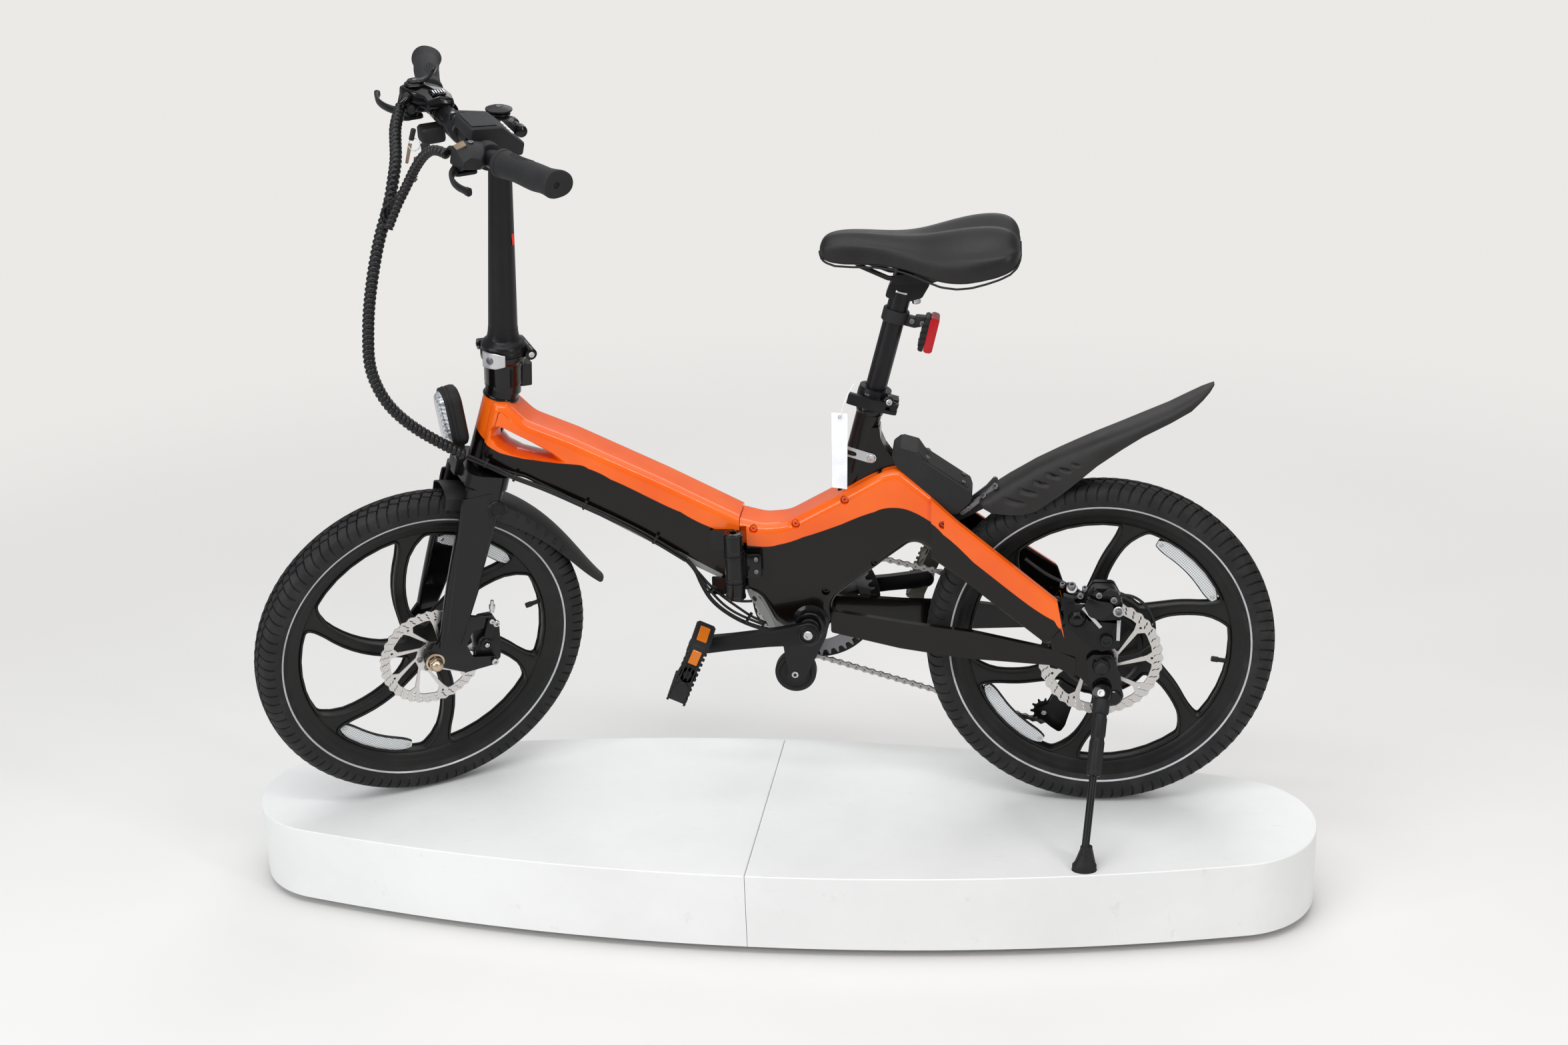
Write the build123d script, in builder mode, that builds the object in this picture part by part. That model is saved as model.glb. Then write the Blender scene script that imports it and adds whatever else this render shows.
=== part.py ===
"""Folding electric bicycle standing on its oval two-piece display plinth.

Millimetres, +Z up.  The bicycle faces -X and its left side faces -Y.  The origin lies on the
floor under the bicycle's plane of symmetry, midway along the plinth's length.  Heights of the
bicycle are measured from a datum line, which side(), level() and at() add: the frame keeps its
place over it, the axles move away from the frame as the tyres grow, and with tyres of this size
the line lies on the plinth's top.
"""

from build123d import *
from math import acos, atan2, cos, degrees, hypot, pi, radians, sin, tan
import os

# ---------------------------------------------------------------- driving dimensions
# plinth
PLINTH_LENGTH = 1611
PLINTH_WIDTH = 436
PLINTH_HEIGHT = 130
PLINTH_END_R = 136
PLINTH_PLACE = (18, -44)
PLINTH_TURN = -2.1
PLINTH_WALL = 18
PLINTH_SEAM_X = -12
PLINTH_SEAM_GAP = 0.8
PLINTH_RECESS = 22
PLINTH_RECESS_HEIGHT = 14

# running gear
RIM_R = 209
RIM_DEPTH = 18
RIM_INNER_R = RIM_R - RIM_DEPTH
TYRE_HEIGHT = 45
TYRE_R = RIM_R + TYRE_HEIGHT
TYRE_HALF_WIDTH = 26
TYRE_TOP_Z = 508.3
REAR_TYRE_FRONT_X = 251
FRONT_TYRE_REAR_X = -260
AXLE_Z = TYRE_TOP_Z - TYRE_R
REAR_AXLE_X = REAR_TYRE_FRONT_X + TYRE_R
FRONT_AXLE_X = FRONT_TYRE_REAR_X - TYRE_R
WHEEL_LIFT = 0.3
DATUM_Z = PLINTH_HEIGHT + WHEEL_LIFT + TYRE_R - AXLE_Z
STAND_TOP_Z = PLINTH_HEIGHT + WHEEL_LIFT - DATUM_Z
RIM_HALF_WIDTH = 15
SPOKES = 6
SPOKE_WIDTH = 15
SPOKE_HALF_DEPTH = 9
SPOKE_SWIRL = 18
FRONT_SPOKE_END = 91
REAR_SPOKE_END = 75
AXLE_R = 5
AXLE_FIT = 0.05
FRONT_HUB_R = 27
FRONT_HUB_HALF = 54.5
REAR_MOTOR_R = 62
REAR_MOTOR_HALF = 42
REAR_HUB_HALF = 69.5
ROTOR_THICKNESS = 2
FRONT_ROTOR_R = 80
FRONT_ROTOR_Y = -45
REAR_ROTOR_R = 90
REAR_ROTOR_Y = -57
ROTOR_SEAT_R = 11
ROTOR_BAND = 16
DROPOUT_GAP = 0.5
DROPOUT_THICKNESS = 6

# steering
HEAD_ANGLE = 73
HEAD_TOP = (-360, 641)
HEAD_BOTTOM_Z = 536
HEAD_R = 25
STEERER_R = 15
STEERER_CLEARANCE = 0.3
STEERING_TURN = degrees(0.552)
CROWN_THICKNESS = 22
CROWN_CLEARANCE = 0.6
CROWN_DEPTH = 66
CROWN_SWEEP_R = 70
CROWN_SET_BACK = -8
BLADE_WIDTH = 18
BLADE_INNER_Y = 37
FORK_INNER_Y = 55
STEM_R = 27
STEM_FLANGE_R = 32
POST_HINGE_Y = 33
POST_HINGE_GAP = 0.3
POST_KNUCKLE_R = 8
POST_KNUCKLE_HALF = 12
POST_PIN_R = 3

# frame
FRAME_HALF_WIDTH = 38
FRAME_EDGE_R = 13
SEAM_X = -16
SEAM_GAP = 0.6
HINGE_X = -23
HINGE_Y = -56
HINGE_TOP_Z = 445
HINGE_LENGTH = 100
HINGE_R = 14
HINGE_PIN_R = 5
HINGE_PIN_FIT = 0.06
HINGE_GAP = 0.4
LATCH_X = -42
LATCH_Y = 50
LATCH_Z = 420
LATCH_PIN_R = 3
BB_X = 84
BB_Z = 300
BB_R = 21
BB_HALF = 40
BB_LEFT = 60
ARM_THICKNESS = 15
ARM_START_X = 262
ARM_END_Y = 81
STAY_THICKNESS = 10
STAY_START_Y = 24
GUSSET_HALF = 17
SPINE_SCREWS = ((4, 444), (66, 452), (138, 489), (180, 392), (107, 348))
ARM_SCREW = (279, 455)
ARM_SCREW_Y = -46
SCREW_POCKET_R = 6.2
SCREW_POCKET_DEPTH = 9
SCREW_HEAD_R = 4.6
SCREW_HEAD_HEIGHT = 3
SCREW_SOCKET_R = 2.6
BATTERY = (236, 60, 62)
BATTERY_CLEARANCE = 1

# seat
SEAT_ANGLE = 74.5
SEAT_TUBE_TOP = (182, 640)
SEAT_TUBE_LENGTH = 150
SEAT_TUBE_R = 18.5
SEATPOST_R = 15
SEATPOST_FIT = 0.1
SEATPOST_RISE = 158
SEATPOST_INSERT = 95
SEAT_TRAVEL = 85

# cranks
CRANK_LENGTH = 165
CRANK_ANGLE = 187
CRANK_ARM_Y = 82
CRANK_ARM_THICKNESS = 12
SPINDLE_R = 8
SPINDLE_FIT = 0.08
PEDAL_LENGTH = 90
PEDAL_WIDTH = 98
PEDAL_THICKNESS = 27
PEDAL_AXLE_R = 6
PEDAL_GAP = 8
PEDAL_TILT = 66
CHAIN_Y = 45.4
CHAINRING_TEETH = 44
SPROCKET_TEETH = 16
CHAIN_PITCH = 12.7
CHAIN_WIDTH = 6.4
CHAIN_HALF_HEIGHT = 4.5
CHAIN_CLEARANCE = 0.35
PULLEY_R = 18
GUIDE_PULLEY = (REAR_AXLE_X - 27, AXLE_Z - 58.3)
TENSION_PULLEY = (REAR_AXLE_X - 79, AXLE_Z - 135.3)
PULLEY_BOLT_R = 3
SUPPORT_WHEEL = (56, 207)
SUPPORT_WHEEL_R = 31
SUPPORT_WHEEL_Y = -8

# handlebar
POST_BASE = (-352, 708)
POST_ANGLE = 86.6
POST_LENGTH = 330
POST_BASE_R = 21
POST_TOP_R = 16
BAR_X = -387
BAR_Z = 1047
BAR_R = 12.7
BAR_HALF = 287
BAR_STRAIGHT_HALF = 135
BAR_BACKSWEEP = 36
BAR_RISE = 9
GRIP_R = 17
GRIP_LENGTH = 126

# kickstand
STAND_PIVOT = (REAR_AXLE_X + 2, -96, AXLE_Z - 38.3)
STAND_AXIS = (-0.25, -0.87, 0.425)
STAND_FOOT = (REAR_AXLE_X - 25, -224)
STAND_PIN_R = 4

# cords
HARNESS_R = 8
BUNDLE_R = 5.5
LOOP_CORD_R = 4

HEAD_COS = cos(radians(HEAD_ANGLE))
HEAD_SIN = sin(radians(HEAD_ANGLE))


# ---------------------------------------------------------------- places and helpers
def at(x, y, z):
    """A point of the bicycle, its height measured from the datum line."""
    return (x, y, DATUM_Z + z)


def by_rear_axle(*points):
    """Side-view points that are given from the rear axle."""
    return [(REAR_AXLE_X + x, AXLE_Z + z) for x, z in points]


def by_front_axle(*points):
    """Side-view points that are given from the front axle."""
    return [(FRONT_AXLE_X + x, AXLE_Z + z) for x, z in points]


def side(y):
    """The vertical plane at this y, seen from the bicycle's left: x to the rear, z up."""
    return Plane(origin=at(0, y, 0), x_dir=(1, 0, 0), z_dir=(0, -1, 0))


def level(z):
    """The horizontal plane at this height above the plinth."""
    return Plane(origin=at(0, 0, z), x_dir=(1, 0, 0), z_dir=(0, 0, 1))


def slanted_side(start, end):
    """The vertical plane through two plan points; local x runs from start, z is the height."""
    run = (end[0] - start[0], end[1] - start[1])
    size = hypot(*run)
    along = (run[0] / size, run[1] / size, 0)
    return Plane(origin=at(start[0], start[1], 0), x_dir=along, z_dir=(along[1], -along[0], 0))


def wheel_section(axle_x):
    """The plane of a wheel's half section: local x across the wheel, local y the radius."""
    return Plane(origin=at(axle_x, 0, AXLE_Z), x_dir=(0, 1, 0), z_dir=(1, 0, 0))


def wheel_face(axle_x, y):
    """The plane of a wheel's side at this y, centred on its axle."""
    return Plane(origin=at(axle_x, y, AXLE_Z), x_dir=(1, 0, 0), z_dir=(0, -1, 0))


def wheel_axis(axle_x):
    return Axis(at(axle_x, 0, AXLE_Z), (0, 1, 0))


def on_head_axis(z):
    """The steering axis' x at this height."""
    return HEAD_TOP[0] + (z - HEAD_TOP[1]) * HEAD_COS / HEAD_SIN


def head_plane(z):
    """The plane square to the steering axis where the axis has this height."""
    return Plane(origin=at(on_head_axis(z), 0, z), x_dir=(HEAD_SIN, 0, -HEAD_COS),
                 z_dir=(HEAD_COS, 0, HEAD_SIN))


STEERING_AXIS = Axis(at(HEAD_TOP[0], 0, HEAD_TOP[1]), (HEAD_COS, 0, HEAD_SIN))
POST_DIRECTION = (cos(radians(POST_ANGLE)), 0, sin(radians(POST_ANGLE)))
SEAT_DIRECTION = (cos(radians(SEAT_ANGLE)), 0, sin(radians(SEAT_ANGLE)))


def post_plane(rise):
    """The plane square to the handlepost, this far above its hinge."""
    origin = at(POST_BASE[0] + rise * POST_DIRECTION[0], 0, POST_BASE[1] + rise * POST_DIRECTION[2])
    return Plane(origin=origin, x_dir=(POST_DIRECTION[2], 0, -POST_DIRECTION[0]), z_dir=POST_DIRECTION)


def seat_plane(rise):
    """The plane square to the seat tube, this far above the tube's top."""
    origin = at(SEAT_TUBE_TOP[0] + rise * SEAT_DIRECTION[0], 0,
                SEAT_TUBE_TOP[1] + rise * SEAT_DIRECTION[2])
    return Plane(origin=origin, x_dir=(SEAT_DIRECTION[2], 0, -SEAT_DIRECTION[0]), z_dir=SEAT_DIRECTION)


def save(builder, label):
    builder.part.label = label
    export_step(builder.part, f"parts/{label}.step")


def save_turned(builder, label):
    """Write a piece that the fork carries, turned with the steering."""
    builder.part = builder.part.rotate(STEERING_AXIS, STEERING_TURN)
    save(builder, label)


def corner_radii(points):
    """The largest arcs that a cord's runs leave room for, one for each inner corner."""
    radii = []
    for before, corner, after in zip(points, points[1:], points[2:]):
        run_in = Vector(*corner) - Vector(*before)
        run_out = Vector(*after) - Vector(*corner)
        shorter = min(run_in.length, run_out.length)
        radii.append(0.45 * shorter / tan(radians(run_in.get_angle(run_out)) / 2))
    return radii


def make_cord(label, points, radius):
    """A cord along its route: straight runs joined by tangent arcs."""
    places = [at(*point) for point in points]
    radii = corner_radii(places)
    with BuildPart() as cord:
        with BuildLine() as route:
            FilletPolyline(*places, radius=radii)
        with BuildSketch(Plane(origin=route.line @ 0, z_dir=route.line % 0)):
            Circle(radius)
        sweep()
    length = sum(edge.length for edge in route.line.edges())
    print(label, "radii", [round(r) for r in radii], "length", round(length),
          "volume over section times length", round(cord.part.volume / (pi * radius**2 * length), 4))
    return cord


# ---------------------------------------------------------------- plinth
def plinth_plane(z):
    turn = radians(PLINTH_TURN)
    return Plane(origin=(*PLINTH_PLACE, z), x_dir=(cos(turn), sin(turn), 0), z_dir=(0, 0, 1))


def plinth_outline(inset):
    """The oval: two end arcs tangent to two long side arcs."""
    half = PLINTH_LENGTH / 2 - inset
    breadth = PLINTH_WIDTH / 2 - inset
    end_r = PLINTH_END_R - inset
    side_r = ((half - end_r) ** 2 + breadth**2 - end_r**2) / (2 * (breadth - end_r))
    reach = hypot(half - end_r, side_r - breadth)
    meet = (side_r * (half - end_r) / reach, breadth - side_r + side_r * (side_r - breadth) / reach)
    with BuildLine() as outline:
        ThreePointArc((-meet[0], meet[1]), (0, breadth), meet)
        ThreePointArc(meet, (half, 0), (meet[0], -meet[1]))
        ThreePointArc((meet[0], -meet[1]), (0, -breadth), (-meet[0], -meet[1]))
        ThreePointArc((-meet[0], -meet[1]), (-half, 0), (-meet[0], meet[1]))
    return outline


def plinth_half_sketch(inset, sign, seam_inset):
    """One half of the oval, cut back from the seam."""
    with BuildSketch(mode=Mode.PRIVATE) as sketch:
        with BuildLine():
            add(plinth_outline(inset))
        make_face()
        edge = PLINTH_SEAM_X + sign * (PLINTH_SEAM_GAP / 2 + seam_inset)
        with Locations((edge + sign * PLINTH_LENGTH / 2, 0)):
            Rectangle(PLINTH_LENGTH, PLINTH_WIDTH * 2, mode=Mode.INTERSECT)
    return sketch.sketch


def make_plinth_half(sign):
    with BuildPart() as half:
        with BuildSketch(plinth_plane(PLINTH_RECESS_HEIGHT)):
            add(plinth_half_sketch(0, sign, 0))
        extrude(amount=PLINTH_HEIGHT - PLINTH_RECESS_HEIGHT)
        with BuildSketch(plinth_plane(PLINTH_RECESS_HEIGHT)):
            add(plinth_half_sketch(PLINTH_WALL, sign, PLINTH_WALL))
        extrude(amount=PLINTH_HEIGHT - PLINTH_RECESS_HEIGHT - PLINTH_WALL, mode=Mode.SUBTRACT)
        chamfer(half.faces().sort_by(Axis.Z)[-1].edges(), length=1.2)
    return half


def make_plinth_boards():
    """The dark base boards that close each half from below, set back from its wall."""
    with BuildPart() as boards:
        for sign in (-1, 1):
            with BuildSketch(plinth_plane(0)):
                add(plinth_half_sketch(PLINTH_RECESS, sign, 2))
            extrude(amount=PLINTH_RECESS_HEIGHT)
    return boards


# ---------------------------------------------------------------- wheels
def make_tyre(axle_x):
    bead_half = RIM_HALF_WIDTH - 1
    shoulder_r = TYRE_R - 12
    with BuildPart() as tyre:
        with BuildSketch(wheel_section(axle_x)):
            with BuildLine():
                Line((-bead_half, RIM_R), (bead_half, RIM_R))
                Spline((bead_half, RIM_R), (TYRE_HALF_WIDTH, (RIM_R + shoulder_r) / 2 + 4),
                       (TYRE_HALF_WIDTH - 4, shoulder_r), tangents=[(0.8, 0.6), (-0.5, 1)])
                ThreePointArc((TYRE_HALF_WIDTH - 4, shoulder_r), (0, TYRE_R),
                              (4 - TYRE_HALF_WIDTH, shoulder_r))
                Spline((4 - TYRE_HALF_WIDTH, shoulder_r),
                       (-TYRE_HALF_WIDTH, (RIM_R + shoulder_r) / 2 + 4),
                       (-bead_half, RIM_R), tangents=[(-0.5, -1), (0.8, -0.6)])
            make_face()
        revolve(axis=wheel_axis(axle_x))
    return tyre


def spoke_face(hub_r, end_angle):
    """One swirled spoke, wider where it runs into the rim."""
    def polar(radius, angle):
        return (radius * cos(radians(angle)), radius * sin(radians(angle)))

    def half_angle(radius, half_width):
        return degrees(half_width / radius)

    root_r = hub_r - 6
    tip_r = RIM_INNER_R + 4
    knee_r = RIM_INNER_R - 18
    middle_r = (root_r + knee_r) / 2
    rows = []
    for radius, width in ((root_r, SPOKE_WIDTH + 4), (middle_r, SPOKE_WIDTH),
                          (knee_r, SPOKE_WIDTH + 1), (tip_r, SPOKE_WIDTH * 3)):
        lag = SPOKE_SWIRL * (tip_r - radius) / (tip_r - 58)
        rows.append((radius, end_angle + lag, half_angle(radius, width / 2)))
    ahead = [polar(r, a + h) for r, a, h in rows]
    behind = [polar(r, a - h) for r, a, h in rows]
    with BuildSketch(mode=Mode.PRIVATE) as spoke:
        with BuildLine():
            Spline(*ahead)
            Line(ahead[-1], behind[-1])
            Spline(*reversed(behind))
            Line(behind[0], ahead[0])
        make_face()
    return spoke.sketch


def make_cast_wheel(axle_x, hub_r, end_angle):
    """Cast magnesium wheel: rim channel with swirled spokes."""
    with BuildPart(mode=Mode.PRIVATE) as wheel:
        with BuildSketch(wheel_section(axle_x)):
            with BuildLine():
                Polyline((-RIM_HALF_WIDTH, RIM_R), (-RIM_HALF_WIDTH, RIM_R - 9), (-9, RIM_INNER_R),
                         (9, RIM_INNER_R), (RIM_HALF_WIDTH, RIM_R - 9), (RIM_HALF_WIDTH, RIM_R),
                         close=True)
            make_face()
        revolve(axis=wheel_axis(axle_x))
        for index in range(SPOKES):
            with BuildSketch(wheel_face(axle_x, 0)):
                add(spoke_face(hub_r, end_angle + index * 360 / SPOKES))
            extrude(amount=SPOKE_HALF_DEPTH, both=True)
    return wheel.part


def make_front_wheel():
    with BuildPart() as wheel:
        add(make_cast_wheel(FRONT_AXLE_X, FRONT_HUB_R, FRONT_SPOKE_END))
        with BuildSketch(wheel_section(FRONT_AXLE_X)):
            with BuildLine():
                Polyline((-FRONT_HUB_HALF, 0), (-FRONT_HUB_HALF, 9), (FRONT_ROTOR_Y, ROTOR_SEAT_R),
                         (FRONT_ROTOR_Y + ROTOR_THICKNESS / 2, ROTOR_SEAT_R),
                         (FRONT_ROTOR_Y + ROTOR_THICKNESS / 2, 20), (-36, FRONT_HUB_R - 4),
                         (-22, FRONT_HUB_R), (22, FRONT_HUB_R), (36, FRONT_HUB_R - 9), (42, 11),
                         (FRONT_HUB_HALF, 9), (FRONT_HUB_HALF, 0), close=True)
            make_face()
        revolve(axis=wheel_axis(FRONT_AXLE_X))
        with BuildSketch(wheel_face(FRONT_AXLE_X, 0)):
            Circle(AXLE_R + AXLE_FIT)
        extrude(amount=FRONT_HUB_HALF + 1, both=True, mode=Mode.SUBTRACT)
    return wheel


def make_hub_motor():
    """Rear hub motor: flat drum with a shaft bore and a rotor flange on the left."""
    with BuildPart() as motor:
        with BuildSketch(wheel_section(REAR_AXLE_X)):
            with BuildLine():
                Polyline((-REAR_HUB_HALF + 4, 0), (-REAR_HUB_HALF + 4, 12), (-56, 14), (-56, 22),
                         (-REAR_MOTOR_HALF, 24), (-REAR_MOTOR_HALF + 6, REAR_MOTOR_R - 7),
                         (-REAR_MOTOR_HALF + 14, REAR_MOTOR_R), (-SPOKE_HALF_DEPTH, REAR_MOTOR_R),
                         (SPOKE_HALF_DEPTH, REAR_MOTOR_R), (24, REAR_MOTOR_R), (33, REAR_MOTOR_R - 7),
                         (36, 20), (40, 12), (40, 0), close=True)
            make_face()
        revolve(axis=wheel_axis(REAR_AXLE_X))
        with BuildSketch(wheel_face(REAR_AXLE_X, 0)):
            Circle(AXLE_R + 1 + AXLE_FIT)
        extrude(amount=REAR_HUB_HALF + 1, both=True, mode=Mode.SUBTRACT)
    return motor


def make_rear_wheel():
    with BuildPart() as wheel:
        add(make_cast_wheel(REAR_AXLE_X, REAR_MOTOR_R + 12, REAR_SPOKE_END))
        with BuildSketch(wheel_face(REAR_AXLE_X, 0)):
            Circle(REAR_MOTOR_R + 14)
        extrude(amount=SPOKE_HALF_DEPTH, both=True)
        with BuildSketch(wheel_face(REAR_AXLE_X, 0)):
            Circle(REAR_MOTOR_R)
        extrude(amount=SPOKE_HALF_DEPTH + 1, both=True, mode=Mode.SUBTRACT)
    return wheel


def make_rotor(axle_x, y, outer_r, bore_r, arms):
    """Brake disc: swept arms from a centre ring to the slotted braking band."""
    inner_band_r = outer_r - ROTOR_BAND
    ring_r = bore_r + 8
    with BuildPart() as rotor:
        with BuildSketch(wheel_face(axle_x, y + ROTOR_THICKNESS / 2)):
            Circle(outer_r)
            Circle(inner_band_r, mode=Mode.SUBTRACT)
            Circle(ring_r)
            with PolarLocations(0, arms):
                with Locations(Location(((inner_band_r + ring_r) / 2, 0, 0), (0, 0, 24))):
                    Rectangle(inner_band_r - ring_r + 9, 4.5)
            Circle(bore_r, mode=Mode.SUBTRACT)
            with PolarLocations(outer_r - ROTOR_BAND / 2, arms * 3):
                SlotOverall(9, 3, rotation=35, mode=Mode.SUBTRACT)
        extrude(amount=ROTOR_THICKNESS)
    return rotor


# ---------------------------------------------------------------- frame
def smooth_plate(outline, radii, half_width, edge_r):
    """A thick side-view plate with rounded corners and rounded long edges."""
    with BuildPart(mode=Mode.PRIVATE) as plate:
        with BuildSketch(side(-half_width)):
            with BuildLine():
                FilletPolyline(*outline, radius=radii, close=True)
            make_face()
        extrude(amount=-2 * half_width)
        fillet(plate.faces().filter_by(Axis.Y).edges(), radius=edge_r)
    return plate.part


def battery_plane():
    """The square cross section of the battery bay where it meets the hinge plane."""
    slope = atan2(522 - 408, 262 - 16)
    return Plane(origin=at(SEAM_X, 0, 409), x_dir=(0, 1, 0), z_dir=(-cos(slope), 0, sin(slope)))


def make_front_spine():
    """Front frame half: head tube, hollow battery beam and the slot behind the head."""
    end_x = SEAM_X - SEAM_GAP / 2
    outline = [(end_x + 30, 447), (-124, 518), (-255, 581), (-318, 607), (HEAD_TOP[0] + 14, HEAD_TOP[1] - 6),
               (HEAD_TOP[0] - 6, HEAD_TOP[1] - 4), (on_head_axis(HEAD_BOTTOM_Z) - 6, HEAD_BOTTOM_Z),
               (-366, 529.5), (-328, 520), (-262, 483), (end_x + 30, 330)]
    radii = [8, 150, 90, 45, 5, 5, 5, 10, 30, 60, 8]
    with BuildPart() as spine:
        add(smooth_plate(outline, radii, FRAME_HALF_WIDTH, FRAME_EDGE_R))
        split(bisect_by=Plane.YZ.offset(end_x), keep=Keep.BOTTOM)
        with BuildSketch(head_plane(HEAD_BOTTOM_Z)):
            Circle(HEAD_R + 3)
        extrude(amount=(HEAD_TOP[1] - HEAD_BOTTOM_Z) / HEAD_SIN, taper=1.5)
        with BuildSketch(side(-FRAME_HALF_WIDTH - 1)):
            with BuildLine():
                FilletPolyline((-357, 602), (-349, 576), (-262, 547), radius=3.5, close=True)
            make_face()
        extrude(amount=-2 * FRAME_HALF_WIDTH - 2, mode=Mode.SUBTRACT)
        with BuildSketch(head_plane(HEAD_BOTTOM_Z - 30)):
            Circle(STEERER_R + STEERER_CLEARANCE)
        extrude(amount=200, mode=Mode.SUBTRACT)
        with BuildSketch(head_plane(HEAD_BOTTOM_Z)):
            Circle(CROWN_SWEEP_R)
        extrude(amount=-40, mode=Mode.SUBTRACT)
        with BuildSketch(battery_plane().offset(-40)):
            Rectangle(BATTERY[1] + 2 * BATTERY_CLEARANCE, BATTERY[2] + 2 * BATTERY_CLEARANCE)
        extrude(amount=BATTERY[0] + 45, mode=Mode.SUBTRACT)
    return spine


def make_battery():
    with BuildPart() as battery:
        with BuildSketch(battery_plane().offset(24)):
            RectangleRounded(BATTERY[1], BATTERY[2], 8)
        extrude(amount=BATTERY[0] - 22)
    return battery


def make_rear_spine():
    """Rear frame half: the body round the bottom bracket with the seat tube welded into it."""
    start_x = SEAM_X + SEAM_GAP / 2
    outline = [(start_x - 30, 465), (18, 449), (52, 452), (122, 490), (190, 529), (216, 536),
               (ARM_START_X + 20, 480), (ARM_START_X + 20, 396), (236, 426), (200, 399), (112, 330),
               (118, 300), (96, 274), (62, 274), (30, 295), (8, 340), (start_x - 30, 356)]
    radii = [5, 50, 50, 90, 60, 20, 5, 5, 20, 30, 30, 15, 18, 18, 40, 30, 5]
    with BuildPart() as spine:
        add(smooth_plate(outline, radii, FRAME_HALF_WIDTH, FRAME_EDGE_R))
        split(bisect_by=Plane.YZ.offset(start_x), keep=Keep.TOP)
        split(bisect_by=Plane.YZ.offset(ARM_START_X), keep=Keep.BOTTOM)
        with BuildSketch(seat_plane(0)):
            Circle(SEAT_TUBE_R)
        extrude(amount=-SEAT_TUBE_LENGTH)
        add(slab(rounded_outline([(143, 506), (166, 592), (189, 592), (190, 577), (196, 562), (205, 549),
                                  (220, 532), (200, 512)], 2.5), -GUSSET_HALF, GUSSET_HALF))
        for place in SPINE_SCREWS:
            add(screw_pocket(place, -FRAME_HALF_WIDTH), mode=Mode.SUBTRACT)
        with BuildSketch(seat_plane(1)):
            Circle(SEATPOST_R + SEATPOST_FIT)
        extrude(amount=-SEATPOST_INSERT - SEAT_TRAVEL - 10, mode=Mode.SUBTRACT)
        with BuildSketch(side(0)):
            with Locations((BB_X, BB_Z)):
                Circle(BB_R)
        extrude(amount=BB_HALF + 10, both=True, mode=Mode.SUBTRACT)
        with BuildSketch(side(-FRAME_HALF_WIDTH - 1)):
            with Locations((HINGE_X, HINGE_TOP_Z - HINGE_LENGTH / 2)):
                Rectangle(2 * HINGE_R + 6, HINGE_LENGTH + 8)
        extrude(amount=-10, mode=Mode.SUBTRACT)
    return spine


def screw_pocket(place, face_y):
    """What a counterbored pocket in a left face cuts away, leaving its screw's socket head."""
    floor_y = face_y + SCREW_POCKET_DEPTH
    head_y = floor_y - SCREW_HEAD_HEIGHT
    with BuildPart(mode=Mode.PRIVATE) as pocket:
        add(slab(hull_outline([(*place, SCREW_POCKET_R)]), face_y - 1, floor_y))
        add(slab(hull_outline([(*place, SCREW_HEAD_R)]), head_y, floor_y), mode=Mode.SUBTRACT)
        with BuildSketch(side(floor_y)):
            with Locations(place):
                RegularPolygon(SCREW_SOCKET_R, 6)
        extrude(amount=SCREW_HEAD_HEIGHT)
    return pocket.part


def hinge_plan(z):
    return Plane(origin=at(HINGE_X, HINGE_Y, z), x_dir=(1, 0, 0), z_dir=(0, 0, 1))


def hinge_leaf_z():
    """Heights of the knuckle splits, from the top."""
    top = HINGE_TOP_Z
    return top, top - 0.32 * HINGE_LENGTH, top - 0.74 * HINGE_LENGTH, top - HINGE_LENGTH


def make_front_leaf():
    """Upper and lower knuckles on the plate that is welded to the front half."""
    top, split_high, split_low, bottom = hinge_leaf_z()
    plate_y = -FRAME_HALF_WIDTH - HINGE_Y
    with BuildPart() as leaf:
        for low, high in ((bottom, split_low - HINGE_GAP / 2), (split_high + HINGE_GAP / 2, top)):
            with BuildSketch(hinge_plan(low)):
                Circle(HINGE_R)
                with Locations((-19, plate_y - 3.5)):
                    Rectangle(34, 7)
                with Locations((-9, plate_y / 2 - 1)):
                    Rectangle(10, plate_y)
                Circle(HINGE_PIN_R + HINGE_PIN_FIT, mode=Mode.SUBTRACT)
            extrude(amount=high - low)
        for low in (LATCH_Z - 25, LATCH_Z + 20):
            with BuildSketch(latch_plan(low)):
                Circle(8)
                with Locations((0, (FRAME_HALF_WIDTH - LATCH_Y) / 2)):
                    Rectangle(16, LATCH_Y - FRAME_HALF_WIDTH)
            extrude(amount=5)
        with BuildSketch(latch_plan(LATCH_Z - 25)):
            Circle(LATCH_PIN_R)
        extrude(amount=50)
    return leaf


def latch_plan(z):
    return Plane(origin=at(LATCH_X, LATCH_Y, z), x_dir=(1, 0, 0), z_dir=(0, 0, 1))


def make_latch_lever():
    """Fold latch on the right side: its handle closes across the seam over the keeper."""
    with BuildPart() as lever:
        with BuildSketch(latch_plan(LATCH_Z - 19.6)):
            Circle(7)
        extrude(amount=39.2)
        with BuildSketch(latch_plan(LATCH_Z - 14)):
            with BuildLine():
                FilletPolyline((0, -4), (60, -4), (112, -2), (112, 4), (58, 6), (0, 6), radius=2, close=True)
            make_face()
        extrude(amount=28)
        with BuildSketch(latch_plan(LATCH_Z - 25)):
            Circle(LATCH_PIN_R + 0.06)
        extrude(amount=50, mode=Mode.SUBTRACT)
    return lever


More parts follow.
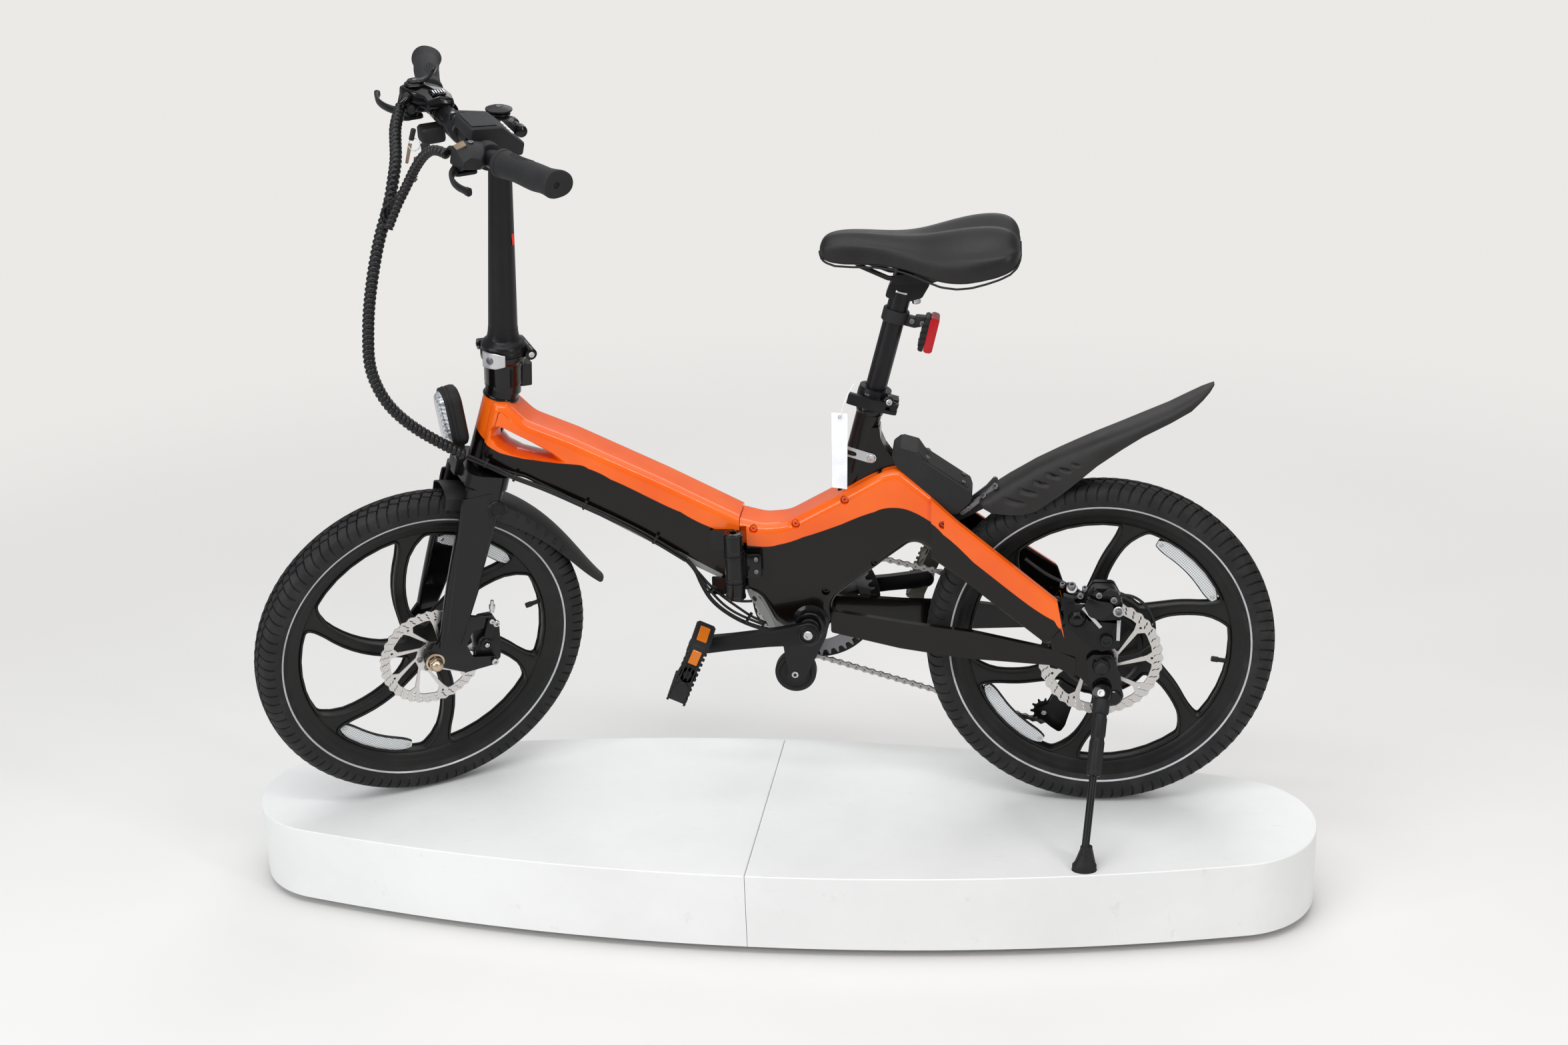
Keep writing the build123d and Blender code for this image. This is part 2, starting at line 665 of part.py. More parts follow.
def make_rear_leaf():
    """Middle knuckle with its plate and pin on the rear half, and the latch's keeper."""
    top, split_high, split_low, bottom = hinge_leaf_z()
    plate_y = -FRAME_HALF_WIDTH - HINGE_Y
    with BuildPart() as leaf:
        with BuildSketch(hinge_plan(split_low + HINGE_GAP / 2)):
            Circle(HINGE_R)
            with Locations((20, plate_y - 3.5)):
                Rectangle(34, 7)
            with Locations((9, plate_y / 2 - 1)):
                Rectangle(9, plate_y)
        extrude(amount=split_high - split_low - HINGE_GAP)
        with BuildSketch(hinge_plan(bottom - 1)):
            Circle(HINGE_PIN_R)
        extrude(amount=HINGE_LENGTH + 2)
        with BuildSketch(level(LATCH_Z - 12)):
            with Locations((8, (FRAME_HALF_WIDTH + LATCH_Y - 4.5) / 2)):
                Rectangle(26, LATCH_Y - 4.5 - FRAME_HALF_WIDTH)
        extrude(amount=24)
    return leaf


def make_rear_arm(sign):
    """One side arm from the body to the dropout, leaning outwards to clear the tyre."""
    start = (ARM_START_X, sign * (FRAME_HALF_WIDTH - 10))
    end = (REAR_AXLE_X - 53, sign * (ARM_END_Y - ARM_THICKNESS))
    plan = slanted_side(start, end) if sign < 0 else slanted_side(end, start)
    size = hypot(end[0] - start[0], end[1] - start[1])

    def reach(x):
        share = (x - start[0]) / (end[0] - start[0]) * size
        return share if sign < 0 else size - share

    outline = [(242, 512), (300, 460), *by_rear_axle((-59, 93), (-49, 62), (-75, 27)), (300, 378), (242, 416)]
    with BuildPart() as arm:
        with BuildSketch(plan):
            with BuildLine():
                FilletPolyline(*[(reach(x), z) for x, z in outline],
                               radius=[10, 60, 10, 12, 10, 80, 10], close=True)
            make_face()
        extrude(amount=ARM_THICKNESS)
        fillet(arm.faces().sort_by(Axis.Y)[0 if sign < 0 else -1].edges(), radius=4)
        split(bisect_by=Plane.YZ.offset(ARM_START_X), keep=Keep.TOP)
        if sign < 0:
            add(screw_pocket(ARM_SCREW, ARM_SCREW_Y), mode=Mode.SUBTRACT)
    return arm


def make_chainstays(spine):
    """Both chainstays, fitted to the body behind the bottom bracket, with their dropout plates."""
    end_y = REAR_HUB_HALF + DROPOUT_GAP
    outline = [(114, 315), (216, 303), (322, 294), *by_rear_axle((-65, 19), (-35, 8), (-35, -22), (-67, -5)),
               (307, 252), (215, 262), (114, 281)]
    dropout = by_rear_axle((-75, 44), (-43, 64), (-8, 36), (19, 14), (17, -18), (7, -46), (-13, -42),
                           (-31, -22), (-65, -4))
    with BuildPart() as stays:
        for sign in (-1, 1):
            start = (112, sign * STAY_START_Y)
            end = (REAR_AXLE_X - 35, sign * (end_y - 1))
            plan = slanted_side(start, end) if sign < 0 else slanted_side(end, start)
            size = hypot(end[0] - start[0], end[1] - start[1])
            corners = []
            for x, z in outline:
                share = (x - start[0]) / (end[0] - start[0]) * size
                corners.append((share if sign < 0 else size - share, z))
            with BuildSketch(plan):
                with BuildLine():
                    FilletPolyline(*corners, radius=4, close=True)
                make_face()
            extrude(amount=STAY_THICKNESS)
            with BuildSketch(side(-end_y) if sign < 0 else side(end_y + DROPOUT_THICKNESS)):
                with BuildLine():
                    FilletPolyline(*dropout, radius=5, close=True)
                make_face()
                with Locations((REAR_AXLE_X, AXLE_Z)):
                    Circle(AXLE_R + 1 + AXLE_FIT, mode=Mode.SUBTRACT)
            extrude(amount=DROPOUT_THICKNESS)
        add(slab(hull_outline([(BB_X, BB_Z, BB_R + 1)]), -BB_LEFT, BB_HALF), mode=Mode.SUBTRACT)
        add(spine.part, mode=Mode.SUBTRACT)
        add(stays.solids().sort_by(SortBy.VOLUME)[-2:], mode=Mode.REPLACE)
    return stays


def hull_outline(circles):
    """The outline wrapped round circles, each given as its centre and radius."""
    with BuildSketch(mode=Mode.PRIVATE) as hull:
        for x, y, radius in circles:
            with Locations((x, y)):
                Circle(radius)
        if len(circles) > 1:
            make_hull()
    return hull.sketch


def ordered(sign, near, far):
    """The two y values of a slab on one side of the bicycle, lower first."""
    return sorted((sign * near, sign * far))


def slab(outline, low_y, high_y):
    """A side-view outline made solid between two y values."""
    with BuildPart(mode=Mode.PRIVATE) as block:
        with BuildSketch(side(high_y)):
            add(outline)
        extrude(amount=high_y - low_y)
    return block.part


def rounded_outline(points, radius):
    with BuildSketch(mode=Mode.PRIVATE) as outline:
        with BuildLine():
            FilletPolyline(*points, radius=radius, close=True)
        make_face()
    return outline.sketch


# ---------------------------------------------------------------- fork and steering
def make_fork_crown():
    """Crown block with the steerer that runs up through the head tube into the stem."""
    head_length = (HEAD_TOP[1] - HEAD_BOTTOM_Z) / HEAD_SIN
    top = head_plane(HEAD_BOTTOM_Z).offset(-CROWN_CLEARANCE)
    with BuildPart() as crown:
        with BuildSketch(top):
            with Locations((CROWN_SET_BACK, 0)):
                RectangleRounded(CROWN_DEPTH, 2 * (BLADE_INNER_Y + BLADE_WIDTH), 18)
        extrude(amount=-CROWN_THICKNESS)
        with BuildSketch(top):
            Circle(STEERER_R)
        extrude(amount=head_length + 40)
    return crown


def make_fork_blades():
    """Both blades, tapering from the crown to the dropouts; the left one carries the brake."""
    crown_under = head_plane(HEAD_BOTTOM_Z).offset(-CROWN_CLEARANCE - CROWN_THICKNESS)
    with BuildPart() as blades:
        for sign in (-1, 1):
            with BuildSketch(crown_under):
                with Locations((CROWN_SET_BACK - 4, sign * (BLADE_INNER_Y + BLADE_WIDTH / 2))):
                    RectangleRounded(56, BLADE_WIDTH, 7)
            with BuildSketch(level(440)):
                with Locations((-435, sign * 48)):
                    RectangleRounded(58, 17, 7)
            with BuildSketch(level(AXLE_Z + 22.7)):
                with Locations((FRONT_AXLE_X + 25, sign * (FORK_INNER_Y + 6))):
                    RectangleRounded(33, 12, 5)
            loft()
            low_y, high_y = ordered(sign, FORK_INNER_Y, FORK_INNER_Y + DROPOUT_THICKNESS)
            add(slab(hull_outline([(FRONT_AXLE_X, AXLE_Z, 15), (FRONT_AXLE_X + 20, AXLE_Z + 28, 11),
                                   (FRONT_AXLE_X + 34, AXLE_Z + 30, 8)]), low_y, high_y))
            if sign < 0:
                add(slab(caliper_bracket(), low_y, high_y))
            add(slab(hull_outline([(FRONT_AXLE_X, AXLE_Z, AXLE_R + AXLE_FIT)]), low_y, high_y), mode=Mode.SUBTRACT)
    return blades


def caliper_bracket():
    """The forked plate behind the left dropout that holds the front brake by two ears."""
    return rounded_outline(by_front_axle((14, 48), (40, 76), (58, 64), (98, 50), (101, 39), (62, 37), (51, 14),
                                         (59, -8), (94, -16), (92, -30), (46, -32), (8, -12)), 3)


def make_caliper(axle, rotor_r, rotor_y, body, body_y, piston, piston_y):
    """A disc brake caliper: body straddling the disc, with its actuator drum outside."""
    with BuildPart() as caliper:
        add(slab(body, *body_y))
        add(slab(hull_outline([piston]), *piston_y))
        disc = hull_outline([(*axle, rotor_r + 1.5)])
        add(slab(disc, rotor_y - ROTOR_THICKNESS / 2 - 1.2, rotor_y + ROTOR_THICKNESS / 2 + 1.2), mode=Mode.SUBTRACT)
    return caliper


def make_front_caliper():
    body = rounded_outline(by_front_axle((64, -28), (102, -32), (105, -14), (105, 38), (100, 52), (76, 52),
                                         (65, 36)), 4)
    return make_caliper((FRONT_AXLE_X, AXLE_Z), FRONT_ROTOR_R, FRONT_ROTOR_Y, body,
                        (-FORK_INNER_Y, -33), (FRONT_AXLE_X + 80, AXLE_Z + 12, 12), (-70, -FORK_INNER_Y))


def guard_section(half_width, rise, skirt, thickness):
    """The U of a mudguard: crowned roof with a straight skirt down each side."""
    inner = half_width - thickness
    with BuildSketch(mode=Mode.PRIVATE) as section:
        with BuildLine():
            Line((-half_width, -rise - skirt), (-half_width, -rise))
            ThreePointArc((-half_width, -rise), (0, 0), (half_width, -rise))
            Line((half_width, -rise), (half_width, -rise - skirt))
            Line((half_width, -rise - skirt), (inner, -rise - skirt))
            Line((inner, -rise - skirt), (inner, -rise - thickness / 2))
            ThreePointArc((inner, -rise - thickness / 2), (0, -thickness), (-inner, -rise - thickness / 2))
            Line((-inner, -rise - thickness / 2), (-inner, -rise - skirt))
            Line((-inner, -rise - skirt), (-half_width, -rise - skirt))
        make_face()
    return section.sketch


def guard_plane(x, z, heading):
    """The plane square to a mudguard running at this heading; local y points up from its roof."""
    turn = radians(heading)
    return Plane(origin=at(x, 0, z), x_dir=(0, 1, 0), z_dir=(cos(turn), 0, sin(turn)))


def make_front_mudguard():
    stations = [(79, 13, 31.5, 11, 18), (67, 13, 31.5, 11, 22), (55, 13, 31.5, 11, 24),
                (43, 13, 31.5, 11, 20), (31, 15, 31, 11, 14), (19, 23, 29, 10, 9), (9, 41, 22, 8, 4)]
    with BuildPart() as guard:
        for angle, off_tyre, half_width, rise, skirt in stations:
            x = FRONT_AXLE_X + (TYRE_R + off_tyre) * cos(radians(angle))
            z = AXLE_Z + (TYRE_R + off_tyre) * sin(radians(angle))
            with BuildSketch(guard_plane(x, z, angle - 90)):
                add(guard_section(half_width, rise, skirt, 2.2))
        loft()
        with BuildSketch(head_plane(HEAD_BOTTOM_Z).offset(-CROWN_CLEARANCE - CROWN_THICKNESS)):
            Circle(8)
        extrude(amount=-17)
    return guard


def make_headlight():
    """Upright lamp with rounded ends on a bracket bolted to the crown's front."""
    tilt = radians(6)
    face = Plane(origin=at(-421, 0, 622), x_dir=(0, -1, 0), z_dir=(-cos(tilt), 0, -sin(tilt)))
    with BuildPart() as lamp:
        with BuildSketch(face):
            SlotOverall(96, 46, rotation=90)
        extrude(amount=26)
        fillet(lamp.faces().sort_by(Axis.X)[0].edges(), radius=3)
        with BuildSketch(face.offset(26)):
            SlotOverall(84, 36, rotation=90)
        extrude(amount=9, taper=12)
        add(slab(rounded_outline([(-431.7, 548), (-438.1, 526.6), (-442.5, 528), (-436.6, 551), (-437, 582),
                                  (-431, 582)], 0.6), -13, 13))
    return lamp


def make_stem_base():
    """Spacer and stem collar on the steerer, up to the handlepost hinge with its pin."""
    bore = STEERER_R + 0.05
    with BuildPart() as stem:
        with BuildSketch(head_plane(HEAD_TOP[1]).offset(0.4)):
            Circle(HEAD_R)
        extrude(amount=9.6)
        with BuildSketch(head_plane(HEAD_TOP[1]).offset(10)):
            Circle(STEM_R)
        with BuildSketch(post_plane(-18)):
            Circle(STEM_R)
        loft()
        with BuildSketch(post_plane(-18)):
            Circle(STEM_R)
        with BuildSketch(post_plane(-POST_HINGE_GAP - 8)):
            Circle(STEM_FLANGE_R)
        loft()
        with BuildSketch(post_plane(-POST_HINGE_GAP)):
            Circle(STEM_FLANGE_R)
        extrude(amount=-8)
        with BuildSketch(post_plane(-20)):
            with Locations((30, 0)):
                RectangleRounded(18, 30, 4)
        extrude(amount=-34)
        inner = POST_KNUCKLE_HALF + POST_HINGE_GAP
        add(post_knuckle(-STEM_FLANGE_R + 4, -inner, POST_KNUCKLE_R))
        add(post_knuckle(inner, STEM_FLANGE_R - 4, POST_KNUCKLE_R))
        add(post_knuckle(-inner, inner, POST_KNUCKLE_R + POST_HINGE_GAP), mode=Mode.SUBTRACT)
        add(post_knuckle(2 - STEM_FLANGE_R, STEM_FLANGE_R - 2, POST_PIN_R))
        with BuildSketch(head_plane(HEAD_TOP[1])):
            Circle(bore)
        extrude(amount=41, mode=Mode.SUBTRACT)
    return stem


def post_hinge_section(along):
    """The plane square to the handlepost's hinge pin, this far along the pin."""
    flat = post_plane(0)
    return Plane(origin=flat.from_local_coords(Vector(along, POST_HINGE_Y, 0)), x_dir=(0, 1, 0),
                 z_dir=flat.x_dir)


def post_knuckle(start, end, radius):
    """A round bar along the handlepost's hinge pin between two places."""
    with BuildPart(mode=Mode.PRIVATE) as knuckle:
        with BuildSketch(post_hinge_section(start)):
            Circle(radius)
        extrude(amount=end - start)
    return knuckle.part


def make_handlepost():
    """Tapered folding post: hinge flange at the foot, plain tube up to the bar clamp."""
    flat = post_plane(0)
    section = Plane(origin=flat.origin, x_dir=flat.x_dir, z_dir=(0, -1, 0))
    with BuildPart() as post:
        with BuildSketch(section):
            with BuildLine():
                Polyline((0, POST_HINGE_GAP), (STEM_FLANGE_R, POST_HINGE_GAP), (STEM_FLANGE_R, 11))
                Spline((STEM_FLANGE_R, 11), (POST_BASE_R + 3, 21), (POST_BASE_R, 38),
                       tangents=[(-0.3, 1), (-0.05, 1)])
                Polyline((POST_BASE_R, 38), (POST_TOP_R, POST_LENGTH - 40), (POST_TOP_R, POST_LENGTH),
                         (0, POST_LENGTH), (0, POST_HINGE_GAP))
            make_face()
        revolve(axis=Axis(flat.origin, flat.z_dir))
        for start, end in ((-STEM_FLANGE_R, -POST_KNUCKLE_HALF), (POST_KNUCKLE_HALF, STEM_FLANGE_R)):
            add(post_knuckle(start, end, POST_KNUCKLE_R + POST_HINGE_GAP), mode=Mode.SUBTRACT)
        add(post_knuckle(-POST_KNUCKLE_HALF, POST_KNUCKLE_HALF, POST_KNUCKLE_R))
        add(post_knuckle(-STEM_FLANGE_R, STEM_FLANGE_R, POST_PIN_R + 0.06), mode=Mode.SUBTRACT)
    return post


def make_axle(axle_x, radius, half_length, nut_starts, nut_r):
    """A through axle with a domed nut on each end."""
    with BuildPart() as axle:
        with BuildSketch(wheel_face(axle_x, half_length)):
            Circle(radius)
        extrude(amount=2 * half_length)
        for sign, start in zip((-1, 1), nut_starts):
            plane = wheel_face(axle_x, sign * start)
            with BuildSketch(plane):
                RegularPolygon(nut_r, 6)
            extrude(amount=-sign * 8)
            with BuildSketch(plane.offset(-sign * 8)):
                Circle(nut_r - 2)
            extrude(amount=-sign * 6, taper=12)
    return axle


# ---------------------------------------------------------------- handlebar
def make_bar_clamp():
    """Clamp that joins the bar to the post, with the ribbed cap on top."""
    post_top = post_plane(POST_LENGTH)
    with BuildPart() as clamp:
        add(slab(hull_outline([(BAR_X, BAR_Z, 19), (-333, 1037, 19)]), -22, 22))
        fillet(clamp.faces().filter_by(Axis.Y).edges(), radius=4)
        with BuildSketch(post_plane(POST_LENGTH - 22)):
            Circle(POST_TOP_R + 5)
        extrude(amount=36)
        for low, high, radius in ((14, 18, 13), (18, 22, 15), (22, 25, 13), (25, 29, 17)):
            with BuildSketch(post_top.offset(low)):
                Circle(radius)
            extrude(amount=high - low)
        add(slab(hull_outline([(-308, 1036, 5)]), -24, 24))
        add(slab(hull_outline([(-315, 1036, 8), (-308, 1036, 8)]), -16, 16))
        with BuildSketch(post_top):
            Circle(POST_TOP_R)
        extrude(amount=-60, mode=Mode.SUBTRACT)
        add(slab(hull_outline([(BAR_X, BAR_Z, BAR_R)]), -30, 30), mode=Mode.SUBTRACT)
    return clamp


def bar_route():
    """The bar's centre line: straight in the middle, swept back and slightly up at the ends."""
    with BuildLine(mode=Mode.PRIVATE) as route:
        FilletPolyline(at(BAR_X + BAR_BACKSWEEP, -BAR_HALF, BAR_Z + BAR_RISE),
                       at(BAR_X, -BAR_STRAIGHT_HALF, BAR_Z), at(BAR_X, BAR_STRAIGHT_HALF, BAR_Z),
                       at(BAR_X + BAR_BACKSWEEP, BAR_HALF, BAR_Z + BAR_RISE), radius=50)
    return route.line


def make_handlebar():
    route = bar_route()
    with BuildPart() as bar:
        with BuildLine():
            add(route)
        with BuildSketch(Plane(origin=route @ 0, z_dir=route % 0)):
            Circle(BAR_R)
        sweep()
    return bar


def make_grips():
    """Rubber grips with closed ends over the last stretch of the bar."""
    route = bar_route()
    ends = ((route @ 0, route % 0), (route @ 1, (route % 1) * -1))
    with BuildPart() as grips:
        for end, inward in ends:
            outside = Plane(origin=end, z_dir=inward)
            with BuildSketch(outside):
                Circle(GRIP_R)
                Circle(BAR_R, mode=Mode.SUBTRACT)
            extrude(amount=GRIP_LENGTH)
            with BuildSketch(outside):
                Circle(GRIP_R)
            extrude(amount=-4, taper=20)
    return grips


def make_display():
    with BuildPart() as display:
        add(slab(rounded_outline([(-399, 1078), (-356, 1073), (-328, 1044), (-333, 1028), (-372, 1040),
                                  (-402, 1062)], 3), -95, -28))
        add(slab(hull_outline([(BAR_X, BAR_Z, 17)]), -68, -56))
        add(slab(hull_outline([(BAR_X, BAR_Z, BAR_R)]), -96, -20), mode=Mode.SUBTRACT)
    return display


def make_brake_brackets():
    """The clamp, body and pivot pin of both brake levers."""
    with BuildPart() as brackets:
        for sign in (-1, 1):
            with BuildSketch(level(1043)):
                with Locations((-419, sign * 126)):
                    RectangleRounded(34, 46, 7)
            extrude(amount=20)
            with BuildSketch(level(1027.5)):
                with Locations((-415, sign * 122)):
                    RectangleRounded(42, 18, 4)
            extrude(amount=5)
            with BuildSketch(level(1030)):
                with Locations((-426, sign * 120)):
                    Circle(3)
            extrude(amount=15)
            low_y, high_y = ordered(sign, 114, 130)
            add(slab(hull_outline([(BAR_X, BAR_Z, 19)]), low_y, high_y))
            add(slab(hull_outline([(BAR_X, BAR_Z, BAR_R)]), *ordered(sign, 60, 134)), mode=Mode.SUBTRACT)
    return brackets


def make_brake_lever(sign):
    outline = [(-434, 111), (-419, 112), (-417, 126), (-430, 137), (-441, 160), (-444, 190), (-438, 213),
               (-446, 221), (-455, 212), (-457, 180), (-452, 152), (-439, 127)]
    with BuildPart() as lever:
        with BuildSketch(level(1033)):
            with BuildLine():
                FilletPolyline(*[(x, sign * y) for x, y in outline], radius=3, close=True)
            make_face()
            with Locations((-426, sign * 120)):
                Circle(3.06, mode=Mode.SUBTRACT)
        extrude(amount=9.6)
    return lever


def make_bar_controls():
    """Gear shifter body with its indicator, and the switch box below the bar."""
    with BuildPart() as controls:
        with BuildSketch(level(1064)):
            with Locations((-416, 106)):
                Circle(20)
        extrude(amount=18)
        with BuildSketch(level(1054)):
            with Locations((-394, 76)):
                RectangleRounded(38, 36, 5)
        extrude(amount=20)
        with BuildSketch(level(1064)):
            with Locations((-404, 94)):
                Rectangle(26, 22)
        extrude(amount=9)
        add(slab(hull_outline([(BAR_X, BAR_Z, 18)]), 62, 94))
        with BuildSketch(level(1006)):
            with Locations((-407, 76)):
                RectangleRounded(34, 30, 4)
        extrude(amount=24)
        with BuildSketch(level(1082)):
            with Locations((-416, 106)):
                Circle(4)
        extrude(amount=9)
        add(slab(hull_outline([(BAR_X, BAR_Z, BAR_R)]), 50, 134), mode=Mode.SUBTRACT)
    return controls


def make_shifter_lever():
    """Thumb paddle turning on the shifter's top."""
    with BuildPart() as lever:
        with BuildSketch(level(1082.4)):
            add(hull_outline([(-416, 106, 9), (-392, 96, 6)]))
            with Locations((-416, 106)):
                Circle(4.06, mode=Mode.SUBTRACT)
        extrude(amount=4)
        with BuildSketch(level(1082.4)):
            add(hull_outline([(-398, 98, 3), (-386, 90, 3)]))
        extrude(amount=16)
    return lever


# ---------------------------------------------------------------- seat
def make_seat_collar():
    """Clamp ring round the tube's top, with its rear ears and the cross bolt to the lever."""
    with BuildPart() as collar:
        with BuildSketch(seat_plane(-18)):
            Circle(SEAT_TUBE_R + 5.5)
            with Locations((SEAT_TUBE_R + 9, 0)):
                Rectangle(16, 22)
            Circle(SEAT_TUBE_R, mode=Mode.SUBTRACT)
        extrude(amount=18)
        with BuildSketch(seat_plane(0)):
            Circle(SEAT_TUBE_R + 5.5)
            Circle(SEATPOST_R + 1, mode=Mode.SUBTRACT)
        extrude(amount=8, taper=6)
        with BuildSketch(seat_plane(-18)):
            with Locations((SEAT_TUBE_R + 9, 0)):
                Rectangle(21, 1.6)
        extrude(amount=18, mode=Mode.SUBTRACT)
        bolt = seat_lever_plane(0)
        with BuildSketch(bolt_section(20)):
            Circle(2.5)
        extrude(amount=40)
        with BuildSketch(bolt.offset(-2.2)):
            Circle(6.5)
        extrude(amount=4.4)
        with BuildSketch(bolt.offset(-9)):
            Circle(3)
        extrude(amount=18)
        with BuildSketch(bolt_section(17)):
            Circle(7)
        extrude(amount=6)
    return collar


def seat_lever_plane(rise):
    """The plane of the seat lever's swing, centred on its pivot pin left of the collar's ears."""
    flat = seat_plane(-9 + rise)
    return Plane(origin=flat.from_local_coords(Vector(SEAT_TUBE_R + 12, -23, 0)), x_dir=flat.x_dir,
                 z_dir=flat.z_dir)


def bolt_section(y):
    """The plane square to the collar's cross bolt at this y."""
    flat = seat_plane(-9)
    return Plane(origin=flat.from_local_coords(Vector(SEAT_TUBE_R + 12, y, 0)), x_dir=flat.x_dir,
                 z_dir=(0, -1, 0))


def make_seat_lever():
    """Quick-release lever: two cheeks round the bolt's eye and a handle wrapping forward."""
    with BuildPart() as lever:
        for low in (-8, 2.6):
            with BuildSketch(seat_lever_plane(low)):
                add(hull_outline([(0, 0, 7), (-14, -4, 5)]))
            extrude(amount=5.4)
        with BuildSketch(seat_lever_plane(-8)):
            add(hull_outline([(-14, -4, 5), (-34, -8, 4)]))
            add(hull_outline([(-34, -8, 4), (-62, -4, 4)]))
        extrude(amount=16)
        with BuildSketch(seat_lever_plane(-10)):
            Circle(3.06)
        extrude(amount=20, mode=Mode.SUBTRACT)
        with BuildSketch(seat_lever_plane(-2.6)):
            Circle(7.4)
        extrude(amount=5.2, mode=Mode.SUBTRACT)
    return lever


def rail_route(sign):
    """One saddle rail: out of the nose, down to the level clamp stretch, up into the back."""
    with BuildLine(mode=Mode.PRIVATE) as route:
        FilletPolyline(at(134, sign * 9, 851), at(168, sign * 17, 828), at(206, sign * 22, 812),
                       at(262, sign * 22, 812), at(316, sign * 33, 826), at(342, sign * 40, 850),
                       radius=14)
    return route.line


def make_saddle_rails():
    with BuildPart() as rails:
        for sign in (-1, 1):
            route = rail_route(sign)
            with BuildLine():
                add(route)
            with BuildSketch(Plane(origin=route @ 0, z_dir=route % 0)):
                Circle(3.5)
            sweep()
    return rails


def make_seatpost(rails):
    """Seatpost with its forged head, which clamps the rails."""
    head_x = SEAT_TUBE_TOP[0] + SEATPOST_RISE * SEAT_DIRECTION[0]
    head_z = SEAT_TUBE_TOP[1] + SEATPOST_RISE * SEAT_DIRECTION[2]
    with BuildPart() as post:
        with BuildSketch(seat_plane(-SEATPOST_INSERT)):
            Circle(SEATPOST_R)
        extrude(amount=SEATPOST_INSERT + SEATPOST_RISE - 2)
        add(slab(rounded_outline([(head_x - 18, head_z - 10), (head_x + 16, head_z - 12),
                                  (head_x + 30, head_z + 8), (head_x + 28, head_z + 15),
                                  (head_x - 14, head_z + 15)], 4), -13, 13))
        add(slab(hull_outline([(head_x - 6, 811, 7), (head_x + 22, 811, 7)]), -28, 28))
        add(rails.part, mode=Mode.SUBTRACT)
    return post


def make_saddle(rails):
    """Saddle body: narrow nose widening into the raised back."""
    stations = [(109, 856, 12, 8), (126, 857, 19, 16), (170, 853, 24, 20), (220, 850, 33, 24),
                (265, 853, 55, 33), (310, 855, 77, 41), (350, 858, 84, 37), (376, 858, 74, 27),
                (388, 857, 58, 16)]
    with BuildPart() as saddle:
        for x, z, half_width, half_height in stations:
            with BuildSketch(Plane(origin=at(x, 0, z), x_dir=(0, 1, 0), z_dir=(1, 0, 0))):
                Ellipse(half_width, half_height)
        loft()
        add(rails.part, mode=Mode.SUBTRACT)
    return saddle


def make_tail_light():
    """Rear lamp hanging behind the seatpost from a clamp ring."""
    ring = seat_plane(112)
    with BuildPart() as light:
        with BuildSketch(ring):
            Circle(SEATPOST_R + 4)
            with Locations((27, 0)):
                Rectangle(26, 12)
            Circle(SEATPOST_R, mode=Mode.SUBTRACT)
        extrude(amount=12)
        add(slab(rounded_outline([(236, 757), (262, 752), (266, 742), (256, 708), (250, 709),
                                  (256, 738), (236, 744)], 1.5), -8, 8))
        add(slab(rounded_outline([(259, 754), (276, 750), (263, 701), (247, 705)], 4), -17, 17))
    return light


# ---------------------------------------------------------------- cranks and chain
def tooth_circle(teeth):
    return teeth * CHAIN_PITCH / (2 * pi)


CHAINRING_R = tooth_circle(CHAINRING_TEETH)
SPROCKET_R = tooth_circle(SPROCKET_TEETH)


def crank_end(sign):
    """The pedal axle's place in the side view; the left crank points along CRANK_ANGLE."""
    turn = radians(CRANK_ANGLE)
    return (BB_X - sign * CRANK_LENGTH * cos(turn), BB_Z - sign * CRANK_LENGTH * sin(turn))


def make_crankset():
    """Spindle, both arms with their pedal axles, and the chainring."""
    inner = CRANK_ARM_Y - CRANK_ARM_THICKNESS / 2
    outer = CRANK_ARM_Y + CRANK_ARM_THICKNESS / 2
    with BuildPart() as crank:
        add(slab(hull_outline([(BB_X, BB_Z, SPINDLE_R)]), -outer, outer))
        for sign in (-1, 1):
            end = crank_end(sign)
            add(slab(hull_outline([(BB_X, BB_Z, 17), (*end, 12)]), *ordered(sign, inner, outer)))
            add(slab(hull_outline([(*end, PEDAL_AXLE_R)]), *ordered(sign, outer, outer + PEDAL_LENGTH - 6)))
        add(slab(hull_outline([(BB_X, BB_Z, 20)]), -outer - 3, -BB_LEFT - 1))
        add(slab(hull_outline([(BB_X, BB_Z, 18)]), CHAIN_Y, outer + 3))
        add(slab(hull_outline([(BB_X, BB_Z, CHAINRING_R - CHAIN_HALF_HEIGHT - CHAIN_CLEARANCE)]),
                 CHAIN_Y - 2, CHAIN_Y + 2))
    return crank


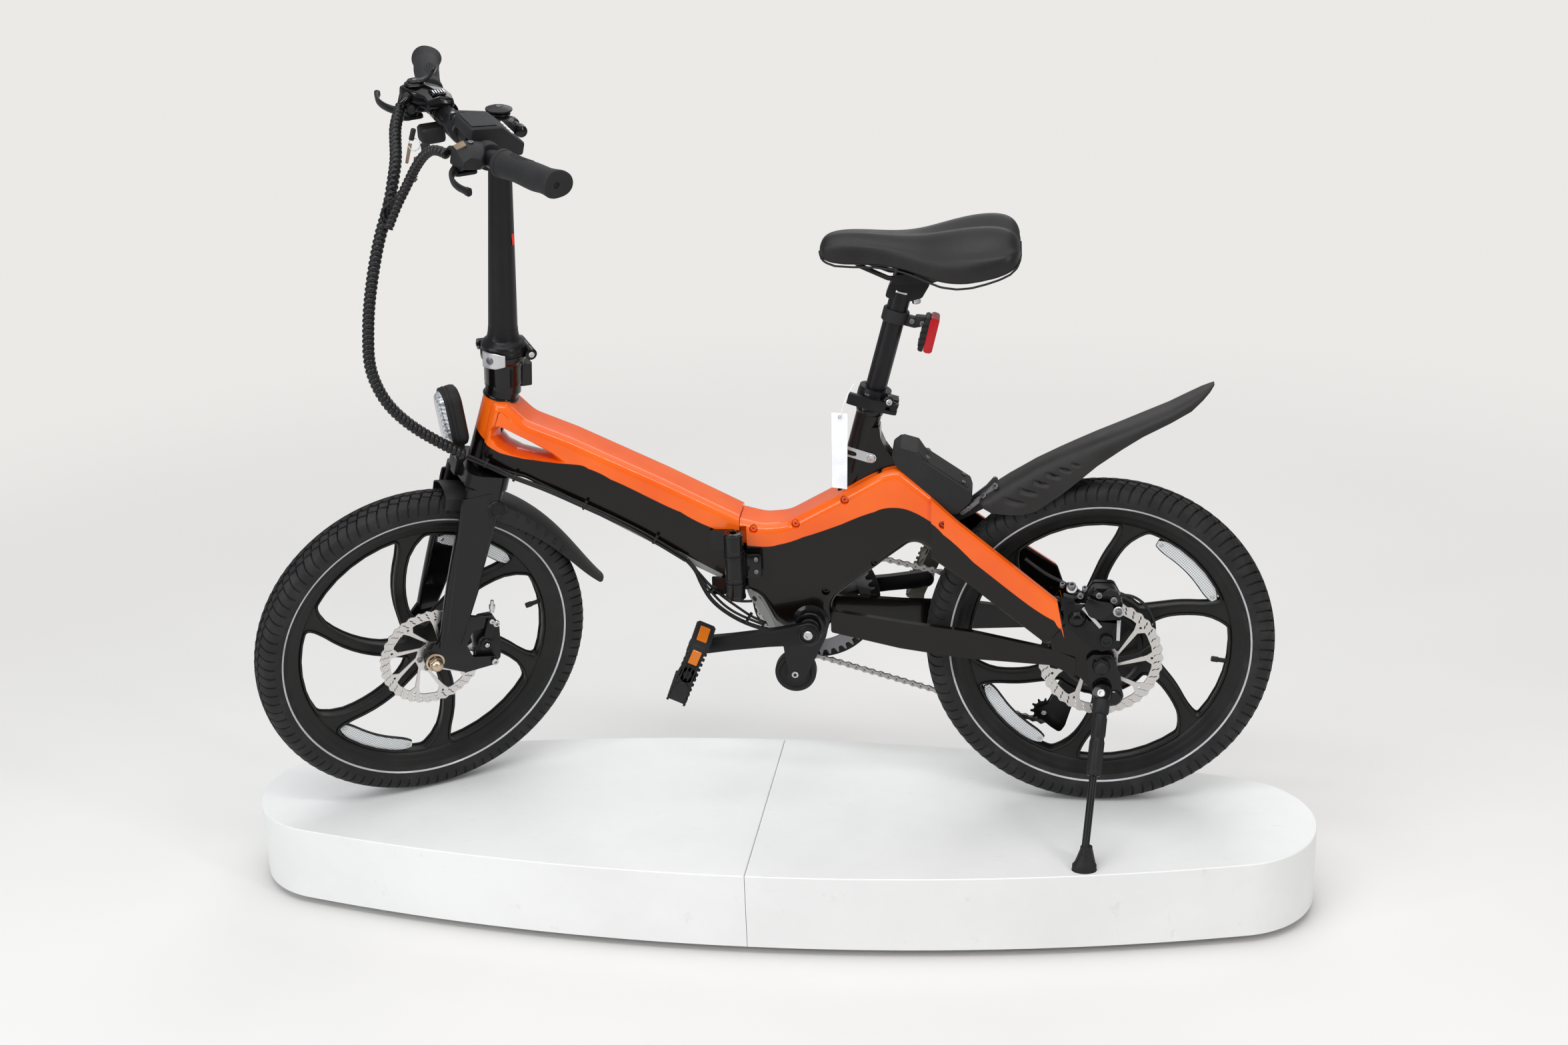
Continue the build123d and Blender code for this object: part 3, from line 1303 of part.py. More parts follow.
def make_pedal(sign):
    """Cage pedal: outer frame round the barrel that turns on the pedal axle."""
    end = crank_end(sign)
    start = CRANK_ARM_Y + CRANK_ARM_THICKNESS / 2 + PEDAL_GAP
    tilt = radians(PEDAL_TILT)
    middle = sign * (start + PEDAL_LENGTH / 2)
    flat = Plane(origin=at(end[0], middle, end[1]), x_dir=(cos(tilt), 0, sin(tilt)),
                 z_dir=(-sin(tilt), 0, cos(tilt)))
    window = (PEDAL_WIDTH / 2 - 25, PEDAL_LENGTH - 24)
    with BuildPart() as pedal:
        with BuildSketch(flat):
            RectangleRounded(PEDAL_WIDTH, PEDAL_LENGTH, 9)
            with Locations((-PEDAL_WIDTH / 4 - 3, 0), (PEDAL_WIDTH / 4 + 3, 0)):
                Rectangle(*window, mode=Mode.SUBTRACT)
        extrude(amount=PEDAL_THICKNESS / 2, both=True)
        low_y, high_y = ordered(sign, start - 2, start + PEDAL_LENGTH - 12)
        add(slab(hull_outline([(*end, PEDAL_AXLE_R + SPINDLE_FIT)]), low_y, high_y), mode=Mode.SUBTRACT)
    return pedal


def make_bottom_bracket(spine):
    """Bearing shell with its left cover, and the two-plate bracket of the support wheel."""
    with BuildPart() as shell:
        add(slab(hull_outline([(BB_X, BB_Z, BB_R)]), -BB_LEFT, BB_HALF))
        add(slab(hull_outline([(BB_X, BB_Z, SPINDLE_R + SPINDLE_FIT)]), -BB_LEFT, BB_HALF), mode=Mode.SUBTRACT)
        plate = rounded_outline([(52, 284), (108, 284), (104, 268), (70, 198), (56, 194), (44, 200)], 5)
        for low_y in (SUPPORT_WHEEL_Y - 15, SUPPORT_WHEEL_Y + 11):
            add(slab(plate, low_y, low_y + 4))
        add(slab(hull_outline([(*SUPPORT_WHEEL, 4)]), SUPPORT_WHEEL_Y - 17, SUPPORT_WHEEL_Y + 17))
        add(spine.part, mode=Mode.SUBTRACT)
    return shell


def make_support_wheel():
    """Small roller that the folded bicycle stands on."""
    with BuildPart() as wheel:
        add(slab(hull_outline([(*SUPPORT_WHEEL, SUPPORT_WHEEL_R)]), SUPPORT_WHEEL_Y - 10.5,
                 SUPPORT_WHEEL_Y + 10.5))
        fillet(wheel.edges(), radius=3)
        add(slab(hull_outline([(*SUPPORT_WHEEL, 4.06)]), SUPPORT_WHEEL_Y - 12, SUPPORT_WHEEL_Y + 12), mode=Mode.SUBTRACT)
    return wheel


def belt_loop(circles, offset):
    """The closed run round circles (x, z, radius, sense); a loop's sense is 1 when clockwise."""
    signed = [(x, z, sense * (radius + sense * offset)) for x, z, radius, sense in circles]
    normals = []
    for (x1, z1, q1), (x2, z2, q2) in zip(signed, signed[1:] + signed[:1]):
        heading = atan2(z2 - z1, x2 - x1)
        normals.append(heading + acos((q1 - q2) / hypot(x2 - x1, z2 - z1)))
    count = len(signed)
    with BuildLine(mode=Mode.PRIVATE) as loop:
        for index, (x, z, q) in enumerate(signed):
            came, goes = normals[index - 1], normals[index]
            sense = 1 if q > 0 else -1
            swing = (sense * (came - goes)) % (2 * pi)
            middle = came - sense * swing / 2
            points = [(x + q * cos(turn), z + q * sin(turn)) for turn in (came, middle, goes)]
            ThreePointArc(*points)
            x2, z2, q2 = signed[(index + 1) % count]
            Line(points[2], (x2 + q2 * cos(goes), z2 + q2 * sin(goes)))
    return loop.line


def make_chain():
    """The chain as a band over the chainring, the sprocket and both derailleur pulleys."""
    circles = [(BB_X, BB_Z, CHAINRING_R, 1), (REAR_AXLE_X, AXLE_Z, SPROCKET_R, 1),
               (*GUIDE_PULLEY, PULLEY_R, -1), (*TENSION_PULLEY, PULLEY_R, 1)]
    with BuildPart() as chain:
        with BuildSketch(side(CHAIN_Y + CHAIN_WIDTH / 2)):
            with BuildLine():
                add(belt_loop(circles, CHAIN_HALF_HEIGHT))
            make_face()
            with BuildLine():
                add(belt_loop(circles, -CHAIN_HALF_HEIGHT))
            make_face(mode=Mode.SUBTRACT)
        extrude(amount=CHAIN_WIDTH)
    return chain


def make_sprocket():
    with BuildPart() as sprocket:
        add(slab(hull_outline([(REAR_AXLE_X, AXLE_Z, SPROCKET_R - CHAIN_HALF_HEIGHT - CHAIN_CLEARANCE)]),
                 CHAIN_Y - 3, CHAIN_Y + 3))
        add(slab(hull_outline([(REAR_AXLE_X, AXLE_Z, 17)]), 40.5, 56))
        add(slab(hull_outline([(REAR_AXLE_X, AXLE_Z, AXLE_R + 1 + AXLE_FIT)]), 40, 57), mode=Mode.SUBTRACT)
    return sprocket


def make_pulley(place):
    with BuildPart() as pulley:
        add(slab(hull_outline([(*place, PULLEY_R - CHAIN_HALF_HEIGHT - CHAIN_CLEARANCE)]),
                 CHAIN_Y - 3, CHAIN_Y + 3))
        add(slab(hull_outline([(*place, PULLEY_BOLT_R + 0.06)]), CHAIN_Y - 4, CHAIN_Y + 4), mode=Mode.SUBTRACT)
    return pulley


def make_derailleur():
    """Body on the right dropout and the two cage plates that hold both pulleys."""
    with BuildPart() as derailleur:
        for low_y in (CHAIN_Y - 6.2, CHAIN_Y + 4.2):
            add(slab(hull_outline([(*GUIDE_PULLEY, 11), (*TENSION_PULLEY, 11)]), low_y, low_y + 2))
        for place in (GUIDE_PULLEY, TENSION_PULLEY):
            add(slab(hull_outline([(*place, PULLEY_BOLT_R)]), CHAIN_Y - 6.2, CHAIN_Y + 6.2))
        add(slab(hull_outline([(*GUIDE_PULLEY, 13)]), CHAIN_Y + 6.2, REAR_HUB_HALF + DROPOUT_GAP))
        add(slab(hull_outline([(*GUIDE_PULLEY, 12), (REAR_AXLE_X - 6, AXLE_Z - 30, 9)]), 61, REAR_HUB_HALF + DROPOUT_GAP))
    return derailleur


def make_kickstand_plate():
    """Plate held by the left axle nut, with the slanted boss and pin of the stand's pivot."""
    outer_face = -REAR_HUB_HALF - DROPOUT_GAP - DROPOUT_THICKNESS
    pivot = stand_plane(0)
    with BuildPart() as plate:
        add(slab(hull_outline([(REAR_AXLE_X, AXLE_Z, 14), (STAND_PIVOT[0] + 4, STAND_PIVOT[2] - 4, 12)]), outer_face - 6,
                 outer_face))
        add(slab(hull_outline([(REAR_AXLE_X, AXLE_Z, AXLE_R + 1)]), outer_face - 6, outer_face), mode=Mode.SUBTRACT)
        with BuildSketch(pivot.offset(-18)):
            Circle(8.5)
        extrude(amount=11.6)
        with BuildSketch(pivot.offset(-18)):
            Circle(STAND_PIN_R)
        extrude(amount=26)
    return plate


def stand_plane(along):
    """The plane square to the stand's pivot, this far outwards along it."""
    plane = Plane(origin=at(*STAND_PIVOT), z_dir=STAND_AXIS)
    return plane.offset(along)


def make_kickstand_leg():
    """Pivot ring, sleeve, rod and foot of the side stand."""
    pivot = Vector(*at(*STAND_PIVOT))
    foot = Vector(*at(*STAND_FOOT, STAND_TOP_Z))
    ankle = foot + Vector(0, 0, 22)
    direction = (ankle - pivot).normalized()
    with BuildPart() as leg:
        with BuildSketch(stand_plane(-6)):
            Circle(13)
        extrude(amount=12)
        with BuildSketch(Plane(origin=pivot + direction * 8, z_dir=direction)):
            Circle(9)
        extrude(amount=112)
        with BuildSketch(Plane(origin=pivot + direction * 110, z_dir=direction)):
            Circle(5.5)
        extrude(amount=(ankle - pivot).length - 110)
        with BuildSketch(level(STAND_TOP_Z)):
            with Locations(STAND_FOOT):
                Ellipse(18, 13)
        with BuildSketch(Plane(origin=foot - direction * 32, z_dir=(0, 0, 1))):
            Circle(8)
        loft()
        with BuildSketch(stand_plane(-7)):
            Circle(STAND_PIN_R + 0.06)
        extrude(amount=14, mode=Mode.SUBTRACT)
    return leg


def make_rear_stays(spine):
    """Both sloping arms joined to the chainstays at the dropouts."""
    parts = [make_rear_arm(-1).part, make_rear_arm(1).part, make_chainstays(spine).part]
    with BuildPart() as stays:
        for part in parts:
            add(part)
    return stays


# ---------------------------------------------------------------- rear fittings
def make_controller_box(spine, stays):
    """Controller housing lying on the sloping top of the rear arms."""
    slope = radians(-42)
    with BuildPart() as box:
        with BuildSketch(Plane(origin=at(262, 0, 515), x_dir=(cos(slope), 0, sin(slope)),
                               z_dir=(-sin(slope), 0, cos(slope)))):
            RectangleRounded(118, 66, 8)
        extrude(amount=19, both=True)
        fillet(box.faces().sort_by(Axis.Z)[-1].edges(), radius=4)
        add(spine.part, mode=Mode.SUBTRACT)
        add(stays.part, mode=Mode.SUBTRACT)
        add(box.solids().sort_by(SortBy.VOLUME)[-1], mode=Mode.REPLACE)
    return box


def make_rear_mudguard():
    """Short guard that rises behind the controller, deep over the tyre and slim at its tip."""
    stations = [(331, 474, 50, 30, 10, 12), (350, 495, 44, 32, 10, 24), (374, 514, 33, 33, 10, 42),
                (420, 539, 27, 34, 10, 58), (470, 563, 26, 34, 10, 48), (525, 590, 26, 33, 10, 32),
                (590, 621, 26, 31, 9, 18), (659, 654, 27, 24, 8, 6)]
    with BuildPart() as guard:
        for x, z, heading, half_width, rise, skirt in stations:
            with BuildSketch(guard_plane(x, z, heading)):
                add(guard_section(half_width, rise, skirt, 2.4))
        loft()
        add(slab(rounded_outline([(262, 456), (262, 450), (300, 447), (341, 468), (338, 474), (298, 453)],
                                 1), -15, 15))
    return guard


def make_rear_caliper():
    body = rounded_outline(by_rear_axle((-23, 68), (25, 64), (29, 96), (17, 118), (-15, 118), (-25, 98)), 5)
    bracket = by_rear_axle((-44, 52), (-21, 84), (26, 86), (31, 64), (11, 30), (-11, 32))
    outer_face = -REAR_HUB_HALF - DROPOUT_GAP - DROPOUT_THICKNESS
    caliper = make_caliper((REAR_AXLE_X, AXLE_Z), REAR_ROTOR_R, REAR_ROTOR_Y, body, (outer_face - 4, -46),
                           (REAR_AXLE_X + 3, AXLE_Z + 96, 13), (outer_face - 14, outer_face - 4))
    with BuildPart() as mounted:
        add(caliper.part)
        add(slab(rounded_outline(bracket, 4), outer_face - 4, outer_face))
    return mounted


# ---------------------------------------------------------------- cords
BAR_HARNESS = [(-464, -9, 1060), (-468, -34, 1041), (-462, -62, 1021), (-456, -87, 1001), (-457, -107, 977),
               (-463, -119, 944), (-479, -124, 903), (-492, -127, 856), (-503, -128, 807),
               (-509, -126, 768), (-514, -122, 723), (-509, -115, 688), (-497, -105, 655),
               (-476, -92, 625), (-446, -75, 595), (-409, -56, 566)]
LEFT_BRANCH = [(-357, -190, 1026), (-373, -178, 1032), (-393, -163, 1024), (-413, -148, 1002),
               (-431, -138, 974), (-449, -137, 945), (-461, -141, 918)]
FRAME_HARNESS = [(-405, -54.6, 563), (-380, -48, 549), (-340, -45, 527), (-295, -44.5, 510),
                 (-240, -44.3, 483), (-190, -44.5, 458), (-140, -44.3, 430), (-95, -44.5, 400)]
HINGE_HARNESS = [(-94, -44.6, 399), (-82, -45.5, 387), (-74, -46, 362), (-60, -45, 334), (-31, -41, 308),
                 (2, -35, 289), (22, -28, 281)]


def make_bar_harness():
    """The wrapped cables from the right controls to the head, and the left brake's branch."""
    branches = [make_cord("bar_harness", BAR_HARNESS, HARNESS_R).part,
                make_cord("left branch", LEFT_BRANCH, HARNESS_R - 1.5).part]
    with BuildPart() as harness:
        for branch in branches:
            add(branch)
    return harness


# ---------------------------------------------------------------- build and write every piece
os.makedirs("parts", exist_ok=True)

save(make_plinth_half(-1), "plinth_front_half")
save(make_plinth_half(1), "plinth_rear_half")
save(make_plinth_boards(), "plinth_base_boards")

front_spine = make_front_spine()
save(front_spine, "front_spine")
save(make_battery(), "battery_pack")
save(make_front_leaf(), "hinge_front_leaf")
save(make_latch_lever(), "hinge_latch_lever")
save(make_cord("frame_harness", FRAME_HARNESS, BUNDLE_R), "frame_harness")

rear_spine = make_rear_spine()
save(rear_spine, "rear_spine")
rear_stays = make_rear_stays(rear_spine)
save(rear_stays, "rear_stays")
save(make_rear_leaf(), "hinge_rear_leaf")
save(make_bottom_bracket(rear_spine), "bottom_bracket")
save(make_support_wheel(), "support_wheel")
save(make_controller_box(rear_spine, rear_stays), "controller_box")
save(make_rear_mudguard(), "rear_mudguard")
save(make_rear_caliper(), "rear_caliper")
save(make_axle(REAR_AXLE_X, AXLE_R + 1, 84, (82.2, 76.2), 11), "rear_axle")
save(make_kickstand_plate(), "kickstand_plate")
save(make_kickstand_leg(), "kickstand_leg")
save(make_cord("hinge_harness", HINGE_HARNESS, LOOP_CORD_R), "hinge_harness")

save(make_tyre(REAR_AXLE_X), "rear_tyre")
save(make_rear_wheel(), "rear_cast_wheel")
save(make_hub_motor(), "hub_motor")
save(make_rotor(REAR_AXLE_X, REAR_ROTOR_Y, REAR_ROTOR_R, 14.2, 6), "rear_rotor")

save(make_crankset(), "crankset")
save(make_pedal(-1), "left_pedal")
save(make_pedal(1), "right_pedal")
save(make_chain(), "chain")
save(make_sprocket(), "freewheel_sprocket")
save(make_pulley(GUIDE_PULLEY), "guide_pulley")
save(make_pulley(TENSION_PULLEY), "tension_pulley")
save(make_derailleur(), "derailleur")

saddle_rails = make_saddle_rails()
save(saddle_rails, "saddle_rails")
save(make_saddle(saddle_rails), "saddle")
save(make_seatpost(saddle_rails), "seatpost")
save(make_tail_light(), "tail_light")
save(make_seat_collar(), "seat_collar")
save(make_seat_lever(), "seat_lever")

save_turned(make_fork_crown(), "fork_crown")
save_turned(make_fork_blades(), "fork_blades")
save_turned(make_front_caliper(), "front_caliper")
save_turned(make_front_mudguard(), "front_mudguard")
save_turned(make_headlight(), "headlight")
save_turned(make_stem_base(), "stem_base")
save_turned(make_axle(FRONT_AXLE_X, AXLE_R, 72, (61.2, 61.2), 10), "front_axle")
save_turned(make_tyre(FRONT_AXLE_X), "front_tyre")
save_turned(make_front_wheel(), "front_cast_wheel")
save_turned(make_rotor(FRONT_AXLE_X, FRONT_ROTOR_Y, FRONT_ROTOR_R, ROTOR_SEAT_R + 0.2, 9), "front_rotor")

save_turned(make_handlepost(), "handlepost")
save_turned(make_bar_clamp(), "bar_clamp")
save_turned(make_handlebar(), "handlebar")
save_turned(make_grips(), "grips")
save_turned(make_display(), "display_unit")
save_turned(make_brake_brackets(), "brake_brackets")
save_turned(make_bar_controls(), "bar_controls")
save_turned(make_brake_lever(-1), "left_brake_lever")
save_turned(make_brake_lever(1), "right_brake_lever")
save_turned(make_shifter_lever(), "shifter_lever")
save(make_bar_harness(), "bar_harness")
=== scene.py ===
"""Looks of a folding electric bicycle on its oval display plinth.

Route points and outlines are written in millimetres as (x, y, z) with z measured from the
plinth's top; place() turns them into the row frame in metres. Pieces on a body in STEERED are
written with the steering straight and turned by STEER.
"""
import math
from math import atan2, cos, hypot, pi, radians, sin

import bmesh
import bpy
from mathutils import Matrix, Vector


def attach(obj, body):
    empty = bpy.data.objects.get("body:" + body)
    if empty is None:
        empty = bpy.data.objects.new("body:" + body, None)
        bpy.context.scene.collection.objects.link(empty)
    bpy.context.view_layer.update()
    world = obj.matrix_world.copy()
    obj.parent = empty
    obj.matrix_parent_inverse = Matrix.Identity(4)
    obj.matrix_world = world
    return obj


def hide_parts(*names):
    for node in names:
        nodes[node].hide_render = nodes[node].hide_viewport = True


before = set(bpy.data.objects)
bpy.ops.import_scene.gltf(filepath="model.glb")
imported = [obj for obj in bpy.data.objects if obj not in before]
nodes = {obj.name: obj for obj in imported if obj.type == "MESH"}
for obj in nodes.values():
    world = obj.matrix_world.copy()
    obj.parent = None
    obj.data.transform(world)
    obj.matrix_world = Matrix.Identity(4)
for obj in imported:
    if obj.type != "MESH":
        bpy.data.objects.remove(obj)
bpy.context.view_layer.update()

PLINTH_TOP = 130
TURN = 0.552
HEAD = radians(73)
HEAD_POINT = (-360, 0, 641)
FRONT_AXLE = (-514, 254.3)
REAR_AXLE = (505, 254.3)


def place(x, y, z):
    return Vector((x / 1000, y / 1000, (z + PLINTH_TOP) / 1000))


head_point = place(*HEAD_POINT)
STEER = (Matrix.Translation(head_point) @ Matrix.Rotation(TURN, 4, Vector((cos(HEAD), 0, sin(HEAD))))
         @ Matrix.Translation(-head_point))
STILL = Matrix.Identity(4)
STEERED = ("steering", "handlepost", "front_wheel", "shifter_lever", "left_brake_lever", "right_brake_lever")
LEFT, RIGHT, UP = (0, -1, 0), (0, 1, 0), (0, 0, 1)
SIDES = ((-1, "left"), (1, "right"))


# ---------------------------------------------------------------- shader helpers
class Val:
    """A socket of a shader tree; sums and products of sockets add Math nodes."""

    def __init__(self, tree, socket=None):
        self.tree, self.socket = tree, socket

    def node(self, kind, sockets=(), output=0, stops=(), **settings):
        """A new node: its settings and its ramp's stops first, then its sockets' values or links."""
        new = self.tree.nodes.new(f"ShaderNode{kind}")
        for name, value in settings.items():
            setattr(new, name, value)
        for index, (spot, grey) in enumerate(stops):
            held = new.color_ramp.elements
            stop = held[0] if index == 0 else held[-1] if index == len(stops) - 1 else held.new(spot)
            stop.position, stop.color = spot, (grey, grey, grey, 1)
            new.color_ramp.interpolation = "B_SPLINE"
        for slot, value in dict(sockets).items():
            feed(self.tree, new.inputs[slot], value)
        outputs = [Val(self.tree, out) for out in new.outputs]
        return outputs if output is None else Val(self.tree, new.outputs[output])

    def math(self, operation, *others, clamp=False):
        return self.node("Math", enumerate((self, *others)), operation=operation, use_clamp=clamp)

    def __add__(self, other):
        return self.math("ADD", other)

    def __sub__(self, other):
        return self.math("SUBTRACT", other)

    def __rsub__(self, other):
        return self.node("Math", ((0, other), (1, self)), operation="SUBTRACT")

    def __mul__(self, other):
        return self.math("MULTIPLY", other)

    __radd__, __rmul__ = __add__, __mul__

    def step(self, low, high):
        """0 below low, 1 above high, smooth between."""
        return self.node("MapRange", {"Value": self, "From Min": low, "From Max": high}, "Result",
                         interpolation_type="SMOOTHSTEP")


def feed(tree, slot, value):
    if isinstance(value, Val):
        tree.links.new(value.socket, slot)
    else:
        slot.default_value = value


def colour(value):
    return value if isinstance(value, Val) else (*value, 1)


class Shade:
    """A procedural material around one Principled shader."""

    def __init__(self, name, base, rough=0.5, metallic=0.0, coat=0.0, coat_rough=0.05, specular=0.5):
        self.mat = bpy.data.materials.new(name)
        self.mat.use_nodes = True
        self.tree = self.mat.node_tree
        self.base = base
        for slot, value in (("Base Color", colour(base)), ("Roughness", rough), ("Metallic", metallic),
                            ("Coat Weight", coat), ("Coat Roughness", coat_rough), ("IOR", 1.5),
                            ("Specular IOR Level", specular)):
            self.set(slot, value)
        self.at = Val(self.tree).node("TexCoord", output="Object")

    def set(self, slot, value):
        feed(self.tree, self.tree.nodes["Principled BSDF"].inputs[slot], value)

    def axes(self):
        return self.at.node("SeparateXYZ", {0: self.at}, None)

    def vector(self, *axes):
        return self.at.node("CombineXYZ", enumerate(axes))

    def noise(self, scale, detail=3, rough=0.5, at=None):
        return self.at.node("TexNoise", {"Vector": at or self.at, "Scale": scale, "Detail": detail,
                                         "Roughness": rough}, "Fac")

    def cells(self, scale):
        return self.at.node("TexVoronoi", {"Vector": self.at, "Scale": scale}, "Distance")

    def mix(self, share, one, other):
        return self.at.node("Mix", {"Factor": share, 6: colour(one), 7: colour(other)}, 2, data_type="RGBA")

    def curve(self, value, points, low, high):
        """The height of a smooth line through (value, height) points that lie between low and high."""
        start, end = points[0][0], points[-1][0]
        share = value.node("MapRange", {"Value": value, "From Min": start, "From Max": end}, "Result")
        stops = [((x - start) / (end - start), (z - low) / (high - low)) for x, z in points]
        return value.node("ValToRGB", {0: share}, stops=stops) * (high - low) + low

    def bump(self, height, strength, distance):
        self.set("Normal", height.node("Bump", {"Height": height, "Strength": strength, "Distance": distance}))


def speckled(shade, amount, scale, rough_low, rough_high):
    """Faint blotches in a surface's colour and gloss, from handling and dust."""
    blotch = shade.noise(scale, 4, 0.6)
    fine = shade.noise(scale * 9, 2, 0.5)
    lighter = tuple(min(1, c + amount) for c in shade.base)
    shade.set("Base Color", shade.mix(blotch.step(0.35, 0.75), shade.base, lighter))
    shade.set("Roughness", (blotch * 0.7 + fine * 0.3).step(0.2, 0.8) * (rough_high - rough_low) + rough_low)
    return blotch


def gloss_black(name="gloss_black", base=(0.003, 0.003, 0.0035)):
    shade = Shade(name, base, 0.2, coat=0.28, coat_rough=0.04, specular=0.2)
    blotch = speckled(shade, 0.002, 14, 0.12, 0.24)
    shade.bump(shade.noise(420, 2) * 0.5 + blotch * 0.5, 0.04, 0.0004)
    return shade.mat


def satin_black(name="satin_black", base=(0.005, 0.005, 0.006), low=0.28, high=0.42):
    shade = Shade(name, base, 0.38, specular=0.25)
    speckled(shade, 0.004, 22, low, high)
    shade.bump(shade.noise(900, 2), 0.12, 0.0003)
    return shade.mat


def matte_plastic(name, base, low=0.5, high=0.64, grain=1500, depth=0.3):
    shade = Shade(name, base, 0.6, specular=0.3)
    speckled(shade, max(base) * 0.35, 18, low, high)
    shade.bump(shade.cells(grain) * 0.6 + shade.noise(grain * 0.4, 3) * 0.4, depth, 0.0003)
    return shade.mat


def steel(name="steel", base=(0.62, 0.62, 0.63), rough=0.28):
    shade = Shade(name, base, rough, metallic=1)
    x, y, z = shade.axes()
    brushed = shade.noise(60, 4, 0.65, at=shade.vector(x * 4, y * 4, z * 40))
    shade.set("Roughness", brushed * 0.22 + (rough - 0.08))
    shade.set("Base Color", shade.mix(brushed, tuple(c * 0.86 for c in base), base))
    shade.bump(brushed, 0.05, 0.0002)
    return shade.mat


ORANGE = (0.88, 0.165, 0.012)
BLACK_PAINT = (0.003, 0.002, 0.0015)
FRONT_EDGE = [(-440, 604), (-405, 601), (-394, 589), (-383, 577), (-371, 568), (-360, 562), (-343, 557),
    (-327, 554), (-294, 548), (-262, 545), (-244, 544), (-232, 540), (-200, 523), (-150, 496), (-100, 469),
    (-72, 454), (-39, 439), (-14, 427)]
REAR_EDGE = [(-18, 422), (-2, 419), (20, 417), (39, 419), (76, 431), (133, 453), (181, 475), (202, 479),
    (220, 478), (236, 473), (256, 461), (279, 445), (322, 402), (380, 357), (438, 315), (448, 308), (452, 290)]
SPINE_TOP = [(100, 479), (122, 491), (156, 510.5), (190, 529.5), (204, 533), (216, 535), (232, 540)]
ARM_OUTER = ((262, 43), (452, 81))


def frame_paint(name, edge, rear=False):
    """Gloss orange above a painted edge line, gloss black below it."""
    shade = Shade(name, ORANGE, 0.2, coat=0.5, coat_rough=0.03, specular=0.2)
    x, y, z = shade.axes()
    points = [(px / 1000, (pz + PLINTH_TOP) / 1000) for px, pz in edge]
    line = shade.curve(x, points, 0.3, 0.8)
    above = (z - line).step(-0.0006, 0.0006)
    if rear:
        top = shade.curve(x, [(px / 1000, (pz + PLINTH_TOP) / 1000) for px, pz in SPINE_TOP], 0.5, 0.8)
        tube = (z - top).step(0.0004, 0.0014) * x.step(0.099, 0.101) * (1 - x.step(0.229, 0.231))
        (x0, y0), (x1, y1) = ARM_OUTER
        outer = (x - x0 / 1000) * ((y1 - y0) / (x1 - x0)) + (y0 - 12) / 1000
        inner = (outer - y.math("ABSOLUTE")).step(-0.0004, 0.0004) * x.step(0.2615, 0.2635)
        end = (0.4475 - x - (z - (318 + PLINTH_TOP) / 1000) * 0.18).step(-0.0004, 0.0004)
        above = above * (1 - tube) * (1 - inner) * end
    flake = shade.noise(8, 3, 0.5)
    orange = shade.mix(flake.step(0.3, 0.7), (0.80, 0.098, 0.003), (0.88, 0.135, 0.006))
    black = shade.mix(shade.noise(11, 3).step(0.3, 0.8), BLACK_PAINT, (0.005, 0.0035, 0.0025))
    shade.set("Base Color", shade.mix(above, black, orange))
    shade.set("Coat Weight", above * 0.3 + 0.25)
    shade.set("Roughness", shade.noise(30, 3) * 0.1 + 0.16)
    shade.bump(above * 0.6 + shade.noise(500, 2) * 0.04, 0.25, 0.0004)
    return shade.mat


def laminate():
    """White laminate with faint scuffs and dust on its top."""
    shade = Shade("white_laminate", (0.83, 0.83, 0.82), 0.42, coat=0.15, coat_rough=0.3)
    x, y, z = shade.axes()
    cloud = shade.noise(3, 5, 0.6)
    scuff = shade.noise(26, 6, 0.7, at=shade.vector(x, y * 6, z)).step(0.62, 0.7)
    base = shade.mix(cloud.step(0.3, 0.75), (0.86, 0.86, 0.85), (0.78, 0.78, 0.77))
    shade.set("Base Color", shade.mix(scuff * 0.3, base, (0.62, 0.61, 0.6)))
    shade.set("Roughness", scuff * 0.15 + cloud * 0.1 + 0.34)
    shade.bump(shade.noise(900, 2) * 0.5 + scuff * 0.5, 0.05, 0.0003)
    return shade.mat


def tyre_rubber():
    shade = Shade("tyre_rubber", (0.012, 0.012, 0.013), 0.7, specular=0.35)
    dust = shade.noise(35, 5, 0.65)
    shade.set("Base Color", shade.mix(dust.step(0.4, 0.75), (0.009, 0.009, 0.010), (0.024, 0.023, 0.022)))
    shade.set("Roughness", dust * 0.25 + 0.55)
    shade.bump(shade.noise(700, 4) * 0.7 + shade.cells(1200) * 0.3, 0.25, 0.0005)
    return shade.mat


def cable_black():
    shade = Shade("cable_black", (0.006, 0.006, 0.007), 0.4, specular=0.35)
    speckled(shade, 0.004, 40, 0.25, 0.42)
    shade.bump(shade.noise(900, 2), 0.1, 0.0003)
    return shade.mat


def clear_lens():
    """Clear moulded lens over a bright reflector, as fine vertical flutes; the flutes' light and dark in its
    colour are painted highlights.
    """
    shade = Shade("lamp_lens", (0.62, 0.64, 0.66), 0.12, metallic=0.55, coat=1.0)
    _, y, z = shade.axes()
    flute = (y * 900).math("SINE") * (z * 900).math("SINE")
    # Painted highlights: the flutes' glints are mixed into the base colour.
    shade.set("Base Color", shade.mix(flute.step(-0.6, 0.8), (0.34, 0.36, 0.39), (0.80, 0.82, 0.85)))
    shade.set("Roughness", shade.noise(60, 3) * 0.12 + 0.08)
    shade.bump(flute, 0.4, 0.0006)
    return shade.mat


def prism_mesh():
    """Clear spoke reflector: a fine grid of prisms under a smooth face; the prisms' light and dark in its
    colour are painted highlights.
    """
    shade = Shade("prism_reflector", (0.60, 0.62, 0.63), 0.2, coat=1.0)
    x, _, z = shade.axes()
    grid = (x * 1500).math("SINE") * (z * 1500).math("SINE")
    # Painted highlights: the prisms' glints are mixed into the base colour.
    shade.set("Base Color", shade.mix(grid.step(-0.5, 0.6), (0.36, 0.37, 0.38), (0.80, 0.82, 0.83)))
    shade.set("Roughness", shade.noise(90, 3) * 0.1 + 0.15)
    shade.bump(grid, 0.35, 0.0005)
    return shade.mat


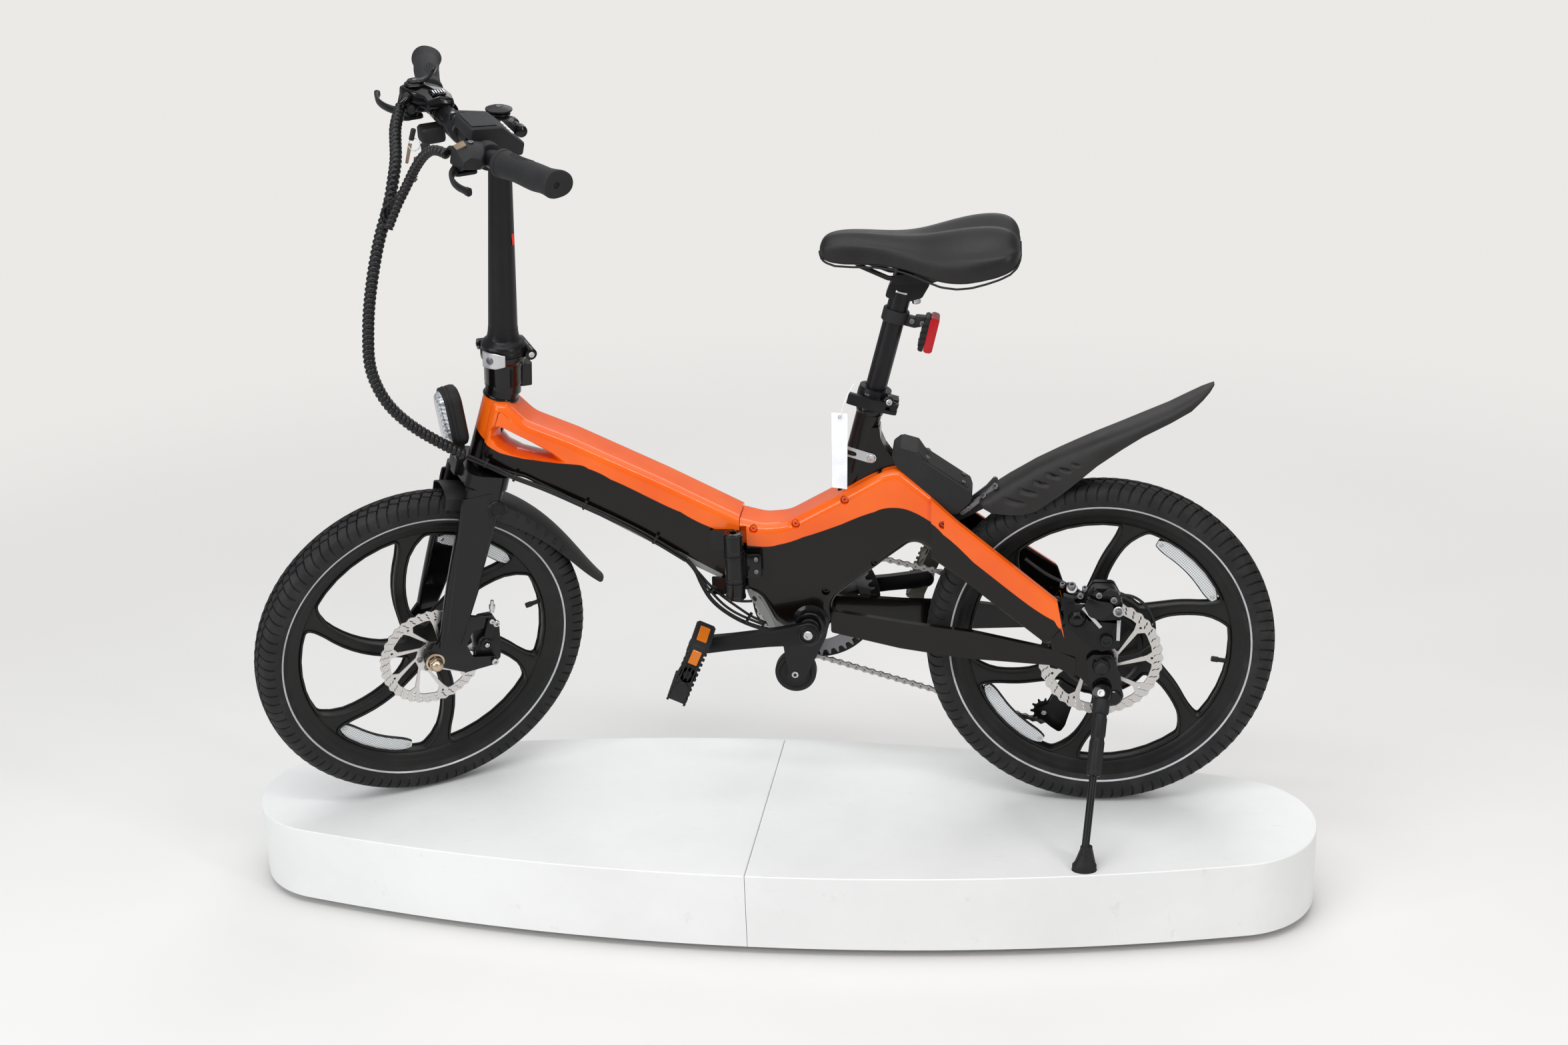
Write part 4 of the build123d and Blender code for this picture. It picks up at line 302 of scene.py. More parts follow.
M = dict(orange_front=frame_paint("front_paint", FRONT_EDGE), orange_rear=frame_paint("rear_paint", REAR_EDGE,
    True), gloss=gloss_black(), satin=satin_black(), cast=satin_black("cast_black", (0.009, 0.0085, 0.008), 0.3,
    0.44), matte=matte_plastic("matte_plastic", (0.010, 0.010, 0.011)), guard=matte_plastic("guard_plastic",
    (0.017, 0.0155, 0.015), 0.42, 0.56, 1100, 0.2), box=matte_plastic("box_plastic", (0.013, 0.013, 0.0135),
    0.6, 0.72, 800, 0.5), steel=steel(), dark_steel=steel("dark_steel", (0.24, 0.24, 0.25), 0.4),
    champagne=steel("champagne_cap", (0.62, 0.50, 0.36), 0.3), laminate=laminate(),
    dark_board=matte_plastic("dark_board", (0.02, 0.018, 0.018), 0.6, 0.8, 300, 0.3), tyre=tyre_rubber(),
    cable=cable_black(), grip=matte_plastic("grip_rubber", (0.013, 0.013, 0.014), 0.6, 0.75, 1300, 0.4),
    red_lens=gloss_black("red_lens", (0.42, 0.006, 0.012)), amber=gloss_black("amber_reflector",
    (0.62, 0.16, 0.01)), clear=clear_lens(), card=matte_plastic("white_card", (0.80, 0.82, 0.86), 0.5, 0.6, 600,
    0.1), tag=matte_plastic("brown_tag", (0.10, 0.032, 0.030), 0.45, 0.6, 600, 0.2),
    bronze=satin_black("bronze_facet", (0.20, 0.145, 0.095)), olive=matte_plastic("olive_resin", (0.085, 0.085,
    0.062)), red_mark=satin_black("red_mark", (0.80, 0.03, 0.02)), mesh=prism_mesh(),
    vinyl=matte_plastic("saddle_vinyl", (0.011, 0.0105, 0.0105), 0.36, 0.5, 900, 0.35), )

# every CAD node that isn't satin black
LOOKS = {
    # The plinth's recessed base boards get the near-black board look, which is painted shade.
    "laminate": "plinth_front_half plinth_rear_half", "dark_board": "plinth_base_boards",
    "orange_front": "front_spine", "orange_rear": "rear_spine rear_stays", "box": "controller_box",
    "guard": "rear_mudguard front_mudguard", "vinyl": "saddle", "grip": "grips", "tyre": "front_tyre rear_tyre",
    "steel": "front_rotor rear_rotor front_axle", "dark_steel": "chain freewheel_sprocket rear_axle",
    "cast": "front_cast_wheel rear_cast_wheel", "cable": "frame_harness hinge_harness bar_harness",
    "gloss": "stem_base fork_crown fork_blades bottom_bracket hinge_front_leaf hinge_rear_leaf "
             "hinge_latch_lever",
    "matte": "left_pedal right_pedal display_unit bar_controls shifter_lever guide_pulley tension_pulley "
             "support_wheel headlight"}
look_of = {name: look for look, names in LOOKS.items() for name in names.split()}

for name, node in nodes.items():
    node.data.materials.clear()
    node.data.materials.append(M[look_of.get(name, "satin")])


# ---------------------------------------------------------------- mesh helpers
def turn_of(body):
    return STEER if body in STEERED else STILL


def piece(name, bm, look, body, smooth=35, hides=(), turn=None):
    """A mesh in the row frame that rides on a body and may stand for CAD nodes."""
    bm.transform(turn or turn_of(body))
    bmesh.ops.recalc_face_normals(bm, faces=bm.faces)
    mesh = bpy.data.meshes.new(name)
    bm.to_mesh(mesh)
    bm.free()
    return mesh_object(name, mesh, look, body, smooth, hides)


def mesh_object(name, mesh, look, body, smooth=35, hides=()):
    mesh.materials.clear()
    mesh.materials.append(M[look])
    if smooth:
        mesh.shade_smooth()
        mesh.set_sharp_from_angle(angle=radians(smooth))
    obj = bpy.data.objects.new(name, mesh)
    bpy.context.scene.collection.objects.link(obj)
    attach(obj, body)
    if hides:
        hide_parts(*hides)
    return obj


def basis(axis):
    """Two unit vectors square to axis."""
    axis = Vector(axis).normalized()
    one = axis.cross(Vector((0, 1, 0) if abs(axis.y) < 0.9 else (1, 0, 0))).normalized()
    return one, axis.cross(one)


def spin(bm, start, axis, profile, steps=48, hexed=(), capped=False):
    """Spin (radius, along) points round an axis, in millimetres; rows in hexed become hexagons."""
    axis, origin = Vector(axis).normalized(), place(*start)
    out = basis(axis)[0]
    part = bmesh.new()
    line = [part.verts.new(origin + (axis * along + out * radius) / 1000) for radius, along in profile]
    edges = [part.edges.new(pair) for pair in zip(line, line[1:])]
    bmesh.ops.spin(part, geom=line + edges, cent=origin, axis=axis, angle=2 * pi, steps=steps, use_merge=True)
    made = list(part.verts)[len(line):]
    rings = [[vert, *made[row::len(line)]] for row, vert in enumerate(line)]
    for row in hexed:
        middle = origin + axis * profile[row][1] / 1000
        for step, vert in enumerate(rings[row]):
            flat = cos(pi / 6) / cos(2 * pi * step / steps % (pi / 3) - pi / 6)
            vert.co = middle + (vert.co - middle) * flat
    if capped:
        cap_ends(part, rings)
    mesh = bpy.data.meshes.new("turned")
    part.to_mesh(mesh)
    part.free()
    bm.from_mesh(mesh)
    bpy.data.meshes.remove(mesh)
    return bm


def cap_ends(bm, rings):
    bm.faces.new(rings[0])
    bm.faces.new(rings[-1])


def lathe(name, look, body, start, axis, profile, steps=48, capped=True, smooth=35, hides=(), turn=None):
    bm = spin(bmesh.new(), start, axis, profile, steps, capped=capped)
    return piece(name, bm, look, body, smooth, hides, turn)


def band(inner, outer, width, lip=0.6, edge=0.8):
    """The profile of a ring whose two outer edges are chamfered."""
    return [(inner, 0), (outer - lip, 0), (outer, edge), (outer, width - edge), (outer - lip, width),
            (inner, width)]


def bolts(name, look, body, spots):
    """Socket screws: (place, axis, head radius, head height) each, with a hexagon recess."""
    bm = bmesh.new()
    for spot, axis, radius, height in spots:
        edge = radius * 0.14
        profile = [(radius, 0), (radius, height - edge), (radius - edge, height), (radius * 0.56, height),
                   (radius * 0.5, height - edge), (radius * 0.5, height * 0.35), (0.01, height * 0.3)]
        spin(bm, spot, axis, profile, 24, hexed=(3, 4, 5))
    return piece(name, bm, look, body, 30)


def arc_corner(before, corner, after, radius, steps=5):
    """The points of a rounded corner between two straight runs, in the plane of the three."""
    a, b = before - corner, after - corner
    angle = a.angle(b)
    reach = min(radius / math.tan(angle / 2), a.length * 0.49, b.length * 0.49)
    r = reach * math.tan(angle / 2)
    start, end = corner + a.normalized() * reach, corner + b.normalized() * reach
    centre = corner + (a.normalized() + b.normalized()).normalized() * (r / sin(angle / 2))
    u, v = start - centre, end - centre
    out = []
    for step in range(steps + 1):
        t = step / steps
        w = u.slerp(v, t) if u.angle(v) > 1e-4 else u
        out.append(centre + w.normalized() * r)
    return out


def rounded(points, radius, steps=5):
    """A closed outline with every corner rounded."""
    spots = [Vector(p) for p in points]
    out = []
    for index, corner in enumerate(spots):
        r = radius[index] if isinstance(radius, (list, tuple)) else radius
        if r <= 0:
            out.append(corner)
        else:
            out.extend(arc_corner(spots[index - 1], corner, spots[(index + 1) % len(spots)], r, steps))
    return out


def prism(bm, outline, push, bevel=0.8, segments=2):
    """A flat outline pushed along a vector, its two rims bevelled."""
    low, high = ([bm.verts.new(place(*(Vector(p) + Vector(push) * end))) for p in outline] for end in (0, 1))
    rims = [bm.faces.new(low), bm.faces.new(high[::-1])]
    join_rings(bm, (low, high))
    if bevel:
        edges = list({edge for rim in rims for edge in rim.edges})
        bmesh.ops.bevel(bm, geom=edges, offset=bevel / 1000, segments=segments, profile=0.5, affect="EDGES",
                        clamp_overlap=True)
    return bm


def slab(bm, points, y, depth, corner=0, bevel=0.8, segments=2):
    """A plate that stands in the side plane: (x, z) points at y, rounded and pushed across by depth."""
    outline = side_outline(points, y)
    return prism(bm, rounded(outline, corner) if corner else outline, (0, depth, 0), bevel, segments)


def side_outline(points, y):
    """(x, z) points of a side view at this y."""
    return [(x, y, z) for x, z in points]


def curve_points(points):
    """The points of the smooth spline that follows a route."""
    data = bpy.data.curves.new("route", "CURVE")
    data.dimensions, data.resolution_u = "3D", 10
    spline = data.splines.new("NURBS")
    spline.points.add(len(points) - 1)
    for slot, point in zip(spline.points, points):
        slot.co = (*place(*point), 1)
    spline.order_u = 3
    spline.use_endpoint_u = True
    holder = bpy.data.objects.new("route", data)
    mesh = bpy.data.meshes.new_from_object(holder)
    line = [vert.co.copy() for vert in mesh.vertices]
    bpy.data.objects.remove(holder)
    bpy.data.meshes.remove(mesh)
    bpy.data.curves.remove(data)
    return line


def resample(line, gap):
    """Points along a polyline at an even gap, in metres."""
    out, carry = [line[0]], 0.0
    for a, b in zip(line, line[1:]):
        run = (b - a).length
        while carry + run >= gap:
            a = a.lerp(b, (gap - carry) / run)
            out.append(a)
            run = (b - a).length
            carry = 0.0
        carry += run
    if (out[-1] - line[-1]).length > gap * 0.3:
        out.append(line[-1])
    return out


def join_rings(bm, rings):
    for low, high in zip(rings, rings[1:]):
        for step in range(len(low)):
            bm.faces.new((low[step], low[step - 1], high[step - 1], high[step]))


def sweep(bm, line, radius_at, sides=16, closed_ends=True):
    """A tube along points; radius_at(length along, angle) gives its radius in millimetres."""
    tangents = [(line[min(i + 1, len(line) - 1)] - line[max(i - 1, 0)]).normalized() for i in range(len(line))]
    one, _ = basis(tangents[0])
    rings, run = [], 0.0
    for index, (spot, tangent) in enumerate(zip(line, tangents)):
        if index:
            run += (spot - line[index - 1]).length
        one = (one - tangent * one.dot(tangent)).normalized()
        two = tangent.cross(one)
        ring = []
        for step in range(sides):
            angle = 2 * pi * step / sides
            r = radius_at(run, angle) / 1000
            ring.append(bm.verts.new(spot + (one * cos(angle) + two * sin(angle)) * r))
        rings.append(ring)
    join_rings(bm, rings)
    if closed_ends:
        cap_ends(bm, rings)
    return bm


def wire(name, look, body, points, radius, turn=None):
    """A smooth round cord or bent rod through its route, radius in millimetres."""
    bm = sweep(bmesh.new(), resample(curve_points(points), 0.004), lambda run, angle: radius, 10)
    return piece(name, bm, look, body, 60, turn=turn)


def filled(name, look, body, loops, thickness, lift, bevel=0.15, hides=(), resolution=1):
    """A flat plate with holes: loops of (x, z) points, the outer one first, standing in the side plane."""
    data = bpy.data.curves.new(name, "CURVE")
    data.dimensions, data.fill_mode = "2D", "BOTH"
    data.extrude, data.bevel_depth, data.bevel_resolution = thickness / 2000, bevel / 1000, resolution
    data.offset = -bevel / 1000
    for loop in loops:
        spline = data.splines.new("POLY")
        spline.points.add(len(loop) - 1)
        spline.use_cyclic_u = True
        for slot, (x, z) in zip(spline.points, loop):
            slot.co = (x / 1000, z / 1000, 0, 1)
    holder = bpy.data.objects.new(name, data)
    mesh = bpy.data.meshes.new_from_object(holder)
    bpy.data.objects.remove(holder)
    bpy.data.curves.remove(data)
    upright = Matrix.Translation((0, lift / 1000, PLINTH_TOP / 1000)) @ Matrix.Rotation(pi / 2, 4, "X")
    mesh.transform(turn_of(body) @ upright)
    return mesh_object(name, mesh, look, body, 30, hides)


def loft(bm, rings, capped=True):
    """Closed outlines in millimetres joined one after another; the first and last are filled."""
    rows = [[bm.verts.new(place(*p)) for p in ring] for ring in rings]
    join_rings(bm, rows)
    if capped:
        cap_ends(bm, rows)
    return bm


def skin(name, look, body, rings, smooth=35, hides=()):
    return piece(name, loft(bmesh.new(), rings), look, body, smooth, hides)


def stadium(centre, long_axis, wide_axis, length, width, steps=14):
    """A slot outline round centre: overall length along one unit vector, width along the other."""
    centre, long_axis, wide_axis = Vector(centre), Vector(long_axis), Vector(wide_axis)
    r = width / 2
    out = []
    for end, first in ((1, -pi / 2), (-1, pi / 2)):
        for step in range(steps + 1):
            a = first + pi * step / steps
            out.append(centre + long_axis * (end * (length / 2 - r) + r * cos(a)) + wide_axis * r * sin(a))
    return out


def oblong(centre, one, two, half_one, half_two, radius, steps=4):
    """A rounded rectangle in the plane of two unit vectors."""
    centre, one, two = Vector(centre), Vector(one), Vector(two)
    corners = [centre + one * a * half_one + two * b * half_two for a, b in ((1, 1), (-1, 1), (-1, -1),
        (1, -1))]
    return rounded(corners, radius, steps)


def strap_into(bm, line, half_width, half_depth, across, sides=14):
    """A flattened bar along millimetre points: half_width(t) lies along the vector across."""
    line, across = [Vector(p) for p in line], Vector(across)
    count = len(line) - 1
    rings = []
    for index, spot in enumerate(line):
        t = index / count
        along = (line[min(index + 1, count)] - line[max(index - 1, 0)]).normalized()
        wide = (across - along * along.dot(across)).normalized()
        deep = along.cross(wide)
        ring = []
        for step in range(sides):
            a = 2 * pi * step / sides
            c, s = cos(a), sin(a)
            power = 0.7
            ring.append(spot + wide * half_width(t) * math.copysign(abs(c) ** power, c)
                        + deep * half_depth(t) * math.copysign(abs(s) ** power, s))
        rings.append(ring)
    loft(bm, rings)


def spline_mm(points):
    """A smooth route through millimetre points, back in millimetres."""
    return [(v.x * 1000, v.y * 1000, v.z * 1000 - PLINTH_TOP) for v in resample(curve_points(points), 0.003)]


# ---------------------------------------------------------------- wheels
TYRE_PITCHES = 98
# share of one pitch, 1 inside the groove that cuts the blocks
TREAD_COLUMNS = ((0.0, 0), (0.03, 1), (0.17, 1), (0.20, 0), (0.46, 0), (0.73, 0))
# across, radius, what happens there
TYRE_ROWS = ((14.5, 209.2, "bead"), (17.6, 210.6, "bead"), (19.0, 213.6, "side"), (21.6, 216.6, "side"),
    (22.9, 219.6, "side"), (24.6, 224.5, "side"), (25.6, 230.0, "side"), (25.9, 233.0, "sipe"),
    (25.6, 238.0, "sipe"), (24.6, 241.4, "sipe"), (22.8, 245.0, "sipe"), (22.2, 245.8, "rib"),
    (20.6, 247.4, "block"), (17.2, 249.9, "block"), (13.4, 251.7, "block"), (12.6, 252.0, "zig_top"),
    (12.2, 252.1, "zig_low"), (10.4, 252.7, "zig_low"), (10.0, 252.8, "zig_top"), (6.6, 253.5, "block"),
    (3.4, 253.8, "block"), (2.6, 253.85, "zag_top"), (2.2, 253.9, "zag_low"))


def tyre_piece(name, axle, body):
    """The tyre with its tread: blocks cut by slanted grooves, two zigzag ribs and shoulder sipes."""
    bm = bmesh.new()
    rows = [(-y, r, kind) for y, r, kind in TYRE_ROWS] + list(reversed(TYRE_ROWS))
    rings = []
    for y, radius, kind in rows:
        ring = []
        for pitch in range(TYRE_PITCHES):
            for part, cut in TREAD_COLUMNS:
                slant = 0.5 * (abs(y) / 14) + (0.5 if y > 0 else 0)
                weave = 1.1 * (1 if 0.1 < part < 0.6 else -1)
                r, across = radius, y
                if kind[:3] in ("zig", "zag"):
                    across = y + (weave if y > 0 else -weave)
                if kind in ("zig_low", "zag_low"):
                    r -= 2.2
                elif cut and kind == "block":
                    r -= 3.2
                elif cut and kind in ("sipe", "rib"):
                    r -= 2.4 if kind == "sipe" else 1.8
                    across *= 0.945 if kind == "sipe" else 0.98
                angle = 2 * pi * (pitch + part + slant) / TYRE_PITCHES
                ring.append(bm.verts.new(place(axle[0] + r * cos(angle), across, axle[1] + r * sin(angle))))
        rings.append(ring)
    join_rings(bm, rings + rings[:1])
    piece(name, bm, "tyre", body, 25, hides=(body.replace("wheel", "tyre"),))
    for sign, side in SIDES:
        for part, look, steps, profile in (
                ("stripe", "stripe", 120, [(217.2, 22.0), (217.6, 22.9), (219.4, 23.7), (219.9, 23.0)]),
                ("bead", "tyre", 96, [(211.2, 17.4), (211.7, 18.3), (212.8, 18.6), (213.4, 18.0)])):
            lathe(f"{name}_{part}_{side}", look, body, (axle[0], 0, axle[1]), (0, sign, 0), profile, steps,
                  capped=False, smooth=60)


def swirl(axle, radius, angle):
    return (axle[0] + radius * cos(angle), axle[1] + radius * sin(angle))


SPOKE_WIDTH = 16


def spoke_angle(end, radius):
    """A spoke's middle line: 18 degrees of lag where the swirl is widest, none at the rim."""
    return radians(end) + radians(18) * max(0.0, (188 - radius) / 99)


def window_loop(axle, end, hub_r):
    """One opening between two spokes, as a rounded loop."""
    inner, outer = hub_r + 6, 189
    radii = [inner + (outer - inner) * t / 10 for t in range(11)]
    spokes = []
    for side, start in ((1, end), (-1, end + 60)):
        line = []
        for r in radii:
            flare = 1 + 1.5 * max(0, (r - 150) / 39) ** 2.2 + 0.7 * max(0, (hub_r + 42 - r) / 36) ** 2
            lean = spoke_angle(start, r) + side * SPOKE_WIDTH / 2 * flare / r
            line.append(swirl(axle, r, lean))
        spokes.append(line)
    left, right = spokes

    def arc(start, end, radius, count):
        first, last = (atan2(z - axle[1], x - axle[0]) for x, z in (start, end))
        swing = (last - first) % (2 * pi)
        return [swirl(axle, radius, first + swing * t / count) for t in range(1, count)]

    loop = left + arc(left[-1], right[-1], outer, 6) + right[::-1] + arc(left[0], right[0], inner, 4)[::-1]
    radius = [0] * len(loop)
    for index, r in ((0, 9), (10, 14), (16, 14), (26, 9)):
        radius[index] = r
    return [(p.x, p.z) for p in rounded([(x, 0, z) for x, z in loop], radius, 6)]


def circle_loop(axle, radius, steps=96, wobble=0.0, waves=0):
    return [swirl(axle, radius + wobble * cos(waves * 2 * pi * s / steps), 2 * pi * s / steps)
        for s in range(steps)]


def cast_wheel(name, axle, body, end, hub_r, disc_r, node):
    """Six swept spokes with raised edges, joined to a deep rim."""
    windows = [window_loop(axle, end + 60 * k, hub_r) for k in range(6)]
    loops = [circle_loop(axle, 206, 144), *windows]
    if disc_r:
        loops.append(circle_loop(axle, disc_r, 64))
    filled(name, "cast", body, loops, 11, 0, 2.2, hides=(node,), resolution=2)
    edges = bmesh.new()
    for loop in windows:
        for lift in (-9.0, 9.0):
            line = [place(x, lift, z) for x, z in loop]
            sweep(edges, resample(line + [line[0]], 0.004), lambda run, angle: 1.9, 8, closed_ends=False)
    piece(f"{name}_ribs", edges, "cast", body, 60)
    half = [(190.6, -8), (189.6, -4), (189.3, 0), (189.6, 4), (190.6, 8), (194, 11.5), (199, 12.4), (202, 14.4),
            (206, 16.2), (210.5, 17.6), (211.6, 16.4), (209, 14)]
    rim = half + [(r, -run) for r, run in half[:3:-1]]
    lathe(f"{name}_rim", "cast", body, (axle[0], 0, axle[1]), RIGHT, rim, 160, capped=False, smooth=40)


def rotor(name, axle, body, y, outer, node):
    """Drilled and waved brake disc with nine forked arms."""
    band, ring, arms, waves = outer - 16, 25, 9, 36
    lean, pitch = radians(24), 2 * pi / arms
    gap_in, gap_out = 2.1 / ring, 2.1 / band
    loops = [circle_loop(axle, outer - 1.2, 252, 1.2, waves)]
    for start in (pitch * k for k in range(arms)):
        window = [swirl(axle, r, a) for r, a in ((band, start + gap_out + 0.10),
            (band + 0.4, start + pitch * 0.35), (band + 0.4, start + pitch * 0.7),
            (band, start + pitch - gap_out - 0.10), (band - 9, start + pitch - gap_out - 0.03),
            (ring + 1, start - lean + pitch - gap_in), (ring, start - lean + pitch / 2),
            (ring + 1, start - lean + gap_in), (band - 9, start + gap_out + 0.03))]
        loops.append([(p.x, p.z) for p in rounded([(x, 0, z) for x, z in window], 1.6, 3)])
        loops.append([swirl(swirl(axle, band - 0.5, start), 2.0, s * pi / 4) for s in range(8)])
    slots = round(outer * 0.47)
    for k in range(slots):
        a = 2 * pi * (k + 0.5) / slots
        for shift, r in ((-0.012, outer - 11.4), (0.016, outer - 5.9)):
            c = swirl(axle, r, a + shift)
            tilt = a + radians(38)
            u, v = (cos(tilt), sin(tilt)), (-sin(tilt), cos(tilt))
            loops.append([(c[0] + u[0] * p * 2.6 + v[0] * q, c[1] + u[1] * p * 2.6 + v[1] * q)
                          for p, q in ((-1, -0.75), (1, -0.75), (1.15, 0), (1, 0.75), (-1, 0.75), (-1.15, 0))])
    loops.append(circle_loop(axle, 13, 32))
    filled(name, "disc", body, loops, 1.9, y, 0.12, hides=(node,), resolution=0)
    spots = [swirl(axle, 19, k * pi / 3) for k in range(6)]
    bolts(f"{name}_bolts", "dark_steel", body, [((x, y - 1, z), LEFT, 4.2, 2.4) for x, z in spots])


M["stripe"] = matte_plastic("reflective_stripe", (0.46, 0.46, 0.47), 0.35, 0.45, 1800, 0.15)


def disc_steel():
    shade = Shade("disc_steel", (0.66, 0.64, 0.62), 0.3, metallic=1)
    turned_marks = shade.noise(240, 3, 0.7)
    shade.set("Roughness", turned_marks * 0.2 + 0.24)
    shade.set("Base Color", shade.mix(turned_marks, (0.52, 0.5, 0.48), (0.72, 0.7, 0.68)))
    shade.bump(turned_marks, 0.08, 0.0002)
    return shade.mat


M["disc"] = disc_steel()
tyre_piece("front_tyre_tread", FRONT_AXLE, "front_wheel")
tyre_piece("rear_tyre_tread", REAR_AXLE, "rear_wheel")
cast_wheel("front_wheel_casting", FRONT_AXLE, "front_wheel", 91, 27, 0, "front_cast_wheel")
cast_wheel("rear_wheel_casting", REAR_AXLE, "rear_wheel", 75, 74, 62, "rear_cast_wheel")
rotor("front_disc", FRONT_AXLE, "front_wheel", -45, 80, "front_rotor")
rotor("rear_disc", REAR_AXLE, "rear_wheel", -57, 90, "rear_rotor")


# ---------------------------------------------------------------- cords
BAR_HARNESS = [(-464, -9, 1060), (-468, -34, 1041), (-462, -62, 1021), (-456, -87, 1001), (-457, -107, 977),
               (-463, -119, 944), (-479, -124, 903), (-492, -127, 856), (-503, -128, 807), (-509, -126, 768),
               (-514, -122, 723), (-509, -115, 688), (-497, -105, 655), (-476, -92, 625), (-446, -75, 595),
               (-409, -56, 566)]
LEFT_BRANCH = [(-357, -190, 1026), (-373, -178, 1032), (-393, -163, 1024), (-413, -148, 1002),
    (-431, -138, 974), (-449, -137, 945), (-461, -141, 918)]
FRAME_HARNESS = [(-405, -54.6, 563), (-380, -48, 549), (-340, -45, 527), (-295, -44.5, 510), (-240, -44.3, 483),
                 (-190, -44.5, 458), (-140, -44.3, 430), (-95, -44.5, 400)]
HINGE_HARNESS = [(-94, -44.6, 399), (-82, -45.5, 387), (-74, -46, 362), (-60, -45, 334), (-31, -41, 308),
                 (2, -35, 289), (22, -28, 281)]


def run_length(line):
    return sum((b - a).length for a, b in zip(line, line[1:]))


def wrapped(name, points, core, bead, pitch, hides=()):
    """Cables under a spiral wrap: a tube whose surface coils in rounded beads."""
    line = resample(curve_points(points), 0.001)
    bm = bmesh.new()

    def radius_at(run, angle):
        part = (run * 1000 / pitch - angle / (2 * pi)) % 1
        return core + bead * max(0.0, 1 - (2 * part - 1) ** 2) ** 0.5 if run else core * 0.8

    sweep(bm, line, radius_at, 24)
    return piece(name, bm, "wrap", "handlepost", 60, hides, STILL), line


M["wrap"] = cable_black()
M["wrap"].name = "spiral_wrap"
harness, harness_line = wrapped("bar_harness_wrap", BAR_HARNESS, 5.2, 3.4, 7.5, hides=("bar_harness",))
branch, _ = wrapped("left_branch_wrap", LEFT_BRANCH, 4.2, 2.9, 7.0)
place(*BAR_HARNESS[0])
run_length(harness_line)


def bundle(name, points, strands, spread, radius, body, hides=()):
    """Thin cables side by side along one route."""
    line = resample(curve_points(points), 0.006)
    bm = bmesh.new()
    tangents = [(line[min(i + 1, len(line) - 1)] - line[max(i - 1, 0)]).normalized() for i in range(len(line))]
    for strand in range(strands):
        angle = 2 * pi * strand / strands + 0.4
        path = []
        for index, (spot, tangent) in enumerate(zip(line, tangents)):
            one, two = basis(tangent)
            sway = angle + 0.5 * sin(index * 0.11 + strand)
            path.append(spot + (one * cos(sway) + two * sin(sway)) * spread / 1000)
        sweep(bm, path, lambda run, turn: radius, 8)
    return piece(name, bm, "cable", body, 60, hides), line


frame_bundle, frame_line = bundle("frame_cables", FRAME_HARNESS, 4, 2.7, 2.2, "front_frame",
    hides=("frame_harness",))
place(*FRAME_HARNESS[0])
run_length(frame_line)
hinge_bundle, hinge_line = bundle("hinge_cables", HINGE_HARNESS, 3, 1.9, 1.9, "rear_frame",
    hides=("hinge_harness",))
place(*HINGE_HARNESS[0])
run_length(hinge_line)


def zip_tie(name, spot, axis, radius, body):
    """A narrow nylon tie with its square head."""
    axis = Vector(axis).normalized()
    bm = bmesh.new()
    spin(bm, spot, axis, [(radius, -1.6), (radius + 1.1, -1.6), (radius + 1.1, 1.6), (radius, 1.6)], 28)
    one, two = basis(axis)
    low = Vector(spot) + one * (radius + 0.4)
    outline = [low + two * a + axis * b for a, b in ((-2.2, -2.2), (2.2, -2.2), (2.2, 2.2), (-2.2, 2.2))]
    prism(bm, outline, one * 3.2, 0.4)
    piece(name, bm, "matte", body, 30)


for index in range(3):
    spot, nxt = FRAME_HARNESS[2 * index + 2:2 * index + 4]
    zip_tie(f"frame_tie_{index}", spot, [b - a for a, b in zip(spot, nxt)], 5.2, "front_frame")
zip_tie("head_tie", (-380, -48, 549), (40, 3, -22), 5.2, "front_frame")


# ---------------------------------------------------------------- saddle and seatpost
SEAT = radians(74.5)
SEAT_TOP = (182, 0, 640)
seat_up = Vector((cos(SEAT), 0, sin(SEAT)))


def seat_spot(along, out=0.0, across=0.0):
    """A point by the seatpost: along it from the tube's top, out to the rear, across to the right."""
    x, _, z = SEAT_TOP
    return (x + along * cos(SEAT) + out * sin(SEAT), across, z + along * sin(SEAT) - out * cos(SEAT))


# x, half width, crown z at the middle, top z of the lobes, lobe offset, rim z, lower rim half width
SADDLE_STATIONS = ((109.6, 5, 851, 852, 2, 846, 3), (112, 14, 860, 861, 5, 839, 11), (118, 20, 868, 869, 8, 834,
    17), (132, 24, 873.5, 874, 9, 830, 22), (155, 27, 875, 876, 10, 829, 25), (185, 30, 873, 874.5, 12, 829,
    28), (212, 35, 870, 873, 15, 827, 33), (236, 44, 868, 874, 20, 822, 42), (258, 55, 867, 878, 27, 815, 53),
    (280, 67, 867, 884, 35, 809, 64), (302, 76, 867, 890, 41, 808, 72), (322, 81.5, 867, 894, 45, 811, 77),
    (342, 84, 867, 896, 47, 817, 80), (360, 83, 866, 895, 48, 823, 80), (374, 79, 863, 890, 48, 829, 76),
    (383, 70, 858, 880, 46, 836, 68), (387, 56, 854, 868, 40, 843, 54), (388.3, 40, 851, 858, 30, 847, 39))


